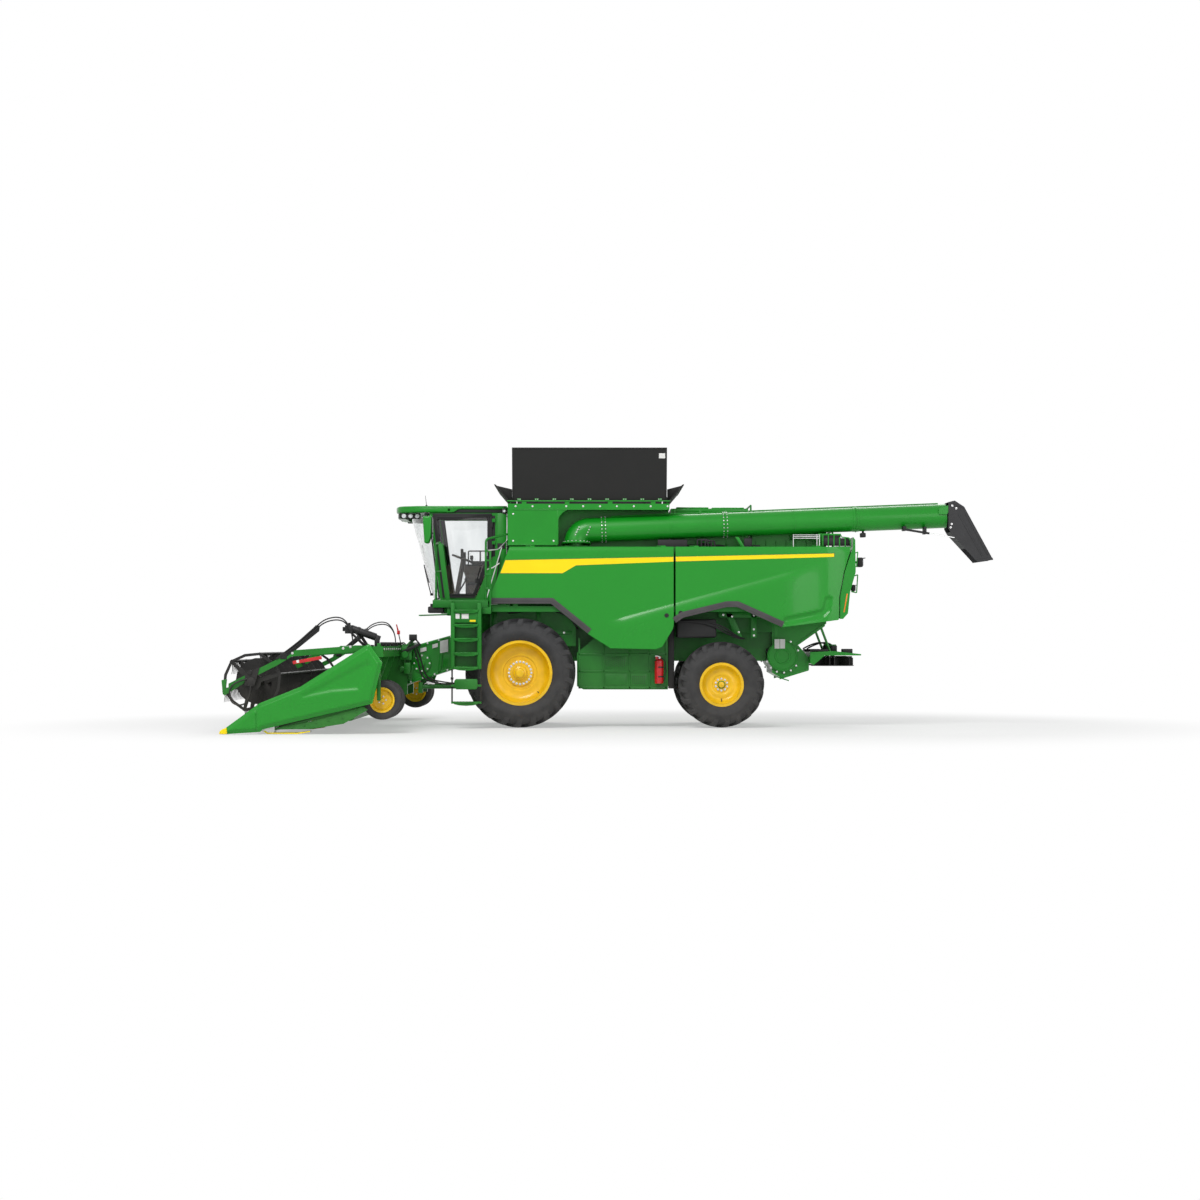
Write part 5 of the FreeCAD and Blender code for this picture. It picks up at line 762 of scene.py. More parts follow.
# ---------------------------------------------------------------- grain tank and covers
# A folded-steel tank with a flanged rim. Black sheet covers stand open round it on hinge
# rods, with hemmed edges, pressed ribs inside and rubber gussets at the four corners.
label_white = surface("label_white", (0.72, 0.72, 0.7), 0.45, tone=0.04, tone_scale=30, grain=400,
    depth=0.0001, dust=0.05, slot="frame_green")
tank_low, tank_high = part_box("grain_tank")
rim = [block((tank_low.x - 0.012, tank_low.y - 0.01, tank_high.z - 0.018),
        (tank_high.x + 0.012, tank_low.y + 0.045, tank_high.z), 0.004),
    block((tank_low.x - 0.012, tank_high.y - 0.045, tank_high.z - 0.018),
        (tank_high.x + 0.012, tank_high.y + 0.01, tank_high.z), 0.004),
    block((tank_low.x - 0.014, tank_low.y, tank_high.z - 0.018),
        (tank_low.x + 0.04, tank_high.y, tank_high.z), 0.004),
    block((tank_high.x - 0.032, tank_low.y, tank_high.z - 0.018),
        (tank_high.x + 0.014, tank_high.y, tank_high.z), 0.004),
    block((tank_low.x + 0.08, tank_low.y - 0.012, 3.872), (tank_high.x - 0.045, tank_low.y + 0.02, 3.886),
        0.003)]
corner = [(-1.112, 3.885), (-1.112, 3.6)] + [(-0.852 - 0.258 * math.cos(a), 3.625 + 0.258 * math.sin(a))
    for a in [math.radians(10 * i) for i in range(10)]] + [(-0.8, 3.885)]
rim.append(slab(corner, tank_low.y + 0.001, tank_low.y + 0.05, 0.004))
rim.append(slab([(-1.12, 3.885), (-1.12, 3.262), (-1.096, 3.262), (-1.096, 3.885)], tank_low.y - 0.003,
        tank_low.y + 0.02, 0.003))
rim.append(block((-1.985, tank_low.y - 0.004, 3.245), (-1.125, tank_low.y + 0.01, 3.262), 0.003))
fit(rim, "tank_rim_and_corners", "chassis", body_green)
rim_bolts = [(x, tank_low.y - 0.004, 3.935) for x in [tank_low.x + 0.14 + i * 0.3 for i in range(10)]]
rim_bolts += [(-1.9, tank_low.y, 3.8), (-1.9, tank_low.y, 3.32), (-1.18, tank_low.y, 3.32),
    (-1.55, tank_low.y, 3.32)]
fit(bolts(rim_bolts, (0, -1, 0), 0.024, 0.01), "tank_bolts", "chassis", bright_steel)

liner = [block((tank_low.x + 0.3, -0.9, 2.62), (tank_high.x - 0.3, -0.84, 2.7), 0.01),
    rod((tank_low.x + 0.05, 0.0, 3.1), (tank_high.x - 0.05, 0.0, 3.1), 0.03, sides=24),
    rod((tank_low.x + 0.05, 0.75, 3.45), (tank_high.x - 0.05, 0.75, 3.45), 0.03, sides=24),
    rod((tank_low.x + 0.05, -0.75, 3.45), (tank_high.x - 0.05, -0.75, 3.45), 0.03, sides=24)]
fit(liner, "tank_cross_ties", "chassis", bright_steel)


def tilted(piece, hinge, degrees, axis):
    """Turns a piece made upright at the origin to a cover's lean, and sets it on its hinge."""
    piece.data.transform(Matrix.Translation(hinge) @ Matrix.Rotation(math.radians(degrees), 4, axis))
    return piece


side_cover_lean, end_cover_lean = 12, 40
side_hinge_out, side_hinge_height, end_hinge_height = 1.44, 4.03, 3.996


def cover_dress(side):
    """Hems, ribs, hinge tabs and label plate of one long side cover."""
    way = -1 if side == "left" else 1
    hinge = Vector((0, way * side_hinge_out, side_hinge_height))
    low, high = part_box(f"{side}_tank_cover")
    x0, x1 = low.x + 0.002, high.x - 0.002
    lean = -way * side_cover_lean
    frame_pieces = [block((x0, -0.012, 0.925), (x1, 0.012, 0.96), 0.005),
        block((x0, -0.011, 0.02), (x0 + 0.03, 0.011, 0.955), 0.005),
        block((x1 - 0.03, -0.011, 0.02), (x1, 0.011, 0.955), 0.005)]
    inner = -way
    for k in range(4):
        x = x0 + (x1 - x0) * (k + 0.5) / 4
        frame_pieces.append(block((x - 0.03, 0, 0.08), (x + 0.03, inner * 0.022, 0.9), 0.006))
    shell = joined(frame_pieces)
    tilted(shell, hinge, lean, "X")
    skirt = block((x0, way * 1.43, 4.042), (x1, way * 1.442, 4.064), 0.004)
    fit(skirt, f"{side}_cover_skirt", f"{side}_cover", cover_black)
    fit(shell, f"{side}_cover_hems", f"{side}_cover", cover_black)
    tabs, heads = [], []
    for k in range(9):
        x = x0 + 0.12 + (x1 - x0 - 0.24) * k / 8
        tabs.append(block((x - 0.035, way * 0.006 - 0.006, -0.01), (x + 0.035, way * 0.006 + 0.006, 0.052),
                0.003))
        heads += [(x - 0.018, way * 0.012, 0.036), (x + 0.018, way * 0.012, 0.036)]
    fittings = joined(tabs)
    screws = bolts(heads, (0, way, 0), 0.014, 0.008)
    for piece in (fittings, screws):
        tilted(piece, hinge, lean, "X")
    fit(fittings, f"{side}_cover_hinges", f"{side}_cover", body_green)
    fit(screws, f"{side}_cover_screws", f"{side}_cover", bright_steel)
    if way < 0:
        plate = block((0.69, -0.0165, 0.77), (0.8, -0.011, 0.86), 0.001, 1)
        tilted(plate, hinge, lean, "X")
        fit(plate, "left_cover_blank_plate", "left_cover", label_white, slot="cover_black")


def end_dress(end):
    """Hems and corner gussets of one short end cover."""
    way = -1 if end == "front" else 1
    hinge = Vector((-1.955 if way < 0 else 0.855, 0, end_hinge_height))
    pieces = [block((-0.01, -1.39, 0.405), (0.012, 1.39, 0.438), 0.005)]
    for y in (-1.39, -0.47, 0.44, 1.36):
        pieces.append(block((0, y, 0.03), (-way * 0.018, y + 0.03, 0.42), 0.005))
    shell = joined(pieces)
    tilted(shell, hinge, end_cover_lean * way, "Y")
    fit(shell, f"{end}_cover_hems", f"{end}_cover", cover_black)
    lean = math.radians(end_cover_lean * way)
    reach = 0.031 if way < 0 else 0.01
    inner = [(-way * (math.cos(lean) * reach + math.sin(abs(lean)) * z),
            math.cos(lean) * z - math.sin(abs(lean)) * reach) for z in (0.254, 0.034)]
    for side in (-1, 1):
        web = slab([(0, 0.03), (0, 0.425)] + inner, side * 1.3 - 0.005, side * 1.3 + 0.005, 0.002)
        tilted(web, hinge, end_cover_lean * way, "Y")
        web = fit(web, f"{end}_{'left' if side < 0 else 'right'}_gusset", f"{end}_cover", cover_black)
        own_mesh(web)


cover_dress("left")
cover_dress("right")
end_dress("front")
end_dress("rear")

# ---------------------------------------------------------------- unloading auger
# A rolled steel tube on a cast elbow. Bolted collars join its lengths, a work lamp hangs
# under it, and a small ram on brackets reaches the rubber spout at its end.
foot = Vector((-0.78, -1.3, 3.262))
along = Vector((0.99919, 0.00419, 0.03991)).normalized()
tube_start = Vector((-0.54, -1.2726, 3.5226))
lean_in = Matrix.Translation(foot) @ Matrix.Rotation(math.radians(-6), 4, "X")


def rect(left, bottom, right, top):
    """A four-cornered outline between two corners."""
    return [(left, bottom), (right, bottom), (right, top), (left, top)]


def on_tube(x):
    """The frame of the tube's axis where it passes a place along the machine."""
    where = tube_start + along * ((x - tube_start.x) / along.x)
    return Matrix.Translation(where) @ along.to_track_quat("Y", "Z").to_matrix().to_4x4()


collars, screws = [], []
for x, count, rows in ((-0.29, 22, 2), (1.88, 22, 2), (4.21, 0, 0)):
    ring = turned([(0.214, -0.055), (0.2195, -0.052), (0.2195, -0.01), (0.23, -0.007), (0.23, 0.007),
            (0.2195, 0.01), (0.2195, 0.052), (0.214, 0.055)], 64)
    ring.data.transform(on_tube(x))
    collars.append(ring)
    for row in range(rows):
        y = -0.032 + row * 0.064
        for start, end in zip(circle(count, 0.219, y), circle(count, 0.23, y)):
            head = rod(start, end, 0.011, sides=6)
            head.data.transform(on_tube(x))
            screws.append(head)
base = turned(rect(0.214, 0.006, 0.262, 0.03), 64)
base.data.transform(Matrix.Rotation(math.radians(90), 4, "X"))
base.data.transform(lean_in)
collars.append(base)
for k in range(20):
    a = 2 * math.pi * k / 20
    head = rod((0.24 * math.cos(a), 0.24 * math.sin(a), 0.028),
        (0.24 * math.cos(a), 0.24 * math.sin(a), 0.042), 0.012, sides=6)
    head.data.transform(lean_in)
    screws.append(head)
for k in range(8):
    z = 3.43 + (k % 4) * 0.045
    x = -0.79 + (k // 4) * 0.2 + (k % 4) * 0.02
    screws.append(rod((x, -1.492 + (k // 4) * 0.004, z), (x, -1.512, z), 0.011, sides=6))
fit(collars, "auger_collars", "auger", body_green)
fit(screws, "auger_screws", "auger", bright_steel)
under = on_tube(4.34)
lamp_pieces = [block((-0.05, -0.055, -0.325), (0.05, 0.045, -0.245), 0.014),
    block((-0.012, -0.02, -0.25), (0.012, 0.02, -0.205), 0.004)]
lamp_body = joined(lamp_pieces)
lamp_body.data.transform(under)
fit(lamp_body, "auger_lamp", "auger", black_plastic)
ram = [rod((5.08, -1.52, 3.52), (5.5, -1.52, 3.452), 0.02, sides=20, bevel=0.003),
    block((5.03, -1.54, 3.5), (5.09, -1.33, 3.58), 0.006),
    block((5.4, -1.535, 3.44), (5.45, -1.33, 3.57), 0.006)]
fit(ram, "spout_ram", "auger", black_steel)
ram_rod = rod((5.3, -1.52, 3.4845), (5.945, -1.52, 3.38), 0.009, sides=14)
alone(ram_rod)
open_mesh()
bpy.ops.mesh.subdivide(number_cuts=6)
close_mesh(outward=False)
ram_rod.name = "spout_ram_rod"
bpy.ops.object.shade_smooth_by_angle(angle=math.radians(35))
ram_rod.data.materials.append(chrome)
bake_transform(ram_rod)
straps = []
for x in (0.9, 3.1, 5.15):
    strap = turned([(0.2145, -0.02), (0.218, -0.018), (0.218, 0.018), (0.2145, 0.02)], 64)
    strap.data.transform(on_tube(x))
    straps.append(strap)
straps.append(pipe([on_tube(x) @ Vector((0, 0, 0.228)) for x in (-0.15, 1.0, 2.4, 3.8, 5.2, 5.7)], 0.011))
fit(straps, "auger_straps_and_conduit", "auger", body_green)

# ---------------------------------------------------------------- auger spout
# A moulded rubber hood on the tube's end, with raised ribs and a thick lip along its mouth.
# Side ears bolt it to the tube's pivot, so that the small ram can tilt it.
spout_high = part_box("auger_spout")[1]
tube_tip = Vector((5.8349, -1.2459, 3.7772))
spout_half = 0.26
cheeks = []
for side in (-1, 1):
    y = tube_tip.y + side * spout_half
    for a, b in (((0.1, 0.215), (0.275, 0.135)), ((0.19, 0.02), (0.6, -0.72)), ((0.3, 0.06), (0.7, -0.7))):
        ax, az, bx, bz = tube_tip.x + a[0], tube_tip.z + a[1], tube_tip.x + b[0], tube_tip.z + b[1]
        way = Vector((bx - ax, bz - az)).normalized() * 0.012
        cheeks.append(slab([(ax - way.y, az + way.x), (bx - way.y, bz + way.x), (bx + way.y, bz - way.x),
                    (ax + way.y, az - way.x)], y, y + side * 0.01, 0.004))
    cheeks.append(slab([(tube_tip.x + 0.5, tube_tip.z - 0.795), (tube_tip.x + 0.79, tube_tip.z - 0.755),
                (tube_tip.x + 0.804, tube_tip.z - 0.794), (tube_tip.x + 0.518, tube_tip.z - 0.834)],
            y - side * 0.004, y + side * 0.012, 0.003))
cheeks = joined(cheeks)
for vertex in cheeks.data.vertices:
    vertex.co.x = min(vertex.co.x, spout_high.x - 0.0005)
fit(cheeks, "spout_ribs", "spout", hood_rubber)
ear_bolts = [(5.9099, tube_tip.y - spout_half - 0.004, 3.9472), (5.98, tube_tip.y - spout_half - 0.004, 3.9),
    (5.9, tube_tip.y - spout_half - 0.004, 3.62), (5.88, tube_tip.y - spout_half - 0.004, 3.56)]
fit(bolts(ear_bolts, (0, -1, 0), 0.026, 0.012), "spout_bolts", "spout", bright_steel)

# ---------------------------------------------------------------- engine deck
# Pressed-steel cowls round the cooler and the air cleaner, with a wire guard, a slotted
# screen on the right, a flared stack, and hoses and boxes in the well below the tube.


def bent(points, radius, corner=0.06, sides=3):
    """A tube of straight runs with tight bends, as a handrail has."""
    route = [Vector(points[0])]
    for before, here, after in zip(points, points[1:], points[2:]):
        before, here, after = Vector(before), Vector(here), Vector(after)
        back, on = (before - here), (after - here)
        cut = min(corner, back.length * 0.45, on.length * 0.45)
        route += [here + back.normalized() * cut, here, here + on.normalized() * cut]
    route.append(Vector(points[-1]))
    full = [route[0]]
    for a, b in zip(route, route[1:]):
        if (b - a).length > 4 * corner:
            full += [a + (b - a).normalized() * 0.02, b - (b - a).normalized() * 0.02]
        full.append(b)
    return pipe(full, radius, sides)


cowl = []
for x in (0.98, 1.45, 1.92, 2.27):
    cowl.append(block((x - 0.02, -1.05, 3.14), (x + 0.02, -1.036, 3.9), 0.004))
cowl.append(block((0.95, -1.048, 3.855), (2.31, -1.03, 3.915), 0.006))
cowl += [block((1.02, -0.98, 3.918), (1.6, 0.3, 3.95), 0.012),
    block((1.66, -0.98, 3.918), (2.24, 0.3, 3.945), 0.012)]
cowl.append(slab([(2.3, 3.9), (2.62, 3.62), (2.62, 3.5), (2.3, 3.5)], -1.03, -0.6, 0.01))
cowl += [block((2.64, -1.035, 3.13), (2.7, -1.0, 3.53), 0.005),
    block((3.62, -1.035, 3.13), (3.68, -1.0, 3.53), 0.005)]
cowl += [block((2.46, -0.96, 3.553), (3.62, -0.02, 3.57), 0.006, 2),
    block((2.46, 0.06, 3.553), (3.62, 0.98, 3.57), 0.006, 2),
    block((1.04, 0.38, 3.918), (2.24, 1.22, 3.936), 0.008, 2)]
for y in (-0.8, -0.2, 0.24, 0.8):
    cowl.append(block((3.6, y - 0.05, 3.56), (3.64, y + 0.05, 3.582), 0.006))
cowl += [bent([(3.7, y - 0.1, 3.4), (3.745, y - 0.1, 3.4), (3.745, y + 0.1, 3.4), (3.7, y + 0.1, 3.4)], 0.009,
        0.02) for y in (-0.5, 0.5)]
fit(cowl, "deck_cowls", "chassis", body_green)
lid_bolts = [(x, y, 3.569) for x in (2.52, 3.04, 3.56) for y in (-0.9, -0.08, 0.12, 0.92)]
lid_bolts += [(x, y, 3.935) for x in (1.1, 1.64, 2.18) for y in (0.44, 1.16)]
fit(bolts(lid_bolts, (0, 0, 1), 0.024, 0.01), "deck_lid_bolts", "chassis", bright_steel)
guard_bars = []
for k in range(5):
    z = 3.365 + k * 0.028
    guard_bars.append(rod((3.05, -1.065, z), (3.62, -1.065, z), 0.007, sides=8))
for x in (3.06, 3.24, 3.43, 3.61):
    guard_bars.append(rod((x, -1.058, 3.345), (x, -1.058, 3.5), 0.007, sides=8))
for k in range(6):
    guard_bars.append(rod((2.45 + k * 0.18, -1.058, 3.18), (2.45 + k * 0.18, -1.058, 3.34), 0.006, sides=8))
fit(guard_bars, "deck_wire_guard", "chassis", body_green)
screen_pieces = [block((0.98, 1.3, 3.16), (2.26, 1.316, 3.88), 0.006)]
for k in range(24):
    z = 3.19 + k * 0.0285
    screen_pieces.append(block((1.01, 1.312, z), (2.23, 1.324, z + 0.012), 0.002, 1))
fit(screen_pieces, "cooler_screen", "chassis", black_plastic)
stack = [rod((2.645, 0.624, 3.6), (2.645, 0.624, 3.8), 0.098, sides=40, bevel=0.01), rod((2.645, 0.624, 3.95),
        (2.645, 0.624, 3.985), 0.072, 0.078, sides=32),
    rod((3.1, -0.3, 3.705), (3.14, -0.3, 3.705), 0.146, sides=40),
    rod((3.44, -0.3, 3.705), (3.48, -0.3, 3.705), 0.146, sides=40), rod((2.78, -0.3, 3.705),
        (2.84, -0.3, 3.705), 0.15, 0.146, sides=40, bevel=0.006)]
fit(stack, "stack_and_cleaner_bands", "chassis", black_steel)
well = []
for k, (x, z) in enumerate(((0.86, 3.2), (1.1, 3.19), (1.35, 3.22), (1.6, 3.19))):
    well.append(pipe([(x, -1.1, 3.13), (x + 0.05, -1.12, z + 0.06), (x + 0.3, -1.12, z + 0.07),
                (x + 0.42, -1.1, 3.13)], 0.018))
well += [block((0.78, -1.2, 3.22), (0.86, -1.1, 3.33), 0.01),
    block((2.38, -1.16, 3.13), (2.52, -1.06, 3.26), 0.012), rod((1.95, -1.15, 3.15), (2.3, -1.15, 3.19),
        0.035, sides=20, bevel=0.004)]
fit(well, "deck_hoses", "chassis", black_plastic, 50)
posts = [bent([(2.36, -1.0, 3.12), (2.36, -1.0, 3.98), (2.36, -0.4, 3.98), (2.36, 0.5, 3.98),
            (2.36, 0.5, 3.12)], 0.016),
    bent([(3.8, -1.3, 3.12), (3.8, -1.3, 3.5), (3.8, 0.9, 3.5), (3.8, 0.9, 3.12)], 0.016)]
fit(posts, "deck_rails", "chassis", frame_green, 50)
# Painted shade: the two thick black blocks stand in for the shade in the deck's recesses, and the thin black
# sheets behind the corner guard for the shade behind it; the bent tubes are hoses.
shade_blocks_and_hoses = [block((0.67, -1.44, 3.19), (1.2, -1.38, 3.345), 0.01),
    block((2.21, -1.43, 3.19), (2.35, -1.37, 3.37), 0.01),
    block((3.62, -1.432, 3.235), (4.1, -1.424, 3.372), 0.002, 1),
    block((3.62, -1.432, 3.37), (3.93, -1.424, 3.44), 0.002, 1)]
shade_blocks_and_hoses += [bent([(1.38 + k * 0.07, -1.42, 3.18), (1.38 + k * 0.07, -1.42, 3.345 - 0.012 * k),
            (1.56 + k * 0.06, -1.42, 3.345 - 0.012 * k), (1.58 + k * 0.06, -1.42, 3.18)], 0.016,
        0.05) for k in range(3)]
fit(shade_blocks_and_hoses, "deck_shade_blocks_and_hoses", "chassis", black_plastic, 45)
corner_line = [(3.6, 3.215), (3.6, 3.452), (3.93, 3.452), (3.955, 3.4), (4.08, 3.385), (4.115, 3.33),
    (4.12, 3.215)]
guard = [slab([a, b, (b[0] + (3.86 - b[0]) * 0.09, b[1] + (3.3 - b[1]) * 0.2),
            (a[0] + (3.86 - a[0]) * 0.09, a[1] + (3.3 - a[1]) * 0.2)], -1.452, -1.43, 0.003) for a,
    b in zip(corner_line, corner_line[1:])]
guard += [block((x, -1.448, 3.22), (x + 0.022, -1.43, 3.44 if x < 3.9 else 3.39), 0.002,
        1) for x in (3.7, 3.8, 3.9, 4.0)]
guard.append(slab([(2.05, 3.395), (2.11, 3.395), (2.23, 3.2), (2.17, 3.2)], -1.452, -1.434, 0.004))
fit(guard, "deck_corner_guard", "chassis", body_green)
slats = [block((3.08, -1.446, z), (3.56, -1.436, z + 0.013), 0.002, 1) for z in (3.362, 3.392, 3.422)]
slats += [block((x, -1.45, 3.2), (x + 0.014, -1.436, 3.44), 0.002, 1) for x in (3.08, 3.5, 3.545)]
fit(slats, "deck_grille_slats", "chassis", bright_steel)

# ---------------------------------------------------------------- cab glass and roof
# Bonded safety glass in black seals, a moulded roof with a deep visor, and lamps set in a
# bar below it. The side door is a slim black frame with a pull handle.
clear_glass = bpy.data.materials.new("clear_glass")
clear_glass.use_nodes = True
glass_tree = clear_glass.node_tree
glass_shader = glass_tree.nodes["Principled BSDF"]
put(glass_shader, Transmission_Weight=1.0, IOR=1.45)
# Painted reflections: pale diagonal streaks in the glass's base colour stand in for light reflected off the
# panes.
reflection_streak_at = glass_tree.nodes.new("ShaderNodeTexCoord")
reflection_streak_map = glass_tree.nodes.new("ShaderNodeMapping")
put(reflection_streak_map, Rotation=(0, math.radians(-28), 0), Scale=(3.2, 1.0, 0.7))
reflection_streak_noise = glass_tree.nodes.new("ShaderNodeTexNoise")
put(reflection_streak_noise, Scale=1.1, Detail=1.0)
painted_reflection_tint = glass_tree.nodes.new("ShaderNodeValToRGB")
painted_reflection_tint.color_ramp.elements[0].position = 0.4
painted_reflection_tint.color_ramp.elements[0].color = (0.84, 0.86, 0.865, 1)
painted_reflection_tint.color_ramp.elements[1].position = 0.6
painted_reflection_tint.color_ramp.elements[1].color = (0.95, 0.965, 0.965, 1)
glass_tree.links.new(reflection_streak_at.outputs["Object"], reflection_streak_map.inputs["Vector"])
glass_tree.links.new(reflection_streak_map.outputs["Vector"], reflection_streak_noise.inputs["Vector"])
glass_tree.links.new(reflection_streak_noise.outputs["Fac"], painted_reflection_tint.inputs["Fac"])
glass_tree.links.new(painted_reflection_tint.outputs["Color"], glass_shader.inputs["Base Color"])
smear = glass_tree.nodes.new("ShaderNodeTexNoise")
put(smear, Scale=2.2, Detail=4.0)
smear_at = glass_tree.nodes.new("ShaderNodeTexCoord")
glass_tree.links.new(smear_at.outputs["Object"], smear.inputs["Vector"])
smear_rough = glass_tree.nodes.new("ShaderNodeMapRange")
put(smear_rough, From_Min=0.45, To_Min=0.0, To_Max=0.03)
glass_tree.links.new(smear.outputs["Fac"], smear_rough.inputs["Value"])
glass_tree.links.new(smear_rough.outputs[0], glass_shader.inputs["Roughness"])
finish_nodes(clear_glass, "cab_windows", "door_glass")
lens_glass = surface("lens_glass", (0.62, 0.64, 0.66), 0.08, tone=0.1, tone_scale=40, grain=220, depth=0.0008,
    dust=0.0, coat=0.6, spec=0.5, slot="clear_glass")
amber = surface("amber_lens", (0.8, 0.22, 0.01), 0.15, tone=0.12, tone_scale=40, grain=260, depth=0.0008,
    dust=0.1, coat=0.4, slot="rim_yellow")
seat_fabric = surface("seat_fabric", (0.135, 0.115, 0.095), 0.85, tone=0.2, tone_scale=30, grain=900,
    depth=0.0012, dust=0.0)

cab_tan = surface("cab_tan", (0.15, 0.122, 0.092), 0.72, tone=0.1, tone_scale=5, grain=380, depth=0.0002,
    dust=0.0, slot="seat_fabric")
lining_cloth = surface("lining_cloth", (0.075, 0.065, 0.055), 0.9, tone=0.08, tone_scale=6, grain=420,
    depth=0.0001, dust=0.0, slot="black_plastic")
finish_nodes(lining_cloth, "cab_controls")

roof_low, roof_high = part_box("cab_roof")
roof_half = roof_high.y
near_half = [(0.06, 0.78), (0.15, 0.88), (0.42, 1.0)]
outline = [(roof_low.x + x, -roof_half * y) for x, y in near_half]
outline += [(roof_high.x, -roof_half), (roof_high.x, roof_half)]
outline += [(roof_low.x + x, roof_half * y) for x, y in reversed(near_half)]
outline += [(roof_low.x, roof_half * 0.5), (roof_low.x, -roof_half * 0.5)]
under_z = roof_high.z - 0.13
cap = slab(outline, roof_high.z - 0.072, roof_high.z - 0.01, 0.026, 3, plane="XY")
brow = slab([(min(x, -3.02), y) for x, y in outline], under_z + 0.0005, roof_high.z - 0.03, 0.03, 3,
    plane="XY")
steps_down = [slab([(-3.1, under_z + 0.002), (-3.1, roof_high.z - 0.05), (-2.78, roof_high.z - 0.05),
            (-2.9, roof_high.z - 0.07), (-2.98, under_z + 0.01)], side * roof_half, side * (roof_half - 0.25),
        0.01) for side in (-1, 1)]
shade = slab(rect(-3.05, -roof_half + 0.03, roof_high.x - 0.02, roof_half - 0.03), under_z + 0.001,
    roof_high.z - 0.06, 0.012, plane="XY")
field_panel = slab([(x * 0.82 + (roof_low.x + roof_high.x) * 0.09, y * 0.8) for x, y in outline],
    roof_high.z - 0.05, roof_high.z, 0.012, 3, plane="XY")
lamp_front = [(roof_low.x + x, roof_half * y) for x, y in ((0.11, -0.76), (0.04, -0.5), (0.04, 0.5),
        (0.11, 0.76), (0.24, 0.76), (0.17, 0.5), (0.17, -0.5), (0.24, -0.76))]
bar = slab(lamp_front, under_z - 0.09, under_z + 0.001, 0.008, plane="XY")
fit([cap, field_panel, brow, bar] + steps_down, "roof_moulding", "chassis", body_green, 40, ["cab_roof"],
    slot="cab_green")
fit(shade, "roof_seal_band", "chassis", black_plastic, 40, ["cab_roof"])
lamps, lenses = [], []
for y in (-0.62, -0.4, -0.18, 0.18, 0.4, 0.62):
    x = roof_low.x + 0.04 + (0.03 if abs(y) > 0.5 else 0)
    lamps.append(rod((x + 0.02, y, under_z - 0.045), (x - 0.012, y, under_z - 0.045), 0.046, sides=24,
            bevel=0.004))
    lenses.append(rod((x - 0.01, y, under_z - 0.045), (x - 0.018, y, under_z - 0.045), 0.038, 0.03, sides=24))
for side in (-1, 1):
    near = side * roof_half * 0.8
    lamps.append(block((roof_low.x + 0.1, near, under_z - 0.105),
            (roof_low.x + 0.46, near + side * 0.05, under_z - 0.004), 0.014))
    for x in (roof_low.x + 0.16, roof_low.x + 0.28, roof_low.x + 0.4):
        lenses.append(rod((x, near + side * 0.05, under_z - 0.055), (x, near + side * 0.058, under_z - 0.055),
                0.04, 0.034, sides=24))
fit(lamps, "roof_lamp_housings", "chassis", black_plastic)
fit(lenses, "roof_lamp_lenses", "chassis", lens_glass)
aerial = [rod((-3.5, -0.62, roof_high.z - 0.002), (-3.5, -0.62, roof_high.z + 0.03), 0.022, 0.016, 20),
    rod((-3.5, -0.62, roof_high.z + 0.03), (-3.52, -0.62, roof_high.z + 0.2), 0.005, 0.003, 8)]
fit(aerial, "roof_aerial", "chassis", black_plastic)
dome = turned([(0.0, -0.04), (0.05, -0.04), (0.085, -0.032), (0.095, -0.012), (0.1, 0.0), (0.0, 0.0)], 32)
dome.data.transform(Matrix.Translation((-3.7, 0.0, roof_high.z - 0.001)) @ Matrix.Rotation(math.radians(-90),
        4, "X"))
fit(dome, "roof_receiver", "chassis", black_plastic)
work_lamp = [block((-2.085, -1.395, 3.805), (-2.03, -1.285, 3.905), 0.012, 3),
    block((-2.032, -1.355, 3.835), (-1.99, -1.325, 3.875), 0.004), rod((-2.058, -1.34, 3.905),
        (-2.058, -1.34, 3.935), 0.01, sides=12),
    pipe([(-2.045, -1.34, 3.84), (-2.03, -1.345, 3.77), (-1.998, -1.35, 3.74)], 0.006)]
fit(work_lamp, "tank_work_lamp", "chassis", black_plastic)
fit([rod((-2.084, -1.34, 3.855), (-2.09, -1.34, 3.855), 0.042, 0.036, 24), rod((-2.058, -1.394, 3.855),
            (-2.058, -1.4, 3.855), 0.024, 0.02, 20)], "tank_work_lamp_lens", "chassis", lens_glass)


def screen_x(y, z):
    """Where the bowed windscreen's outer face is at a place across and a height."""
    t = (z - 2.29) / 1.56
    nose, side = -3.39 - 0.44 * t, -3.242 - 0.19 * t
    return nose + (side - nose) * (y / 0.942) ** 2


wiper = [pipe([(screen_x(0, 2.4) - 0.035, 0, 2.4), (screen_x(0.05, 2.6) - 0.04, 0.05, 2.6),
            (screen_x(0.2, 2.95) - 0.035, 0.2, 2.95)], 0.01),
    pipe([(screen_x(y, z) - 0.012, y, z) for y, z in ((0.02, 2.62), (0.12, 2.85), (0.24, 3.1), (0.34, 3.32))],
        0.008),
    rod((screen_x(0, 2.4), 0, 2.4), (screen_x(0, 2.4) - 0.05, 0, 2.4), 0.024, sides=20, bevel=0.003)]
fit(wiper, "windscreen_wiper", "chassis", black_plastic, 50)
seals = []
for y in (-0.938, 0.938):
    seals.append(pipe([(screen_x(y, z) - 0.002, y, z) for z in (2.3, 2.8, 3.3, 3.84)], 0.014))
seals.append(pipe([(screen_x(y, 2.305) - 0.002, y, 2.305) for y in (-0.93, -0.5, 0, 0.5, 0.93)], 0.013))
fit(seals, "windscreen_seals", "chassis", black_plastic, 50)

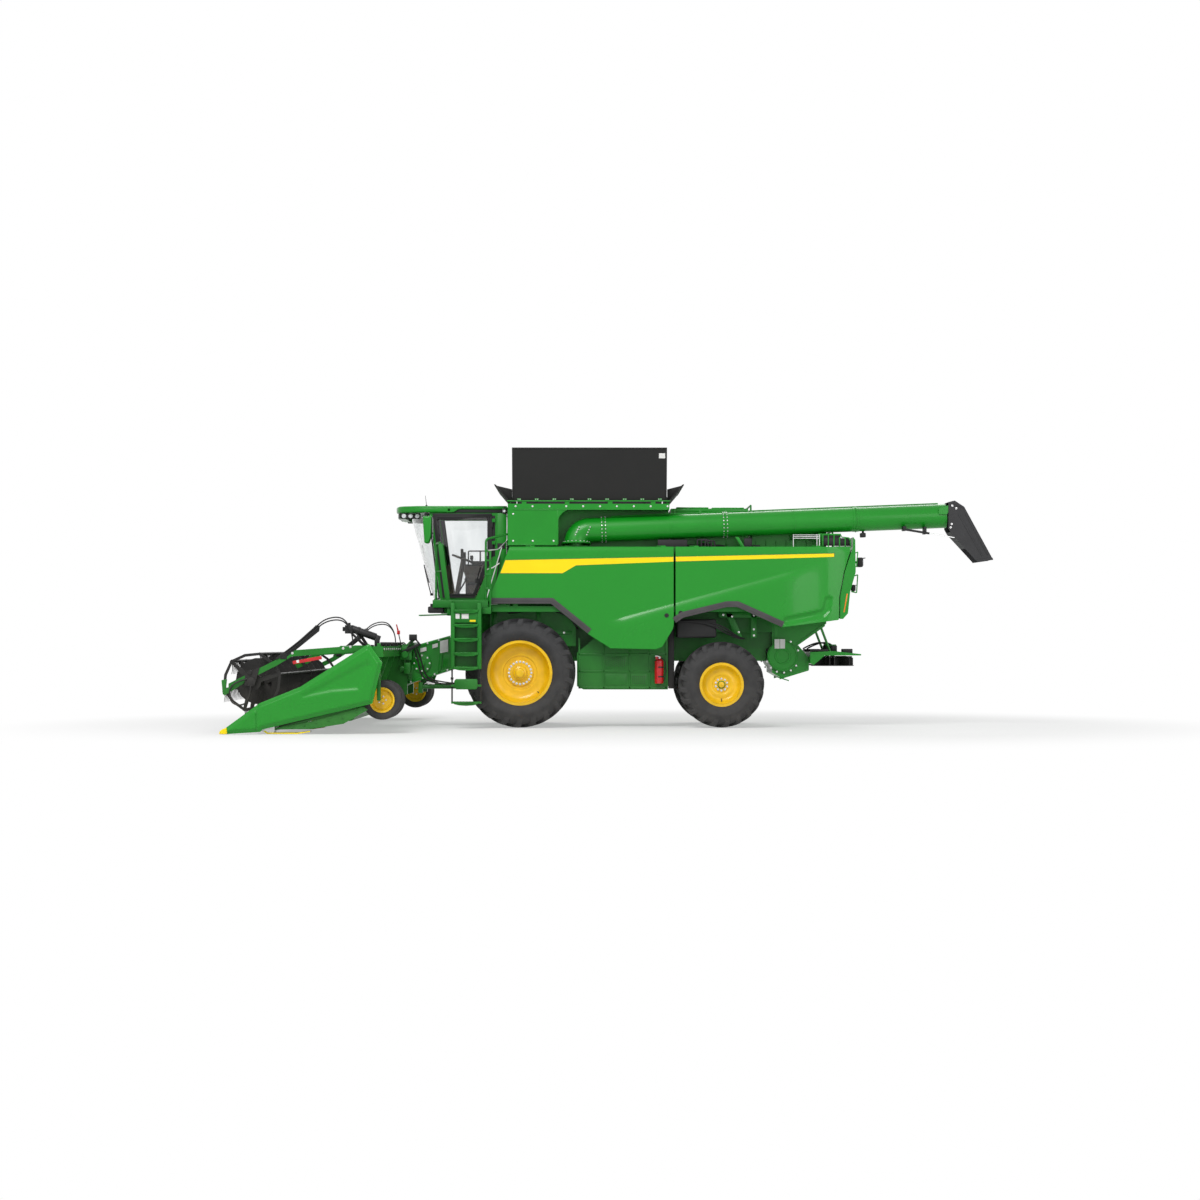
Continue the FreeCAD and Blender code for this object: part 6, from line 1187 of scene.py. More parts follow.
seal_line = [(-3.125, 2.375), (-2.618, 2.375), (-2.365, 3.07), (-2.365, 3.772), (-3.3, 3.772)]
door_trim = []
outer_y = -0.985
for a, b in zip(seal_line, seal_line[1:] + seal_line[:1]):
    a, b = Vector(a), Vector(b)
    side_way = Vector((-(b - a).y, (b - a).x)).normalized() * 0.016
    door_trim.append(slab([tuple(a + side_way), tuple(b + side_way), tuple(b - side_way),
                tuple(a - side_way)], outer_y - 0.01, outer_y + 0.008, 0.004))
handle = bent([(-2.56, outer_y - 0.002, 2.66), (-2.56, outer_y - 0.055, 2.66), (-2.5, outer_y - 0.055, 2.86),
        (-2.5, outer_y - 0.002, 2.86)], 0.01, 0.03)
lock = block((-2.6, outer_y - 0.02, 2.58), (-2.52, outer_y + 0.002, 2.66), 0.006)
top_band = slab([(-3.335, 3.835), (-2.3, 3.835), (-2.3, 3.79), (-2.55, 3.8), (-2.8, 3.76), (-2.98, 3.725),
        (-3.31, 3.74)], outer_y - 0.007, outer_y + 0.004, 0.003)
ripple = pipe([(-3.3, outer_y - 0.008, 3.735), (-3.0, outer_y - 0.008, 3.715), (-2.8, outer_y - 0.008, 3.75),
        (-2.6, outer_y - 0.008, 3.79), (-2.33, outer_y - 0.008, 3.78)], 0.01)
fit(door_trim + [handle, lock, top_band, ripple], "door_seal_and_handle", "door", black_plastic, 50)
grip = [bent([(-2.23, -0.955, 2.42), (-2.23, -1.03, 2.42), (-2.16, -1.03, 3.05), (-2.16, -0.955, 3.05)],
        0.013, 0.05), block((-2.2, -0.962, 3.2), (-2.06, -0.948, 3.3), 0.006)]
fit(grip, "cab_grab_rail", "chassis", black_plastic, 50)
skirt = [block((-3.22, -0.955, 2.232), (-2.05, -0.935, 2.262), 0.006), slab([(-2.05, 2.3), (-2.045, 3.84),
            (-2.2, 3.84), (-2.2, 3.1), (-2.4, 2.6), (-2.45, 2.3)], -0.956, -0.949, 0.003)]
fit(skirt, "cab_pillar_skins", "chassis", body_green, slot="cab_green")
fit(block((-2.318, -0.9535, 3.06), (-2.24, -0.946, 3.8), 0.003), "door_frame_seal", "chassis", black_plastic)

# ---------------------------------------------------------------- mirrors
# Rounded green shells on bent tube arms below the roof's front corners. Each holds two panes
# of silvered glass, large over small, in a black bezel that faces back.
mirror_out = 1.51
shells, arms, silver, bezel = [], [], [], []
for side in (-1, 1):
    y = side * mirror_out
    shells.append(slab([(-3.5, 3.755), (-3.335, 3.755), (-3.35, 3.4), (-3.39, 3.272), (-3.47, 3.272)],
            y - 0.13, y + 0.13, 0.03, 4))
    arms.append(bent([(-3.46, side * 0.978, 3.849), (-3.46, side * 0.978, 3.79), (-3.46, y, 3.82),
                (-3.46, y, 3.7)], 0.016, 0.04))
    bezel.append(block((-3.345, y - 0.12, 3.285), (-3.322, y + 0.12, 3.745), 0.012, 2))
    silver.append(block((-3.326, y - 0.105, 3.46), (-3.319, y + 0.105, 3.73), 0.003, 1))
    silver.append(block((-3.326, y - 0.105, 3.3), (-3.319, y + 0.105, 3.44), 0.003, 1))
fit(shells, "mirror_shells", "chassis", body_green, 35, ["mirrors"], slot="cab_green")
fit(arms + bezel, "mirror_arms", "chassis", black_steel, 40, ["mirrors"])
fit(silver, "mirror_glass", "chassis", chrome)

# ---------------------------------------------------------------- driver's seat
# Foam cushions in woven brown cloth with two sewn seams, on a sprung pedestal with a pleated
# skirt and armrests. The cushions are inflated as cloth over their blocks.
seat_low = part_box("driver_seat")[0]


def cushion(low, high, lean, name):
    """A pad swollen by cloth pressure from a rounded block, leant back about its foot."""
    pad = joined([block(low, high, 0.03, 3)])
    alone(pad)
    remesh = pad.modifiers.new("voxels", "REMESH")
    remesh.mode = "VOXEL"
    remesh.voxel_size = 0.008
    bpy.ops.object.modifier_apply(modifier=remesh.name)
    frames, most_push = 20, 0.014
    still = [v.co.copy() for v in pad.data.vertices]
    cloth = pad.modifiers.new("swell", "CLOTH")
    cloth.settings.use_pressure = True
    cloth.settings.uniform_pressure_force = 4.0
    cloth.settings.effector_weights.gravity = 0.0
    cloth.point_cache.frame_start, cloth.point_cache.frame_end = 1, frames
    for step in range(1, frames + 1):
        scene.frame_set(step)
    shape = pad.evaluated_get(bpy.context.evaluated_depsgraph_get())
    moved = [v.co.copy() for v in shape.data.vertices]
    pad.modifiers.remove(cloth)
    scene.frame_set(1)
    for vertex, old, new in zip(pad.data.vertices, still, moved):
        push = new - old
        vertex.co = old + push * (min(push.length, most_push) / max(push.length, 0.000001))
    middle_x, middle_y = (low[0] + high[0]) / 2, (low[1] + high[1]) / 2
    seam_out, seam_wide, seam_deep = (high[1] - low[1]) * 0.22, 0.03, 0.01
    for vertex in pad.data.vertices:
        for y in (middle_y - seam_out, middle_y + seam_out):
            near = abs(vertex.co.y - y)
            if near < seam_wide:
                pull = seam_deep * (1 - near / seam_wide) ** 2
                vertex.co.x += pull if vertex.co.x < middle_x else -pull
                vertex.co.z -= pull if high[2] - low[2] < 0.25 and vertex.co.z > (low[2] + high[2]) / 2 else 0
    alone(pad)
    finer = pad.modifiers.new("finer", "SUBSURF")
    finer.levels = finer.render_levels = 1
    bpy.ops.object.modifier_apply(modifier=finer.name)
    foot_at = Vector((middle_x, 0, low[2]))
    pad.data.transform(Matrix.Translation(foot_at) @ Matrix.Rotation(math.radians(lean), 4,
            "Y") @ Matrix.Translation(-foot_at))
    fit(pad, name, "chassis", seat_fabric, 60, ["driver_seat"])


x, z = seat_low.x + 0.04, seat_low.z
cushion((x - 0.02, -0.245, z + 0.345), (x + 0.44, 0.245, z + 0.455), 0, "seat_cushion_pad")
cushion((x + 0.38, -0.225, z + 0.48), (x + 0.47, 0.225, z + 1.08), 11, "seat_back_pad")
cushion((x + 0.505, -0.125, z + 1.105), (x + 0.58, 0.125, z + 1.25), 7, "seat_head_pad")
base = [block((x + 0.06, -0.19, z + 0.002), (x + 0.36, 0.19, z + 0.06), 0.01),
    block((x + 0.02, -0.2, z + 0.27), (x + 0.42, 0.2, z + 0.33), 0.012)]
fit([block((x + 0.075 + 0.004 * (k % 2), -0.17, z + 0.06 + k * 0.043),
            (x + 0.345, 0.17, z + 0.103 + k * 0.043), 0.016, 2) for k in range(5)], "seat_bellows", "chassis",
    cab_tan, 35, ["driver_seat"])
base += [block((x + 0.46, -0.1, z + 0.4), (x + 0.5, 0.1, z + 1.0), 0.01), rod((x + 0.545, -0.06, z + 1.04),
        (x + 0.56, -0.06, z + 1.16), 0.008),
    rod((x + 0.545, 0.06, z + 1.04), (x + 0.56, 0.06, z + 1.16), 0.008)]
for side in (-1, 1):
    base.append(block((x + 0.08, side * 0.3 - 0.035, z + 0.66), (x + 0.44, side * 0.3 + 0.035, z + 0.71),
            0.018, 3))
    base.append(block((x + 0.42, side * 0.3 - 0.02, z + 0.52), (x + 0.47, side * 0.3 + 0.02, z + 0.7), 0.008))
    base.append(rod((x + 0.46, side * 0.22, z + 0.55), (x + 0.46, side * 0.31, z + 0.55), 0.018))
fit(base, "seat_base", "chassis", black_plastic, 35, ["driver_seat"])
rail_inside = [bent([(-2.36, 0.6, 2.95), (-2.36, 0.6, 3.22), (-2.8, 0.6, 3.22), (-2.8, 0.6, 2.95)], 0.012,
        0.05), rod((-2.58, 0.6, 3.21), (-2.58, 0.6, 2.31), 0.014),
    bent([(-2.95, -0.3, 2.3), (-2.95, -0.3, 2.4), (-2.82, -0.3, 2.62), (-2.8, -0.3, 2.66)], 0.014, 0.05),
    rod((-2.81, -0.3, 2.65), (-2.78, -0.3, 2.7), 0.026, sides=16, bevel=0.006),
    block((-2.98, -0.1, 2.294), (-2.8, 0.1, 2.36), 0.02),
    rod((-2.82, -0.24, 3.055), (-2.9, -0.24, 3.085), 0.01),
    rod((-2.82, 0.24, 3.055), (-2.74, 0.24, 3.02), 0.01)]
fit(rail_inside, "cab_levers_and_rail", "chassis", hood_rubber, 45, slot="black_plastic")
posts_inside = [slab([(-3.37, 3.8), (-3.26, 3.8), (-3.06, 2.33), (-3.14, 2.33)], side * 0.895, side * 0.935,
        0.008) for side in (-1, 1)]
fit(posts_inside, "cab_post_trims", "chassis", hood_rubber, slot="black_plastic")
tan_trims = [slab([(-2.905, 2.938), (-2.375, 2.938), (-2.375, 2.32), (-2.74, 2.32), (-2.84, 2.72)], 0.332,
        0.3415, 0.003),
    slab([(-3.245, 2.96), (-3.15, 2.96), (-3.045, 2.345), (-3.155, 2.345)], -0.89, -0.88, 0.004),
    slab([(-3.245, 2.96), (-3.15, 2.96), (-3.045, 2.345), (-3.155, 2.345)], 0.88, 0.89, 0.004),
    block((-3.14, -0.878, 2.301), (-2.13, 0.878, 2.318), 0.005)]
fit(tan_trims, "cab_tan_trims", "chassis", cab_tan)
display = [block((-2.9295, 0.31, 3.06), (-2.924, 0.55, 3.24), 0.004),
    block((-2.84, 0.36, 2.935), (-2.36, 0.46, 2.965), 0.012),
    rod((-2.7, 0.41, 2.96), (-2.73, 0.41, 3.06), 0.016),
    block((-2.76, 0.385, 3.05), (-2.7, 0.435, 3.13), 0.016, 3)]
fit(display, "console_details", "chassis", hood_rubber, slot="black_plastic")
inside = [block((-3.2, -0.885, 2.293), (-2.11, 0.885, 2.3), 0.002),
    block((-2.106, -0.74, 2.3), (-2.1, 0.74, 2.98), 0.002, 1),
    block((-3.4, -0.88, 3.822), (-2.11, 0.88, 3.846), 0.006)]
fit(inside, "cab_lining", "chassis", lining_cloth)

# ---------------------------------------------------------------- platform and ladder
# A folded landing with raised treads outside the door, and a hung ladder of pressed steps
# with bowed noses. The bottom step hangs on rubber straps so that it can swing off a stone.
studs = []
stud = rod((0, 0, 0), (0, 0, 0.006), 0.012, 0.008, 8)
for i in range(17):
    for j in range(12):
        studs.append(copied(stud, Matrix.Translation((-3.27 + i * 0.057 + (0.028 if j % 2 else 0),
                        -1.66 + j * 0.057, 2.2595))))
bpy.data.objects.remove(stud)
fit(studs, "platform_treads", "chassis", frame_green)
edge = [block((-3.312, -1.728, 2.13), (-2.336, -1.716, 2.264), 0.004),
    block((-3.314, -1.724, 2.2), (-3.302, -0.96, 2.264), 0.004),
    slab([(-3.28, 2.14), (-2.6, 2.14), (-2.7, 2.03), (-3.2, 2.03)], -1.05, -1.03, 0.004),
    slab([(-3.56, 2.004), (-3.02, 2.02), (-3.02, 2.0), (-3.56, 1.984)], -1.7, -1.3, 0.003),
    block((-3.06, -1.7, 1.99), (-3.0, -1.4, 2.145), 0.005)]
for x, y in ((-3.05, -1.69), (-3.28, -1.31), (-2.375, -1.69)):
    edge.append(rod((x, y, 2.26), (x, y, 2.272), 0.045, sides=24, bevel=0.002))
fit(edge, "platform_edges", "chassis", frame_green)
box_lamp = [block((-3.4, -1.69, 2.035), (-3.12, -1.5, 2.15), 0.022, 3),
    block((-3.36, -1.66, 2.145), (-3.3, -1.6, 2.2), 0.005)]
fit(box_lamp, "platform_lamp", "chassis", black_plastic)
mid = [rod((-3.105, -1.69, 2.78), (-3.265, -1.325, 2.78), 0.014, sides=14),
    slab([(-3.222, 3.25), (-3.135, 3.262), (-3.005, 2.262), (-3.092, 2.262)], -1.712, -1.692, 0.006)]
mid += [block((-2.315, -1.715, 2.1), (-2.28, -1.69, 3.13), 0.006),
    block((-2.394, -1.715, 2.255), (-2.362, -1.705, 3.1), 0.004),
    rod((-2.298, -1.7, 3.1), (-2.375, -1.692, 3.16), 0.012),
    block((-2.52, -1.722, 2.02), (-2.28, -1.7, 2.14), 0.006)]
for z in (2.45, 2.7, 2.95):
    mid.append(block((-2.385, -1.719, z), (-2.285, -1.712, z + 0.03), 0.002, 1))
fit(mid, "platform_mid_rail", "chassis", frame_green, 50)
pale_rail = [bent([(-2.012, -1.3, 3.83), (-2.012, -1.33, 3.33), (-2.16, -1.5, 3.17), (-2.375, -1.66, 3.14)],
        0.013, 0.07), bent([(-2.375, -1.69, 2.8), (-2.25, -1.64, 2.84), (-2.14, -1.58, 2.92)], 0.01, 0.05),
    bent([(-2.1, -1.565, 3.2), (-2.29, -1.565, 2.56), (-2.36, -1.66, 2.3)], 0.01, 0.08)]
fit(pale_rail, "steel_hand_rails", "chassis", bright_steel, 50)

steps, straps, plates = [], [], []
y_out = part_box("ladder")[0].y
for z in (0.475, 1.09, 1.34, 1.59, 1.84, 2.09):
    steps.append(pipe([(-2.905, y_out - 0.006, z - 0.014), (-2.83, y_out - 0.03, z - 0.014),
                (-2.705, y_out - 0.04, z - 0.014), (-2.58, y_out - 0.03, z - 0.014),
                (-2.51, y_out - 0.006, z - 0.014)], 0.014))
    steps.append(slab([(-2.925, z), (-2.49, z), (-2.5, z - 0.044), (-2.58, z - 0.064), (-2.705, z - 0.072),
                (-2.83, z - 0.064), (-2.915, z - 0.044)], y_out - 0.034, y_out - 0.012, 0.006))
    for j in range(9):
        steps.append(block((-2.93 + j * 0.055, y_out + 0.01, z - 0.006),
                (-2.915 + j * 0.055, -1.8, z + 0.002), 0.002, 1))
for x in (-2.978, -2.512):
    steps.append(block((x, y_out - 0.012, 1.045), (x + 0.07, y_out + 0.02, 2.205), 0.01))
steps.append(slab([(-2.885, 0.874), (-2.52, 0.874), (-2.505, 0.85), (-2.505, 0.725), (-2.535, 0.69),
            (-2.88, 0.69), (-2.905, 0.725), (-2.915, 0.835)], y_out - 0.016, y_out + 0.01, 0.008))
fit(steps, "ladder_steps", "ladder", frame_green, 45)
for x in (-2.957, -2.451):
    straps.append(block((x - 0.013, y_out + 0.052, 0.462), (x + 0.013, y_out + 0.108, 1.062), 0.005))
    straps.append(block((x - 0.024, y_out + 0.048, 0.86), (x + 0.024, y_out + 0.112, 0.9), 0.004))
fit(straps, "ladder_hangers", "ladder", black_plastic)
plates.append(block((-2.892, -1.9985, 1.93), (-2.822, -1.9925, 2.016), 0.001, 1))
plates.append(block((-2.786, -1.9985, 1.93), (-2.663, -1.9925, 2.016), 0.001, 1))
board = block((-2.96, -1.993, 1.86), (-2.45, -1.983, 2.05), 0.003)
fit(board, "ladder_head_board", "ladder", frame_green)
fit(plates, "ladder_blank_plates", "ladder", label_white)
fit(block((-2.645, -1.9985, 1.876), (-2.54, -1.9925, 1.91), 0.001, 1), "ladder_yellow_strip", "ladder",
    stripe_yellow)

# ---------------------------------------------------------------- feeder house
# A welded sheet-steel throat with folded edge flanges and pressed ribs, bolted covers over
# its chain shafts, and blank label plates. Ties and hoses run along its lower edge.
side_y = 0.69


def throat(t, u):
    """A point on the throat's side: t from mouth to rear, u from bottom to top."""
    low = Vector((-3.83, 0.763)).lerp(Vector((-2.04, 1.34)), t)
    high = Vector((-3.72, 1.456)).lerp(Vector((-2.04, 1.925)), t)
    return low.lerp(high, u)


throat_parts, throat_bolts, blanks = [], [], []
for side in (-1, 1):
    near, far = sorted((side * side_y, side * (side_y + 0.022)))
    for u0, u1 in ((0.0, 0.07), (0.93, 1.0)):
        throat_parts.append(slab([tuple(throat(0, u0)), tuple(throat(0.72, u0)), tuple(throat(0.72, u1)),
                    tuple(throat(0, u1))], near, far, 0.005))
    for t in (0.0, 0.3, 0.56):
        throat_parts.append(slab([tuple(throat(t, 0.03)), tuple(throat(t + 0.035, 0.03)),
                    tuple(throat(t + 0.035, 0.97)), tuple(throat(t, 0.97))], near, far, 0.005))
    throat_parts.append(slab([tuple(throat(0.345, 0.12)), tuple(throat(0.55, 0.12)), tuple(throat(0.55, 0.5)),
                tuple(throat(0.345, 0.5))], side * (side_y - 0.002), side * (side_y + 0.01), 0.004))
    c = throat(0.12, 0.45)
    hub_disc = rod((c.x, side * side_y, c.y), (c.x, side * (side_y + 0.03), c.y), 0.17, sides=48, bevel=0.006)
    throat_parts.append(hub_disc)
    throat_parts.append(rod((c.x, side * (side_y + 0.028), c.y), (c.x, side * (side_y + 0.06), c.y), 0.06,
            sides=32, bevel=0.006))
    marks = circle(8, 0.14, side * (side_y + 0.029), c.x, c.y)
    for t in (0.03, 0.15, 0.27, 0.4, 0.52, 0.65):
        marks += [(throat(t, 0.035).x, side * (side_y + 0.021), throat(t, 0.035).y), (throat(t, 0.965).x,
                side * (side_y + 0.021), throat(t, 0.965).y)]
    throat_bolts.append(bolts(marks, (0, side, 0), 0.022, 0.01))
    if side < 0:
        for x0, z0, x1, z1 in ((-3.6, 1.425, -3.49, 1.355), (-3.385, 1.495, -3.285, 1.425),
                (-3.245, 1.56, -3.1, 1.34), (-3.64, 1.17, -3.53, 1.07)):
            blanks.append(slab([(x0, z0 - 0.02), (x1, z0 + 0.01), (x1, z1 + 0.01), (x0, z1 - 0.02)],
                    -side_y - 0.0245, -side_y - 0.004, 0.001, 1))
fit(throat_parts, "throat_flanges_and_covers", "feeder", body_green)
fit(throat_bolts, "throat_bolts", "feeder", bright_steel)
fit(blanks, "throat_blank_plates", "feeder", label_white, slot="body_green")
tie_parts = [rod((-3.58, -0.6, 0.715), (-2.6, -0.6, 0.715), 0.038, sides=20),
    rod((-3.58, 0.6, 0.715), (-2.6, 0.6, 0.715), 0.038, sides=20),
    block((-3.64, -0.66, 0.6), (-3.56, -0.54, 0.8), 0.008),
    block((-3.64, 0.54, 0.6), (-3.56, 0.66, 0.8), 0.008),
    slab([(-2.66, 0.67), (-2.56, 0.67), (-2.48, 1.24), (-2.6, 1.2)], -0.65, -0.6, 0.005),
    slab([(-2.66, 0.67), (-2.56, 0.67), (-2.48, 1.24), (-2.6, 1.2)], 0.6, 0.65, 0.005)]
fit(tie_parts, "feeder_ties", "feeder", frame_green)
feeder_hoses = [pipe([(-3.66, -0.74, 1.4), (-3.58, -0.78, 1.2), (-3.53, -0.78, 0.98), (-3.43, -0.76, 0.85),
            (-3.18, -0.74, 0.8), (-2.95, -0.74, 0.77), (-2.65, -0.74, 0.82), (-2.42, -0.74, 1.02),
            (-2.3, -0.74, 1.2)], 0.013),
    pipe([(-3.7, -0.74, 1.38), (-3.63, -0.8, 1.16), (-3.59, -0.8, 0.94), (-3.46, -0.77, 0.81),
            (-3.18, -0.76, 0.765), (-2.95, -0.76, 0.74), (-2.62, -0.76, 0.79), (-2.38, -0.76, 0.99),
            (-2.3, -0.76, 1.14)], 0.013)]
fit(feeder_hoses, "feeder_hoses", "feeder", black_plastic, 50)

# ---------------------------------------------------------------- belly, frame and arches
# Sheet-steel side walls under the panels with pressed frames, and vents drawn as black discs of painted shade
# in place of drilled holes, a tool locker behind the rear arch, brake and steering hoses, and drive guards on
# the axles.
belly_y = 1.15
walls, vent_shade_dots, dark = [], [], []
for side in (-1, 1):
    near, far = sorted((side * belly_y, side * (belly_y + 0.014)))
    for z0, z1 in ((0.69, 0.725), (0.985, 1.015), (1.29, 1.32)):
        walls.append(block((-0.74, near, z0), (0.84, far, z1), 0.004))
    for x0 in (-0.74, -0.3, 0.16, 0.52, 0.81):
        walls.append(block((x0, near, 0.69), (x0 + 0.03, far, 1.585), 0.004))
    walls.append(slab(rect(-0.26, 1.05, 0.12, 1.26), side * belly_y, side * (belly_y + 0.008), 0.006))
    walls.append(slab(rect(-0.26, 0.75, 0.12, 0.95), side * belly_y, side * (belly_y + 0.008), 0.006))
    walls.append(slab(rect(0.2, 0.75, 0.48, 0.95), side * belly_y, side * (belly_y + 0.008), 0.006))
    # Painted shade: each vent is a black disc on the plate, standing for the dark inside a drilled hole.
    vent_shade_dot = rod((0, side * (belly_y + 0.0075), 0), (0, side * (belly_y + 0.0095), 0), 0.008, sides=8)
    for i in range(10):
        for j in range(5):
            vent_shade_dots.append(copied(vent_shade_dot, Matrix.Translation((-0.23 + i * 0.035, 0,
                            1.08 + j * 0.036 + (0.018 if i % 2 else 0)))))
            if i < 7:
                vent_shade_dots.append(copied(vent_shade_dot, Matrix.Translation((0.23 + i * 0.035, 0, 0.78 + j * 0.032))))
    bpy.data.objects.remove(vent_shade_dot)
    dark.append(block((0.868, side * 1.12, 0.69), (0.975, side * 1.17, 1.76), 0.01))
    dark.append(block((1.02, side * 0.76, 1.6), (1.72, side * 1.36, 1.93), 0.03, 3))
    for k in range(3):
        dark.append(pipe([(1.1 + k * 0.09, side * 1.38, 1.88),
                    (1.45 + k * 0.06, side * 1.41, 1.92 - k * 0.03), (1.85, side * 1.38, 1.8 - k * 0.05),
                    (2.1, side * 1.2, 1.62 - k * 0.02), (2.25, side * 0.9, 1.58)], 0.013))
    dark.append(pipe([(-2.0, side * 1.03, 2.04), (-1.4, side * 1.03, 2.12), (-0.9, side * 1.03, 2.02),
                (-0.75, side * 1.03, 1.75)], 0.016))
fit(walls, "belly_frames", "chassis", separator_green)
fit(vent_shade_dots, "belly_vent_shade_dots", "chassis", black_plastic)
fit(dark, "arch_lockers_and_hoses", "chassis", black_plastic, 45)
braces, brace_bolts = [], []
for side in (-1, 1):
    near, far = sorted((side * 1.02, side * 1.05))
    braces.append(slab([(1.9, 2.04), (2.02, 2.04), (2.2, 1.62), (2.08, 1.6)], near, far, 0.005))
    braces.append(slab(rect(2.36, 2.06, 2.46, 1.6), near, far, 0.005))
    braces.append(slab(rect(1.78, 2.06, 2.5, 1.96), near, far, 0.005))
    braces.append(slab(rect(-2.3, 1.5, -2.2, 2.06), side * 1.004, side * 1.016, 0.003))
    braces.append(slab(rect(-2.2, 1.66, -0.86, 1.72), side * 1.001, side * 1.014, 0.003))
    braces.append(slab(rect(-1.5, 1.5, -1.42, 2.1), side * 1.001, side * 1.014, 0.003))
    braces.append(slab([(-2.66, 2.15), (-2.02, 2.15), (-1.98, 1.98), (-2.05, 1.8), (-2.3, 1.72),
                (-2.58, 1.72)], side * 0.78, side * 0.8, 0.006))
    braces.append(slab([(-2.6, 2.19), (-1.96, 2.19), (-1.96, 2.13), (-2.6, 2.15)], side * 0.8, side * 1.46,
            0.006))
    marks = [(x, side * 1.05, z) for x, z in ((1.86, 2.01), (2.02, 1.98), (2.14, 1.7), (2.41, 2.0),
            (2.41, 1.75), (2.41, 1.64))]
    marks += [(x, side * 1.016, z) for x, z in ((-2.0, 1.69), (-1.7, 1.69), (-1.2, 1.69), (-1.0, 1.69))]
    brace_bolts.append(bolts(marks, (0, side, 0), 0.026, 0.012))
fit(braces, "arch_braces", "chassis", frame_green)
fit(brace_bolts, "arch_bolts", "chassis", bright_steel)

bottle_low, bottle_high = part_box("fire_extinguisher")
bx, by, bz = (bottle_low.x + bottle_high.x) / 2 + 0.01, bottle_low.y + 0.075, bottle_low.z
bands = [turned([(0.0745, -0.014), (0.0775, -0.012), (0.0775, 0.012), (0.0745, 0.014)], 40) for _ in range(2)]
for band, z in zip(bands, (bz + 0.12, bz + 0.29)):
    band.data.transform(Matrix.Translation((bx, by, z)) @ Matrix.Rotation(math.radians(90), 4, "X"))
shoulder = turned([(0.024, -0.455), (0.03, -0.44), (0.06, -0.42), (0.0745, -0.398), (0.0755, -0.38),
        (0.0755, -0.03), (0.07, -0.004), (0.0, -0.002), (0.0, -0.455)], 48)
shoulder.data.transform(Matrix.Translation((bx, by, bz)) @ Matrix.Rotation(math.radians(-90), 4, "X"))
fit(shoulder, "extinguisher_bottle", "chassis", red_enamel, 40)
fit(bands, "extinguisher_bands", "chassis", black_steel)
grips = [slab([(bx - 0.08, bz + 0.475), (bx + 0.02, bz + 0.46), (bx + 0.02, bz + 0.48),
            (bx - 0.07, bz + 0.505)], by - 0.012, by + 0.012, 0.003),
    block((bx - 0.03, by - 0.018, bz + 0.43), (bx + 0.03, by + 0.018, bz + 0.48), 0.006),
    rod((bx, by - 0.018, bz + 0.455), (bx, by - 0.045, bz + 0.455), 0.016, sides=20, bevel=0.002)]
fit(grips, "extinguisher_handle", "chassis", bright_steel)
hose_route = [(bx + 0.03, by - 0.02, bz + 0.45), (bx + 0.1, by - 0.03, bz + 0.44),
    (bx + 0.115, by - 0.03, bz + 0.3), (bx + 0.105, by - 0.03, bz + 0.12), (bx + 0.085, by - 0.02, bz + 0.06)]
fit(pipe(hose_route, 0.009), "extinguisher_hose", "chassis", black_plastic, 50)

# ---------------------------------------------------------------- rear hood, chopper and spreader
# A moulded tail shell with grab handles, work lamps on brackets and amber reflectors. The
# chopper's round side covers are bolted on, and the spreader hangs behind on struts.
finish_nodes(body_green, "spreader_deck")
tail_lamps, tail_lenses, reflectors, hood_seams, tail_hinges = [], [], [], [], []
for side in (-1, 1):
    y = side * 1.3
    for x, z, size in ((4.235, 2.945, 0.085), (4.13, 2.485, 0.06)):
        tail_lamps.append(block((x, y - size, z - size), (x + size * 1.2, y + size, z + size), 0.022, 3))
        tail_lamps.append(rod((x - 0.1, y, z), (x + 0.01, y, z), 0.022, sides=14))
        tail_lamps.append(block((x + size * 1.2 - 0.004, y - size * 1.05, z + size * 0.8),
                (x + size * 1.7, y + size * 1.05, z + size * 0.95), 0.006))
        tail_lenses.append(block((x + size * 1.2 - 0.003, y - size * 0.8, z - size * 0.75),
                (x + size * 1.2 + 0.008, y + size * 0.8, z + size * 0.7), 0.006, 2))
    near, far = sorted((side * 1.552, side * 1.562))
    reflectors.append(slab([(3.965, 2.05), (3.985, 2.05), (4.045, 2.38), (4.022, 2.38)], near, far, 0.002))
    hood_seams.append(slab([(4.05, 2.07), (4.089, 2.41), (4.188, 2.76), (4.182, 3.3), (4.17, 3.3),
                (4.176, 2.76), (4.08, 2.42), (4.04, 2.07)], side * 0.95 - 0.005, side * 0.95 + 0.005, 0))
    for z, x in ((3.24, 4.182), (2.9, 4.186), (2.2, 4.064)):
        tail_hinges.append(block((x - 0.012, side * 0.95 - 0.06, z - 0.03),
                (x + 0.01, side * 0.95 + 0.06, z + 0.03), 0.006))
reflectors.append(block((4.052, -1.45, 2.1), (4.064, -1.25, 2.3), 0.006))
reflectors.append(block((4.052, 1.25, 2.1), (4.064, 1.45, 2.3), 0.006))
hood_handles = [bent([(4.175, side * 1.42, 2.7), (4.235, side * 1.42, 2.72), (4.215, side * 1.42, 2.4),
            (4.12, side * 1.42, 2.42)], 0.011, 0.03) for side in (-1, 1)]
hood_handles += [bent([(4.17, side * 1.535, 3.1), (4.225, side * 1.535, 3.12), (4.2, side * 1.535, 2.86),
            (4.17, side * 1.535, 2.86)], 0.01, 0.03) for side in (-1, 1)]
louvres = [block((4.165, -0.6, 2.82 + k * 0.05), (4.19, 0.6, 2.845 + k * 0.05), 0.006) for k in range(6)]
fit(tail_lamps, "tail_lamp_housings", "chassis", black_plastic)
fit(tail_lenses, "tail_lamp_lenses", "chassis", lens_glass)
fit(reflectors, "tail_reflectors", "chassis", amber)
hood_seams.append(block((4.05, -0.95, 2.066), (4.056, 0.95, 2.076), 0))
fit(hood_seams, "tail_door_seams", "chassis", black_plastic)
fit(hood_handles + tail_hinges, "tail_handles", "chassis", panel_green, 45)
fit(louvres, "tail_louvres", "chassis", black_plastic)

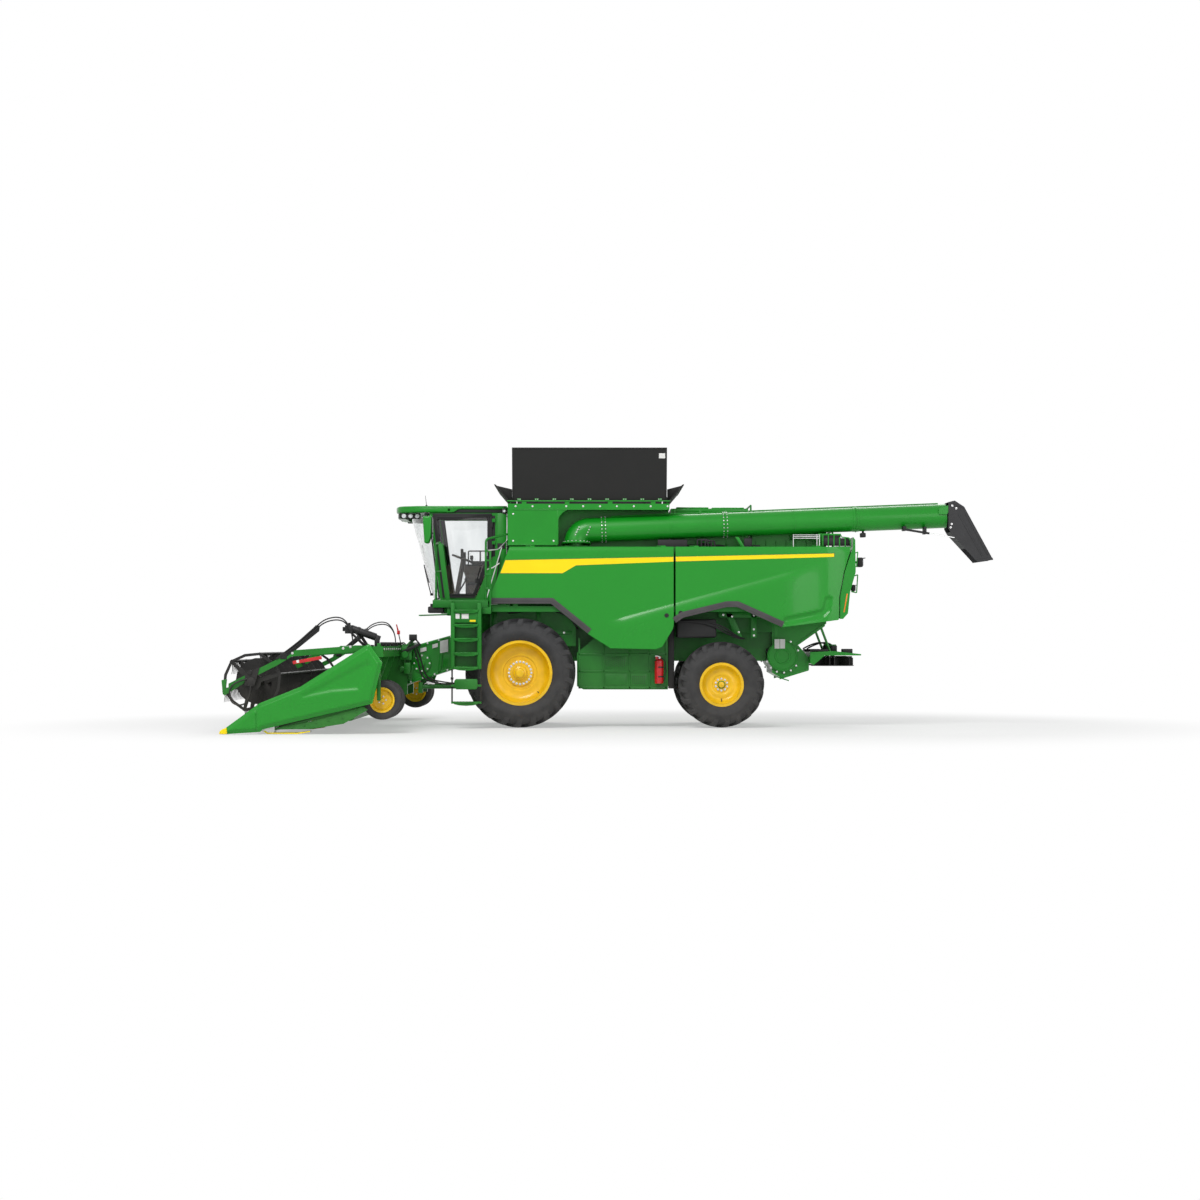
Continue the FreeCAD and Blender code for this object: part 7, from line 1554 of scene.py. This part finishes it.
drum_x, drum_z = 2.952, 1.268
drum_parts, drum_bolts = [], []
for side in (-1, 1):
    out = side * 0.739
    ring = turned([(0.24, -0.001), (0.246, -0.012), (0.262, -0.012), (0.27, -0.001), (0.24, -0.001)], 64)
    inner_ring = turned([(0.11, -0.001), (0.116, -0.01), (0.14, -0.01), (0.146, -0.001), (0.11, -0.001)], 48)
    for piece in (ring, inner_ring):
        piece.data.transform(Matrix.Translation((drum_x, out, drum_z)) @ (mirrored_y() if side > 0
                else Matrix.Identity(4)))
        drum_parts.append(piece)
    near, far = sorted((side * 0.7, side * 0.712))
    drum_parts.append(slab(rect(2.8, 2.08, 2.86, 1.56), near, far, 0.003))
    drum_parts.append(slab([(3.2, 1.5), (3.72, 1.87), (3.72, 1.81), (3.24, 1.47)], near, far, 0.003))
    drum_parts.append(slab([(2.9, 0.885), (3.425, 1.04), (3.425, 1.005), (2.9, 0.845)], side * 0.668,
            side * 0.682, 0.003))
    marks = [(drum_x + 0.3 * math.cos(a), side * 0.702, drum_z + 0.3 * math.sin(a)) for a in [math.radians(d)
            for d in (200, 225, 250, 275, 300, 325, 20, 60, 100)]]
    drum_bolts.append(bolts(marks, (0, side, 0), 0.024, 0.01))
drum_parts.append(rod((2.84, -0.76, 0.895), (3.06, -0.76, 0.825), 0.01, sides=10))
fit(drum_parts, "chopper_rings", "chassis", body_green)
fit(drum_bolts, "chopper_bolts", "chassis", bright_steel)
fit([block((2.805 + k * 0.098, -0.7565, 1.405), (2.895 + k * 0.098, -0.7515, 1.575), 0.001,
            1) for k in range(2)], "chopper_blank_plates", "chassis", label_white, slot="body_green")
fit(block((2.795, -0.7525, 1.395), (3.005, -0.6995, 1.585), 0.002, 1), "chopper_plate_backing", "chassis",
    body_green)
motor_parts = []
for side in (-1, 1):
    y = side * 0.48
    motor_parts.append(rod((3.877, y, 1.318), (3.877, y, 1.46), 0.085, sides=32, bevel=0.008))
    motor_parts.append(block((3.8, y - 0.08, 1.3), (3.96, y + 0.08, 1.335), 0.008))
    motor_parts.append(pipe([(3.9, y, 1.44), (3.82, y * 0.9, 1.52), (3.6, y * 0.85, 1.5),
                (3.42, y * 0.8, 1.4)], 0.014))
motor_parts += [block((3.46, -0.92, 1.345), (3.76, -0.6, 1.395), 0.012),
    block((3.46, 0.6, 1.345), (3.76, 0.92, 1.395), 0.012),
    block((4.02, -0.9, 1.315), (4.2, -0.62, 1.4), 0.012)]
fit(motor_parts, "spreader_drives", "chassis", black_steel, 45)
for side, name in ((-1, "left"), (1, "right")):
    low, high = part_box(f"{name}_spreader_rotor")
    centre = (low + high) / 2
    paddles = []
    for k in range(6):
        a = 2 * math.pi * k / 6 + 0.3
        out, across = Vector((math.cos(a), math.sin(a), 0)), Vector((-math.sin(a), math.cos(a), 0))
        corners = [out * 0.16 + across * 0.008, out * 0.385 + across * 0.008, out * 0.385 - across * 0.008,
            out * 0.16 - across * 0.008]
        paddles.append(slab([(centre.x + c.x, centre.y + c.y) for c in corners], low.z + 0.012,
                high.z - 0.012, 0.002, 1, plane="XY"))
    fit(paddles, f"{name}_rotor_paddles", f"{name}_rotor", black_steel)

# ---------------------------------------------------------------- header end covers
# Moulded end covers with a pressed-in field and rolled edges, drawn out to a snout that
# parts the crop. The snout is a separate moulding with a hard yellow tip; both are bolted on.
cover_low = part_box("header_dividers")[0]
header_half = -cover_low.y
cover_thick = 0.15
tip_x = cover_low.x
cover_shape = [(tip_x + 0.06, 0.002), (tip_x + 0.13, 0.004), (-5.97, 0.038), (-5.93, 0.08), (-4.12, 0.505),
    (-3.96, 1.18), (-4.06, 1.33), (-4.18, 1.49), (-5.31, 0.78), (-5.98, 0.51), (-6.5, 0.13),
    (tip_x + 0.06, 0.075)]
field = [(-4.185, 1.262), (-4.085, 1.128), (-4.31, 0.7), (-4.77, 0.665), (-5.3, 0.56), (-5.33, 0.66)]
snout_seam = [(-5.955, 0.62), (-6.015, 0.44), (-6.035, 0.26), (-6.03, 0.03)]


def inside(x, z, outline):
    """Whether a point lies within an outline."""
    found = False
    for (ax, az), (bx, bz) in zip(outline, outline[1:] + outline[:1]):
        if (az > z) != (bz > z) and x < (bx - ax) * (z - az) / (bz - az) + ax:
            found = not found
    return found


def cover_depth(x, z):
    """The end cover's relief: rolled edges, a pressed field and the seam of the snout."""
    edge = off_line(x, z, cover_shape + cover_shape[:1])
    if not inside(x, z, cover_shape):
        edge = 0
    roll = 0.055 * (1 - eased(edge / 0.085)) ** 1.3
    pressed = 0.0
    if inside(x, z, field):
        pressed = 0.026 * eased(off_line(x, z, field + field[:1]) / 0.105)
    seam_near = off_line(x, z, snout_seam)
    groove = 0.016 * max(0.0, 1 - (seam_near / 0.022) ** 2)
    ahead = 0.012 * eased((-6.02 - x) / 0.02)
    return roll + pressed + groove + ahead


cover = pressed_sheet(cover_shape, header_half - 0.002, header_half - cover_thick, cover_depth, 0.016)
twin = copied(cover, mirrored_y())
fit(cover, "left_end_cover_moulding", "feeder", panel_green, 32, ["header_dividers"])
fit(twin, "right_end_cover_moulding", "feeder", panel_green, 32, ["header_dividers"])
tip = slab([(tip_x, 0.004), (tip_x + 0.115, 0.002), (tip_x + 0.135, 0.02), (tip_x + 0.125, 0.112),
        (tip_x + 0.06, 0.086), (tip_x + 0.01, 0.052)], -header_half + 0.022,
    -header_half + cover_thick - 0.012, 0.018, 4)
boss = turned([(0.0, -0.006), (0.07, -0.006), (0.076, -0.002), (0.08, -0.005), (0.086, 0.0), (0.086, 0.012),
        (0.0, 0.012)], 48)
boss.data.transform(Matrix.Translation((-4.475, -header_half + 0.036, 0.972)))
edge_bolts = bolts([(x, -header_half + cover_thick, z) for x, z in ((-4.25, 1.2), (-4.15, 0.8), (-4.7, 0.55),
            (-5.3, 0.4), (-5.85, 0.25), (-5.2, 0.72))], (0, 1, 0), 0.03, 0.012)
for piece, name, material in ((tip, "end_cover_tip", stripe_yellow), (boss, "end_cover_boss", panel_green),
        (edge_bolts, "end_cover_bolts", bright_steel)):
    other = copied(piece, mirrored_y())
    fit(piece, f"left_{name}", "feeder", material)
    fit(other, f"right_{name}", "feeder", material)

# ---------------------------------------------------------------- cutterbar
# A knife runs in forged guards bolted along the front beam. Skid shoes under it carry
# yellow wear strips, and end rails in green plate stiffen the floor below the end covers.
bar_low, bar_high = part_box("cutterbar")
guard = rod((bar_low.x + 0.13, 0, 0.078), (-6.118, 0, 0.07), 0.024, 0.005, 6)
guard_lip = block((-6.03, -0.008, 0.086), (-5.93, 0.008, 0.104), 0.003, 1)
guard = joined([guard, guard_lip])
span_y = bar_high.y - 0.06
guard_pitch = 0.0762
count = int(2 * span_y / guard_pitch)
guards = [guard] + [copied(guard, Matrix.Translation((0, i * guard_pitch, 0))) for i in range(1, count)]
guards = joined(guards)
guards.data.transform(Matrix.Translation((0, -(count - 1) * guard_pitch / 2, 0)))
fit(guards, "knife_guards", "feeder", black_steel)
blade = block((-6.075, -span_y, 0.088), (-6.0, span_y, 0.094), 0.001, 1)
fit(blade, "knife_back", "feeder", bright_steel)
strips = []
for y in (bar_low.y, bar_low.y / 2, -0.15, bar_high.y / 2 - 0.3, bar_high.y - 0.3):
    strips.append(slab([(-5.925, 0.046), (-5.865, 0.004), (-5.36, 0.002), (-5.155, 0.034), (-5.155, 0.052),
                (-5.36, 0.024), (-5.85, 0.026), (-5.9, 0.06)], y - 0.014, y + 0.014, 0.003))
fit(strips, "skid_wear_strips", "feeder", stripe_yellow)
rails = []
for side in (-1, 1):
    near, far = sorted((side * (header_half - cover_thick + 0.03),
            side * (header_half - cover_thick - 0.004)))
    rails.append(slab([(-5.74, 0.075), (-5.62, 0.12), (-5.16, 0.205), (-4.27, 0.455), (-4.2, 0.4),
                (-4.6, 0.17), (-5.13, 0.085)], near, far, 0.004))
    rails.append(bolts([(x, side * (header_half - cover_thick + 0.03), z) for x, z in ((-5.45, 0.115),
                    (-5.25, 0.15), (-5.05, 0.19), (-4.85, 0.23), (-4.62, 0.27), (-4.38, 0.37))], (0, side, 0),
            0.034, 0.014))
fit(rails, "floor_end_rails", "feeder", frame_green)

# ---------------------------------------------------------------- draper belts and header back
# Ribbed rubber belts on rollers carry the crop to the middle. The back has a folded top
# beam, a valve block, hydraulic lines clamped along it, and a fingered drum over the mouth.
belt_low, belt_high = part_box("draper_belts")
floor_front, floor_low, floor_slope = -5.74, 0.06, 0.33 / 1.295
belt_above_floor = 0.1306


def belt_top(x):
    """The height of the belts' upper face at a place along the machine."""
    return floor_low + (x - floor_front) * floor_slope + belt_above_floor


cleats = []
cleat = slab([(-5.655, belt_top(-5.655) - 0.002), (-4.56, belt_top(-4.56) - 0.002),
        (-4.56, belt_top(-4.56) + 0.014), (-5.655, belt_top(-5.655) + 0.014)], -0.008, 0.008, 0.003, 1)
for low, high in ((belt_low.y + 0.06, -0.78), (0.78, belt_high.y - 0.06)):
    steps = int((high - low) / 0.2)
    for i in range(steps + 1):
        cleats.append(copied(cleat, Matrix.Translation((0, low + (high - low) * i / steps, 0))))
for i in range(5):
    x = -5.6 + i * 0.24
    cleats.append(block((x, -0.64, belt_top(x) - 0.004), (x + 0.016, 0.64, belt_top(x) + 0.013), 0.003, 1))
bpy.data.objects.remove(cleat)
fit(cleats, "belt_cleats", "feeder", belt_rubber)

feed_auger = [rod((-4.62, -0.66, 0.88), (-4.62, 0.66, 0.88), 0.085, sides=32)]
for i in range(14):
    a = i * 0.9
    spot = Vector((-4.62 + 0.085 * math.cos(a), -0.6 + i * 0.092, 0.88 + 0.085 * math.sin(a)))
    out = Vector((math.cos(a), 0, math.sin(a)))
    feed_auger.append(rod(spot - out * 0.01, spot + out * 0.16, 0.012, 0.009, 8))
fit(feed_auger, "feed_drum", "feeder", bright_steel)
throat_floor = slab([(-4.425, 0.478), (-3.842, 0.772), (-3.842, 0.748), (-4.425, 0.455)], -0.688, 0.688,
    0.003)
ribs = []
for side in (-1, 1):
    for k in range(9):
        y = side * (0.98 + k * 0.4)
        ribs.append(slab([(-4.462, 0.47), (-4.452, 0.47), (-4.15, 1.24), (-4.16, 1.24)], y - 0.045, y + 0.045,
                0.004))
        ribs.append(slab([(-4.396, 0.47), (-4.384, 0.47), (-4.11, 1.16), (-4.122, 1.16)], y - 0.03, y + 0.03,
                0.004))
    ribs.append(slab([(-4.185, 1.24), (-4.155, 1.24), (-4.135, 1.31), (-4.165, 1.31)], side * 0.78,
            side * 4.36, 0.005))
fit([throat_floor] + ribs, "header_back_ribs", "feeder", frame_green)
beam_bolts = [(-3.948, side * (0.5 + 0.42 * k), 1.4) for side in (-1, 1) for k in range(10)]
fit(bolts(beam_bolts, (1, 0, 0), 0.03, 0.012), "header_beam_bolts", "feeder", bright_steel)
lines = []
for i, z in enumerate((1.462, 1.482, 1.5)):
    lines.append(pipe([(-4.02 + i * 0.03, -4.1, z), (-4.02 + i * 0.03, -2.5, z + 0.006),
                (-4.02 + i * 0.03, -0.6, z), (-3.98 + i * 0.03, -0.45, z + 0.02),
                (-3.9, -0.4 + i * 0.05, z - 0.02)], 0.011))
fit(lines, "header_pressure_lines", "feeder", black_plastic, 50)
clamps = [block((-4.045, y, 1.448), (-3.935, y + 0.04, 1.518), 0.004) for y in (-3.9, -3.2, -2.4, -1.6, -0.8)]
valve = [block((-4.6, -4.265, 1.66), (-4.47, -4.155, 1.8), 0.008),
    block((-4.64, -4.245, 1.7), (-4.59, -4.175, 1.77), 0.006),
    rod((-4.53, -4.21, 1.8), (-4.53, -4.21, 1.84), 0.02),
    slab([(-4.52, 1.67), (-4.47, 1.67), (-4.14, 1.34), (-4.19, 1.34)], -4.24, -4.18, 0.005)]
fit(clamps + valve, "header_valve_block", "feeder", black_plastic)
ram = [rod((-4.5, -4.2, 1.745), (-4.09, -4.2, 1.6), 0.062, sides=32, bevel=0.006), rod((-4.1, -4.2, 1.603),
        (-4.02, -4.2, 1.575), 0.045, sides=24, bevel=0.004),
    rod((-4.4, -4.2, 1.71), (-4.365, -4.2, 1.6975), 0.07, sides=32),
    block((-4.11, -4.25, 1.44), (-4.03, -4.15, 1.6), 0.006),
    slab([(-4.42, 1.69), (-4.36, 1.69), (-4.13, 1.34), (-4.19, 1.34)], -4.14, -4.1, 0.006),
    pipe([(-4.46, -4.22, 1.73), (-4.4, -4.255, 1.66), (-4.34, -4.255, 1.52), (-4.22, -4.24, 1.46),
            (-4.12, -4.22, 1.46)], 0.012)]
fit(ram, "header_tilt_ram", "feeder", black_steel)
posts = [block((-4.06, -4.335, 0.55), (-4.0, -4.275, 1.5), 0.006),
    slab([(-4.02, 1.47), (-3.96, 1.47), (-3.74, 0.86), (-3.8, 0.86)], -0.84, -0.8, 0.005),
    slab([(-3.98, 1.34), (-3.7, 1.62), (-3.66, 1.58), (-3.94, 1.3)], -0.86, -0.82, 0.005),
    slab([(-4.2, 1.44), (-3.7, 1.5), (-3.7, 1.44), (-4.2, 1.38)], -0.82, -0.76, 0.005),
    block((-3.955, -0.9, 1.2), (-3.74, -0.8, 1.44), 0.01),
    block((-3.88, -0.95, 0.95), (-3.76, -0.8, 1.15), 0.01),
    rod((-3.95, -0.9, 1.05), (-3.78, -0.9, 1.05), 0.05, sides=24),
    rod((-3.86, -0.8, 1.3), (-3.86, -0.98, 1.3), 0.06, sides=24)]
fit(posts, "adapter_stays", "feeder", frame_green)
latch = [slab([(-3.93, 1.36), (-3.62, 1.5), (-3.6, 1.455), (-3.9, 1.31)], -0.95, -0.91, 0.006),
    block((-3.79, -0.93, 1.55), (-3.65, -0.85, 1.66), 0.01),
    rod((-3.66, -0.9, 1.56), (-3.58, -0.9, 1.46), 0.014), pipe([(-3.74, -0.9, 1.55), (-3.8, -0.93, 1.46),
            (-3.84, -0.93, 1.36), (-3.86, -0.9, 1.24)], 0.012)]
fit(latch, "adapter_latch", "feeder", black_steel)
marker = [rod((-3.93, -0.88, 1.44), (-4.0, -0.88, 1.76), 0.009),
    rod((-3.985, -0.88, 1.7), (-4.02, -0.88, 1.84), 0.016, 0.01),
    block((-4.01, -0.895, 1.66), (-3.955, -0.865, 1.73), 0.006)]
fit(marker.pop(0), "marker_rod", "feeder", black_steel)
fit(marker, "marker_flag", "feeder", red_enamel)

# ---------------------------------------------------------------- gauge wheels
# Ribbed implement tyres on small pressed yellow wheels, two each side of a carrying arm.
# Five nuts hold each wheel to its hub.
for side in ("left", "right"):
    node = f"{side}_gauge_wheels"
    low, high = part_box(node)
    hub = (low + high) / 2
    radius, rim = (high.z - low.z) / 2, 0.205
    tyres, wheels, nuts = [], [], []
    for centre in (low.y + 0.115, high.y - 0.115):
        section = [(rim, -0.08), (rim + 0.012, -0.095), (rim + 0.022, -0.104), (rim + 0.06, -0.113),
            (rim + 0.085, -0.114), (radius - 0.02, -0.104), (radius - 0.006, -0.09), (radius - 0.002, -0.066),
            (radius - 0.002, -0.056), (radius - 0.014, -0.053), (radius - 0.014, -0.046), (radius, -0.043),
            (radius, -0.02), (radius - 0.014, -0.017), (radius - 0.014, -0.009), (radius, -0.006)]
        ring = section + [(r, -y) for r, y in reversed(section)]
        tread = turned(ring, 64)
        disc = turned([(0.0, -0.055), (0.03, -0.055), (0.038, -0.048), (0.04, -0.024), (0.08, -0.02),
                (0.1, -0.026), (0.15, -0.03), (0.176, -0.06), (0.183, -0.09), (0.21, -0.096), (0.213, -0.088),
                (0.19, -0.08), (0.205, -0.07), (0.205, 0.07), (0.19, 0.08), (0.213, 0.088), (0.21, 0.096),
                (0.183, 0.09), (0.176, 0.06), (0.15, 0.03), (0.1, 0.026), (0.08, 0.02), (0.04, 0.024),
                (0.038, 0.048), (0.03, 0.055), (0.0, 0.055)], 64)
        studs = []
        for facing in (-1, 1):
            studs.append(bolts(circle(5, 0.062, facing * 0.021), (0, facing, 0), 0.02, 0.014))
        at = Matrix.Translation((hub.x, centre, hub.z))
        for piece, store in ((tread, tyres), (disc, wheels), (joined(studs), nuts)):
            piece.data.transform(at)
            store.append(piece)
    fit(tyres, f"{side}_gauge_tyres", f"{side}_gauge", tyre_rubber, 35, [node])
    fit(wheels, f"{side}_gauge_rims", f"{side}_gauge", rim_yellow, 35, [node])
    fit(nuts, f"{side}_gauge_nuts", f"{side}_gauge", bright_steel)

# ---------------------------------------------------------------- reel
# Six tubular bats with plastic fingers turn round a centre tube, carried by open spiders
# and by shields at the ends. Bent green arms hold it; the brackets slide along them.
reel_low, reel_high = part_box("reel")
shaft = (reel_low + reel_high) / 2
shaft = Vector((shaft.x, 0, shaft.z))
bat_reach, bat_tube = 0.48, 0.024
bays = [(reel_low.y + 0.034, -0.076), (0.046, reel_high.y - 0.034)]
around = [math.radians(60 * i + 15) for i in range(6)]
tine = joined([rod((0, 0, 0), (0.012, 0, -0.12), 0.009, 0.007, 6),
        rod((0.012, 0, -0.115), (-0.006, 0, -0.215), 0.007, 0.003, 6),
        block((-0.03, -0.022, -0.014), (0.03, 0.022, 0.014), 0.004, 1)])
parts, fingers = [], []
for low, high in bays:
    parts.append(rod((shaft.x, low, shaft.z), (shaft.x, high, shaft.z), 0.09, sides=40))
    for a in around:
        at = Vector((shaft.x + bat_reach * math.cos(a), 0, shaft.z + bat_reach * math.sin(a)))
        parts.append(rod((at.x, low, at.z), (at.x, high, at.z), bat_tube, sides=14))
        steps = int((high - low - 0.12) / 0.15)
        for k in range(steps + 1):
            y = low + 0.06 + (high - low - 0.12) * k / steps
            fingers.append(copied(tine, Matrix.Translation((at.x, y, at.z))))
    for k in range(6):
        y = low + (high - low) * k / 5
        end = k in (0, 5)
        pieces = [turned(rect(0.088, -0.006, 0.15, 0.006), 36)]
        if not end:
            pieces.append(turned(rect(0.23, -0.004, 0.395, 0.004), 18))
        for i, a in enumerate(around):
            out = Vector((math.cos(a), 0, math.sin(a)))
            across = Vector((-out.z, 0, out.x))
            wide = 0.045 if end else 0.075
            corners = [out * 0.1 + across * wide, out * 0.502 + across * 0.024, out * 0.502 - across * 0.024,
                out * 0.1 - across * wide]
            if i % 2 == 0 or not end:
                pieces.append(slab([(c.x, c.z) for c in corners], -0.005, 0.005, 0.002, 1))
            if end:
                following = Vector((math.cos(a + math.pi / 3), 0, math.sin(a + math.pi / 3)))
                link = [out * 0.503, (out + following) * 0.276, following * 0.503, following * 0.455,
                    (out + following) * 0.248, out * 0.455]
                pieces.append(slab([(c.x, c.z) for c in link], -0.007, 0.007, 0.003, 1))
        wheel = joined(pieces)
        shift = 0.008 if k == 0 else (-0.008 if k == 5 else 0)
        wheel.data.transform(Matrix.Translation((shaft.x, y + shift, shaft.z)))
        parts.append(wheel)
for start, end in ((reel_low.y, reel_low.y + 0.034), (-0.07, 0.04), (reel_high.y - 0.034, reel_high.y)):
    parts.append(rod((shaft.x, start, shaft.z), (shaft.x, end, shaft.z), 0.0295, sides=20))
bpy.data.objects.remove(tine)
fit(parts, "reel_bats_and_spiders", "reel", black_steel, 35, ["reel"], slot="black_plastic")
fit(fingers, "reel_fingers", "reel", black_plastic, 35, ["reel"])

arm_out = 4.31
prop, hoses, strip = [], [], []
for side in (-1, 1):
    y = side * arm_out
    out = y + side * 0.034
    prop.append(slab([(-5.64, 1.292), (-5.56, 1.262), (-5.02, 1.7), (-5.008, 1.79), (-5.075, 1.8),
                (-5.12, 1.752)], y - 0.026, y + 0.026, 0.006))
    prop.append(block((-5.66, y - 0.04, 1.235), (-5.55, y + 0.04, 1.345), 0.01))
    prop.append(bolts([(x, out, z) for x, z in ((-5.58, 1.3), (-5.4, 1.42), (-5.1, 1.7))], (0, side, 0),
            0.026, 0.012))
    for lift in (0.0, 0.045):
        hoses.append(pipe([(-5.72, out, 1.235 + lift * 0.4), (-5.45, out, 1.4 + lift),
                    (-5.1, out, 1.7 + lift), (-4.92, out, 1.86 + lift), (-4.66, out, 1.9 + lift),
                    (-4.52, out, 1.78 + lift * 0.5), (-4.46, out, 1.6), (-4.46, y, 1.47)], 0.0115))
    strip.append(slab([(-5.455, 1.205), (-4.976, 1.29), (-4.968, 1.235), (-5.447, 1.15)], out,
            out + side * 0.008, 0.002))
forks = []
for side in (-1, 1):
    near, far = side * arm_out - 0.021, side * arm_out + 0.021
    forks.append(slab([(-6.625, 0.7), (-6.585, 0.63), (-6.25, 0.845), (-6.285, 0.925)], near, far, 0.01))
    forks.append(slab([(-6.635, 0.89), (-6.545, 0.905), (-6.57, 0.645), (-6.612, 0.65)], near - 0.001,
            far + 0.001, 0.01))
fit(forks, "reel_arm_forks", "reel_arms", frame_green)
fit([slab([(-5.396, 1.2185), (-5.35, 1.2268), (-5.342, 1.1795), (-5.388, 1.1712)], side * 4.3525, side * 4.34,
            0.001, 1) for side in (-1, 1)], "reflector_blank_ends", "reel_arms", label_white,
    slot="extinguisher_red")
fit(prop, "reel_hose_props", "reel_arms", black_steel)
fit(hoses, "reel_pressure_hoses", "reel_arms", black_plastic, 50)
fit(strip, "reel_arm_reflectors", "reel_arms", red_enamel)
arm_bolts = []
for y in (-4.335, -0.04, 4.285):
    arm_bolts += [(-4.62, y, 1.415), (-5.46, y, 1.335), (-4.5, y, 1.44)]
fit(bolts(arm_bolts, (0, -1, 0), 0.03, 0.014), "reel_arm_bolts", "reel_arms", bright_steel)
motor = [rod((shaft.x, -4.37, shaft.z), (shaft.x, -4.345, shaft.z), 0.075, sides=32, bevel=0.004),
    rod((shaft.x - 0.02, -4.385, shaft.z + 0.16), (shaft.x - 0.02, -4.345, shaft.z + 0.16), 0.035, sides=20),
    pipe([(shaft.x - 0.06, -4.36, shaft.z + 0.05), (shaft.x - 0.2, -4.375, shaft.z + 0.02),
            (shaft.x - 0.36, -4.375, shaft.z - 0.1), (shaft.x - 0.34, -4.375, shaft.z - 0.34),
            (shaft.x - 0.16, -4.375, shaft.z - 0.4), (shaft.x - 0.02, -4.36, shaft.z - 0.3),
            (shaft.x, -4.36, shaft.z - 0.05)], 0.014)]
fit(motor, "reel_drive_motor", "reel_carriers", black_steel)

# ---------------------------------------------------------------- final update
# The view layer is brought up to date at the end.
bpy.context.view_layer.update()
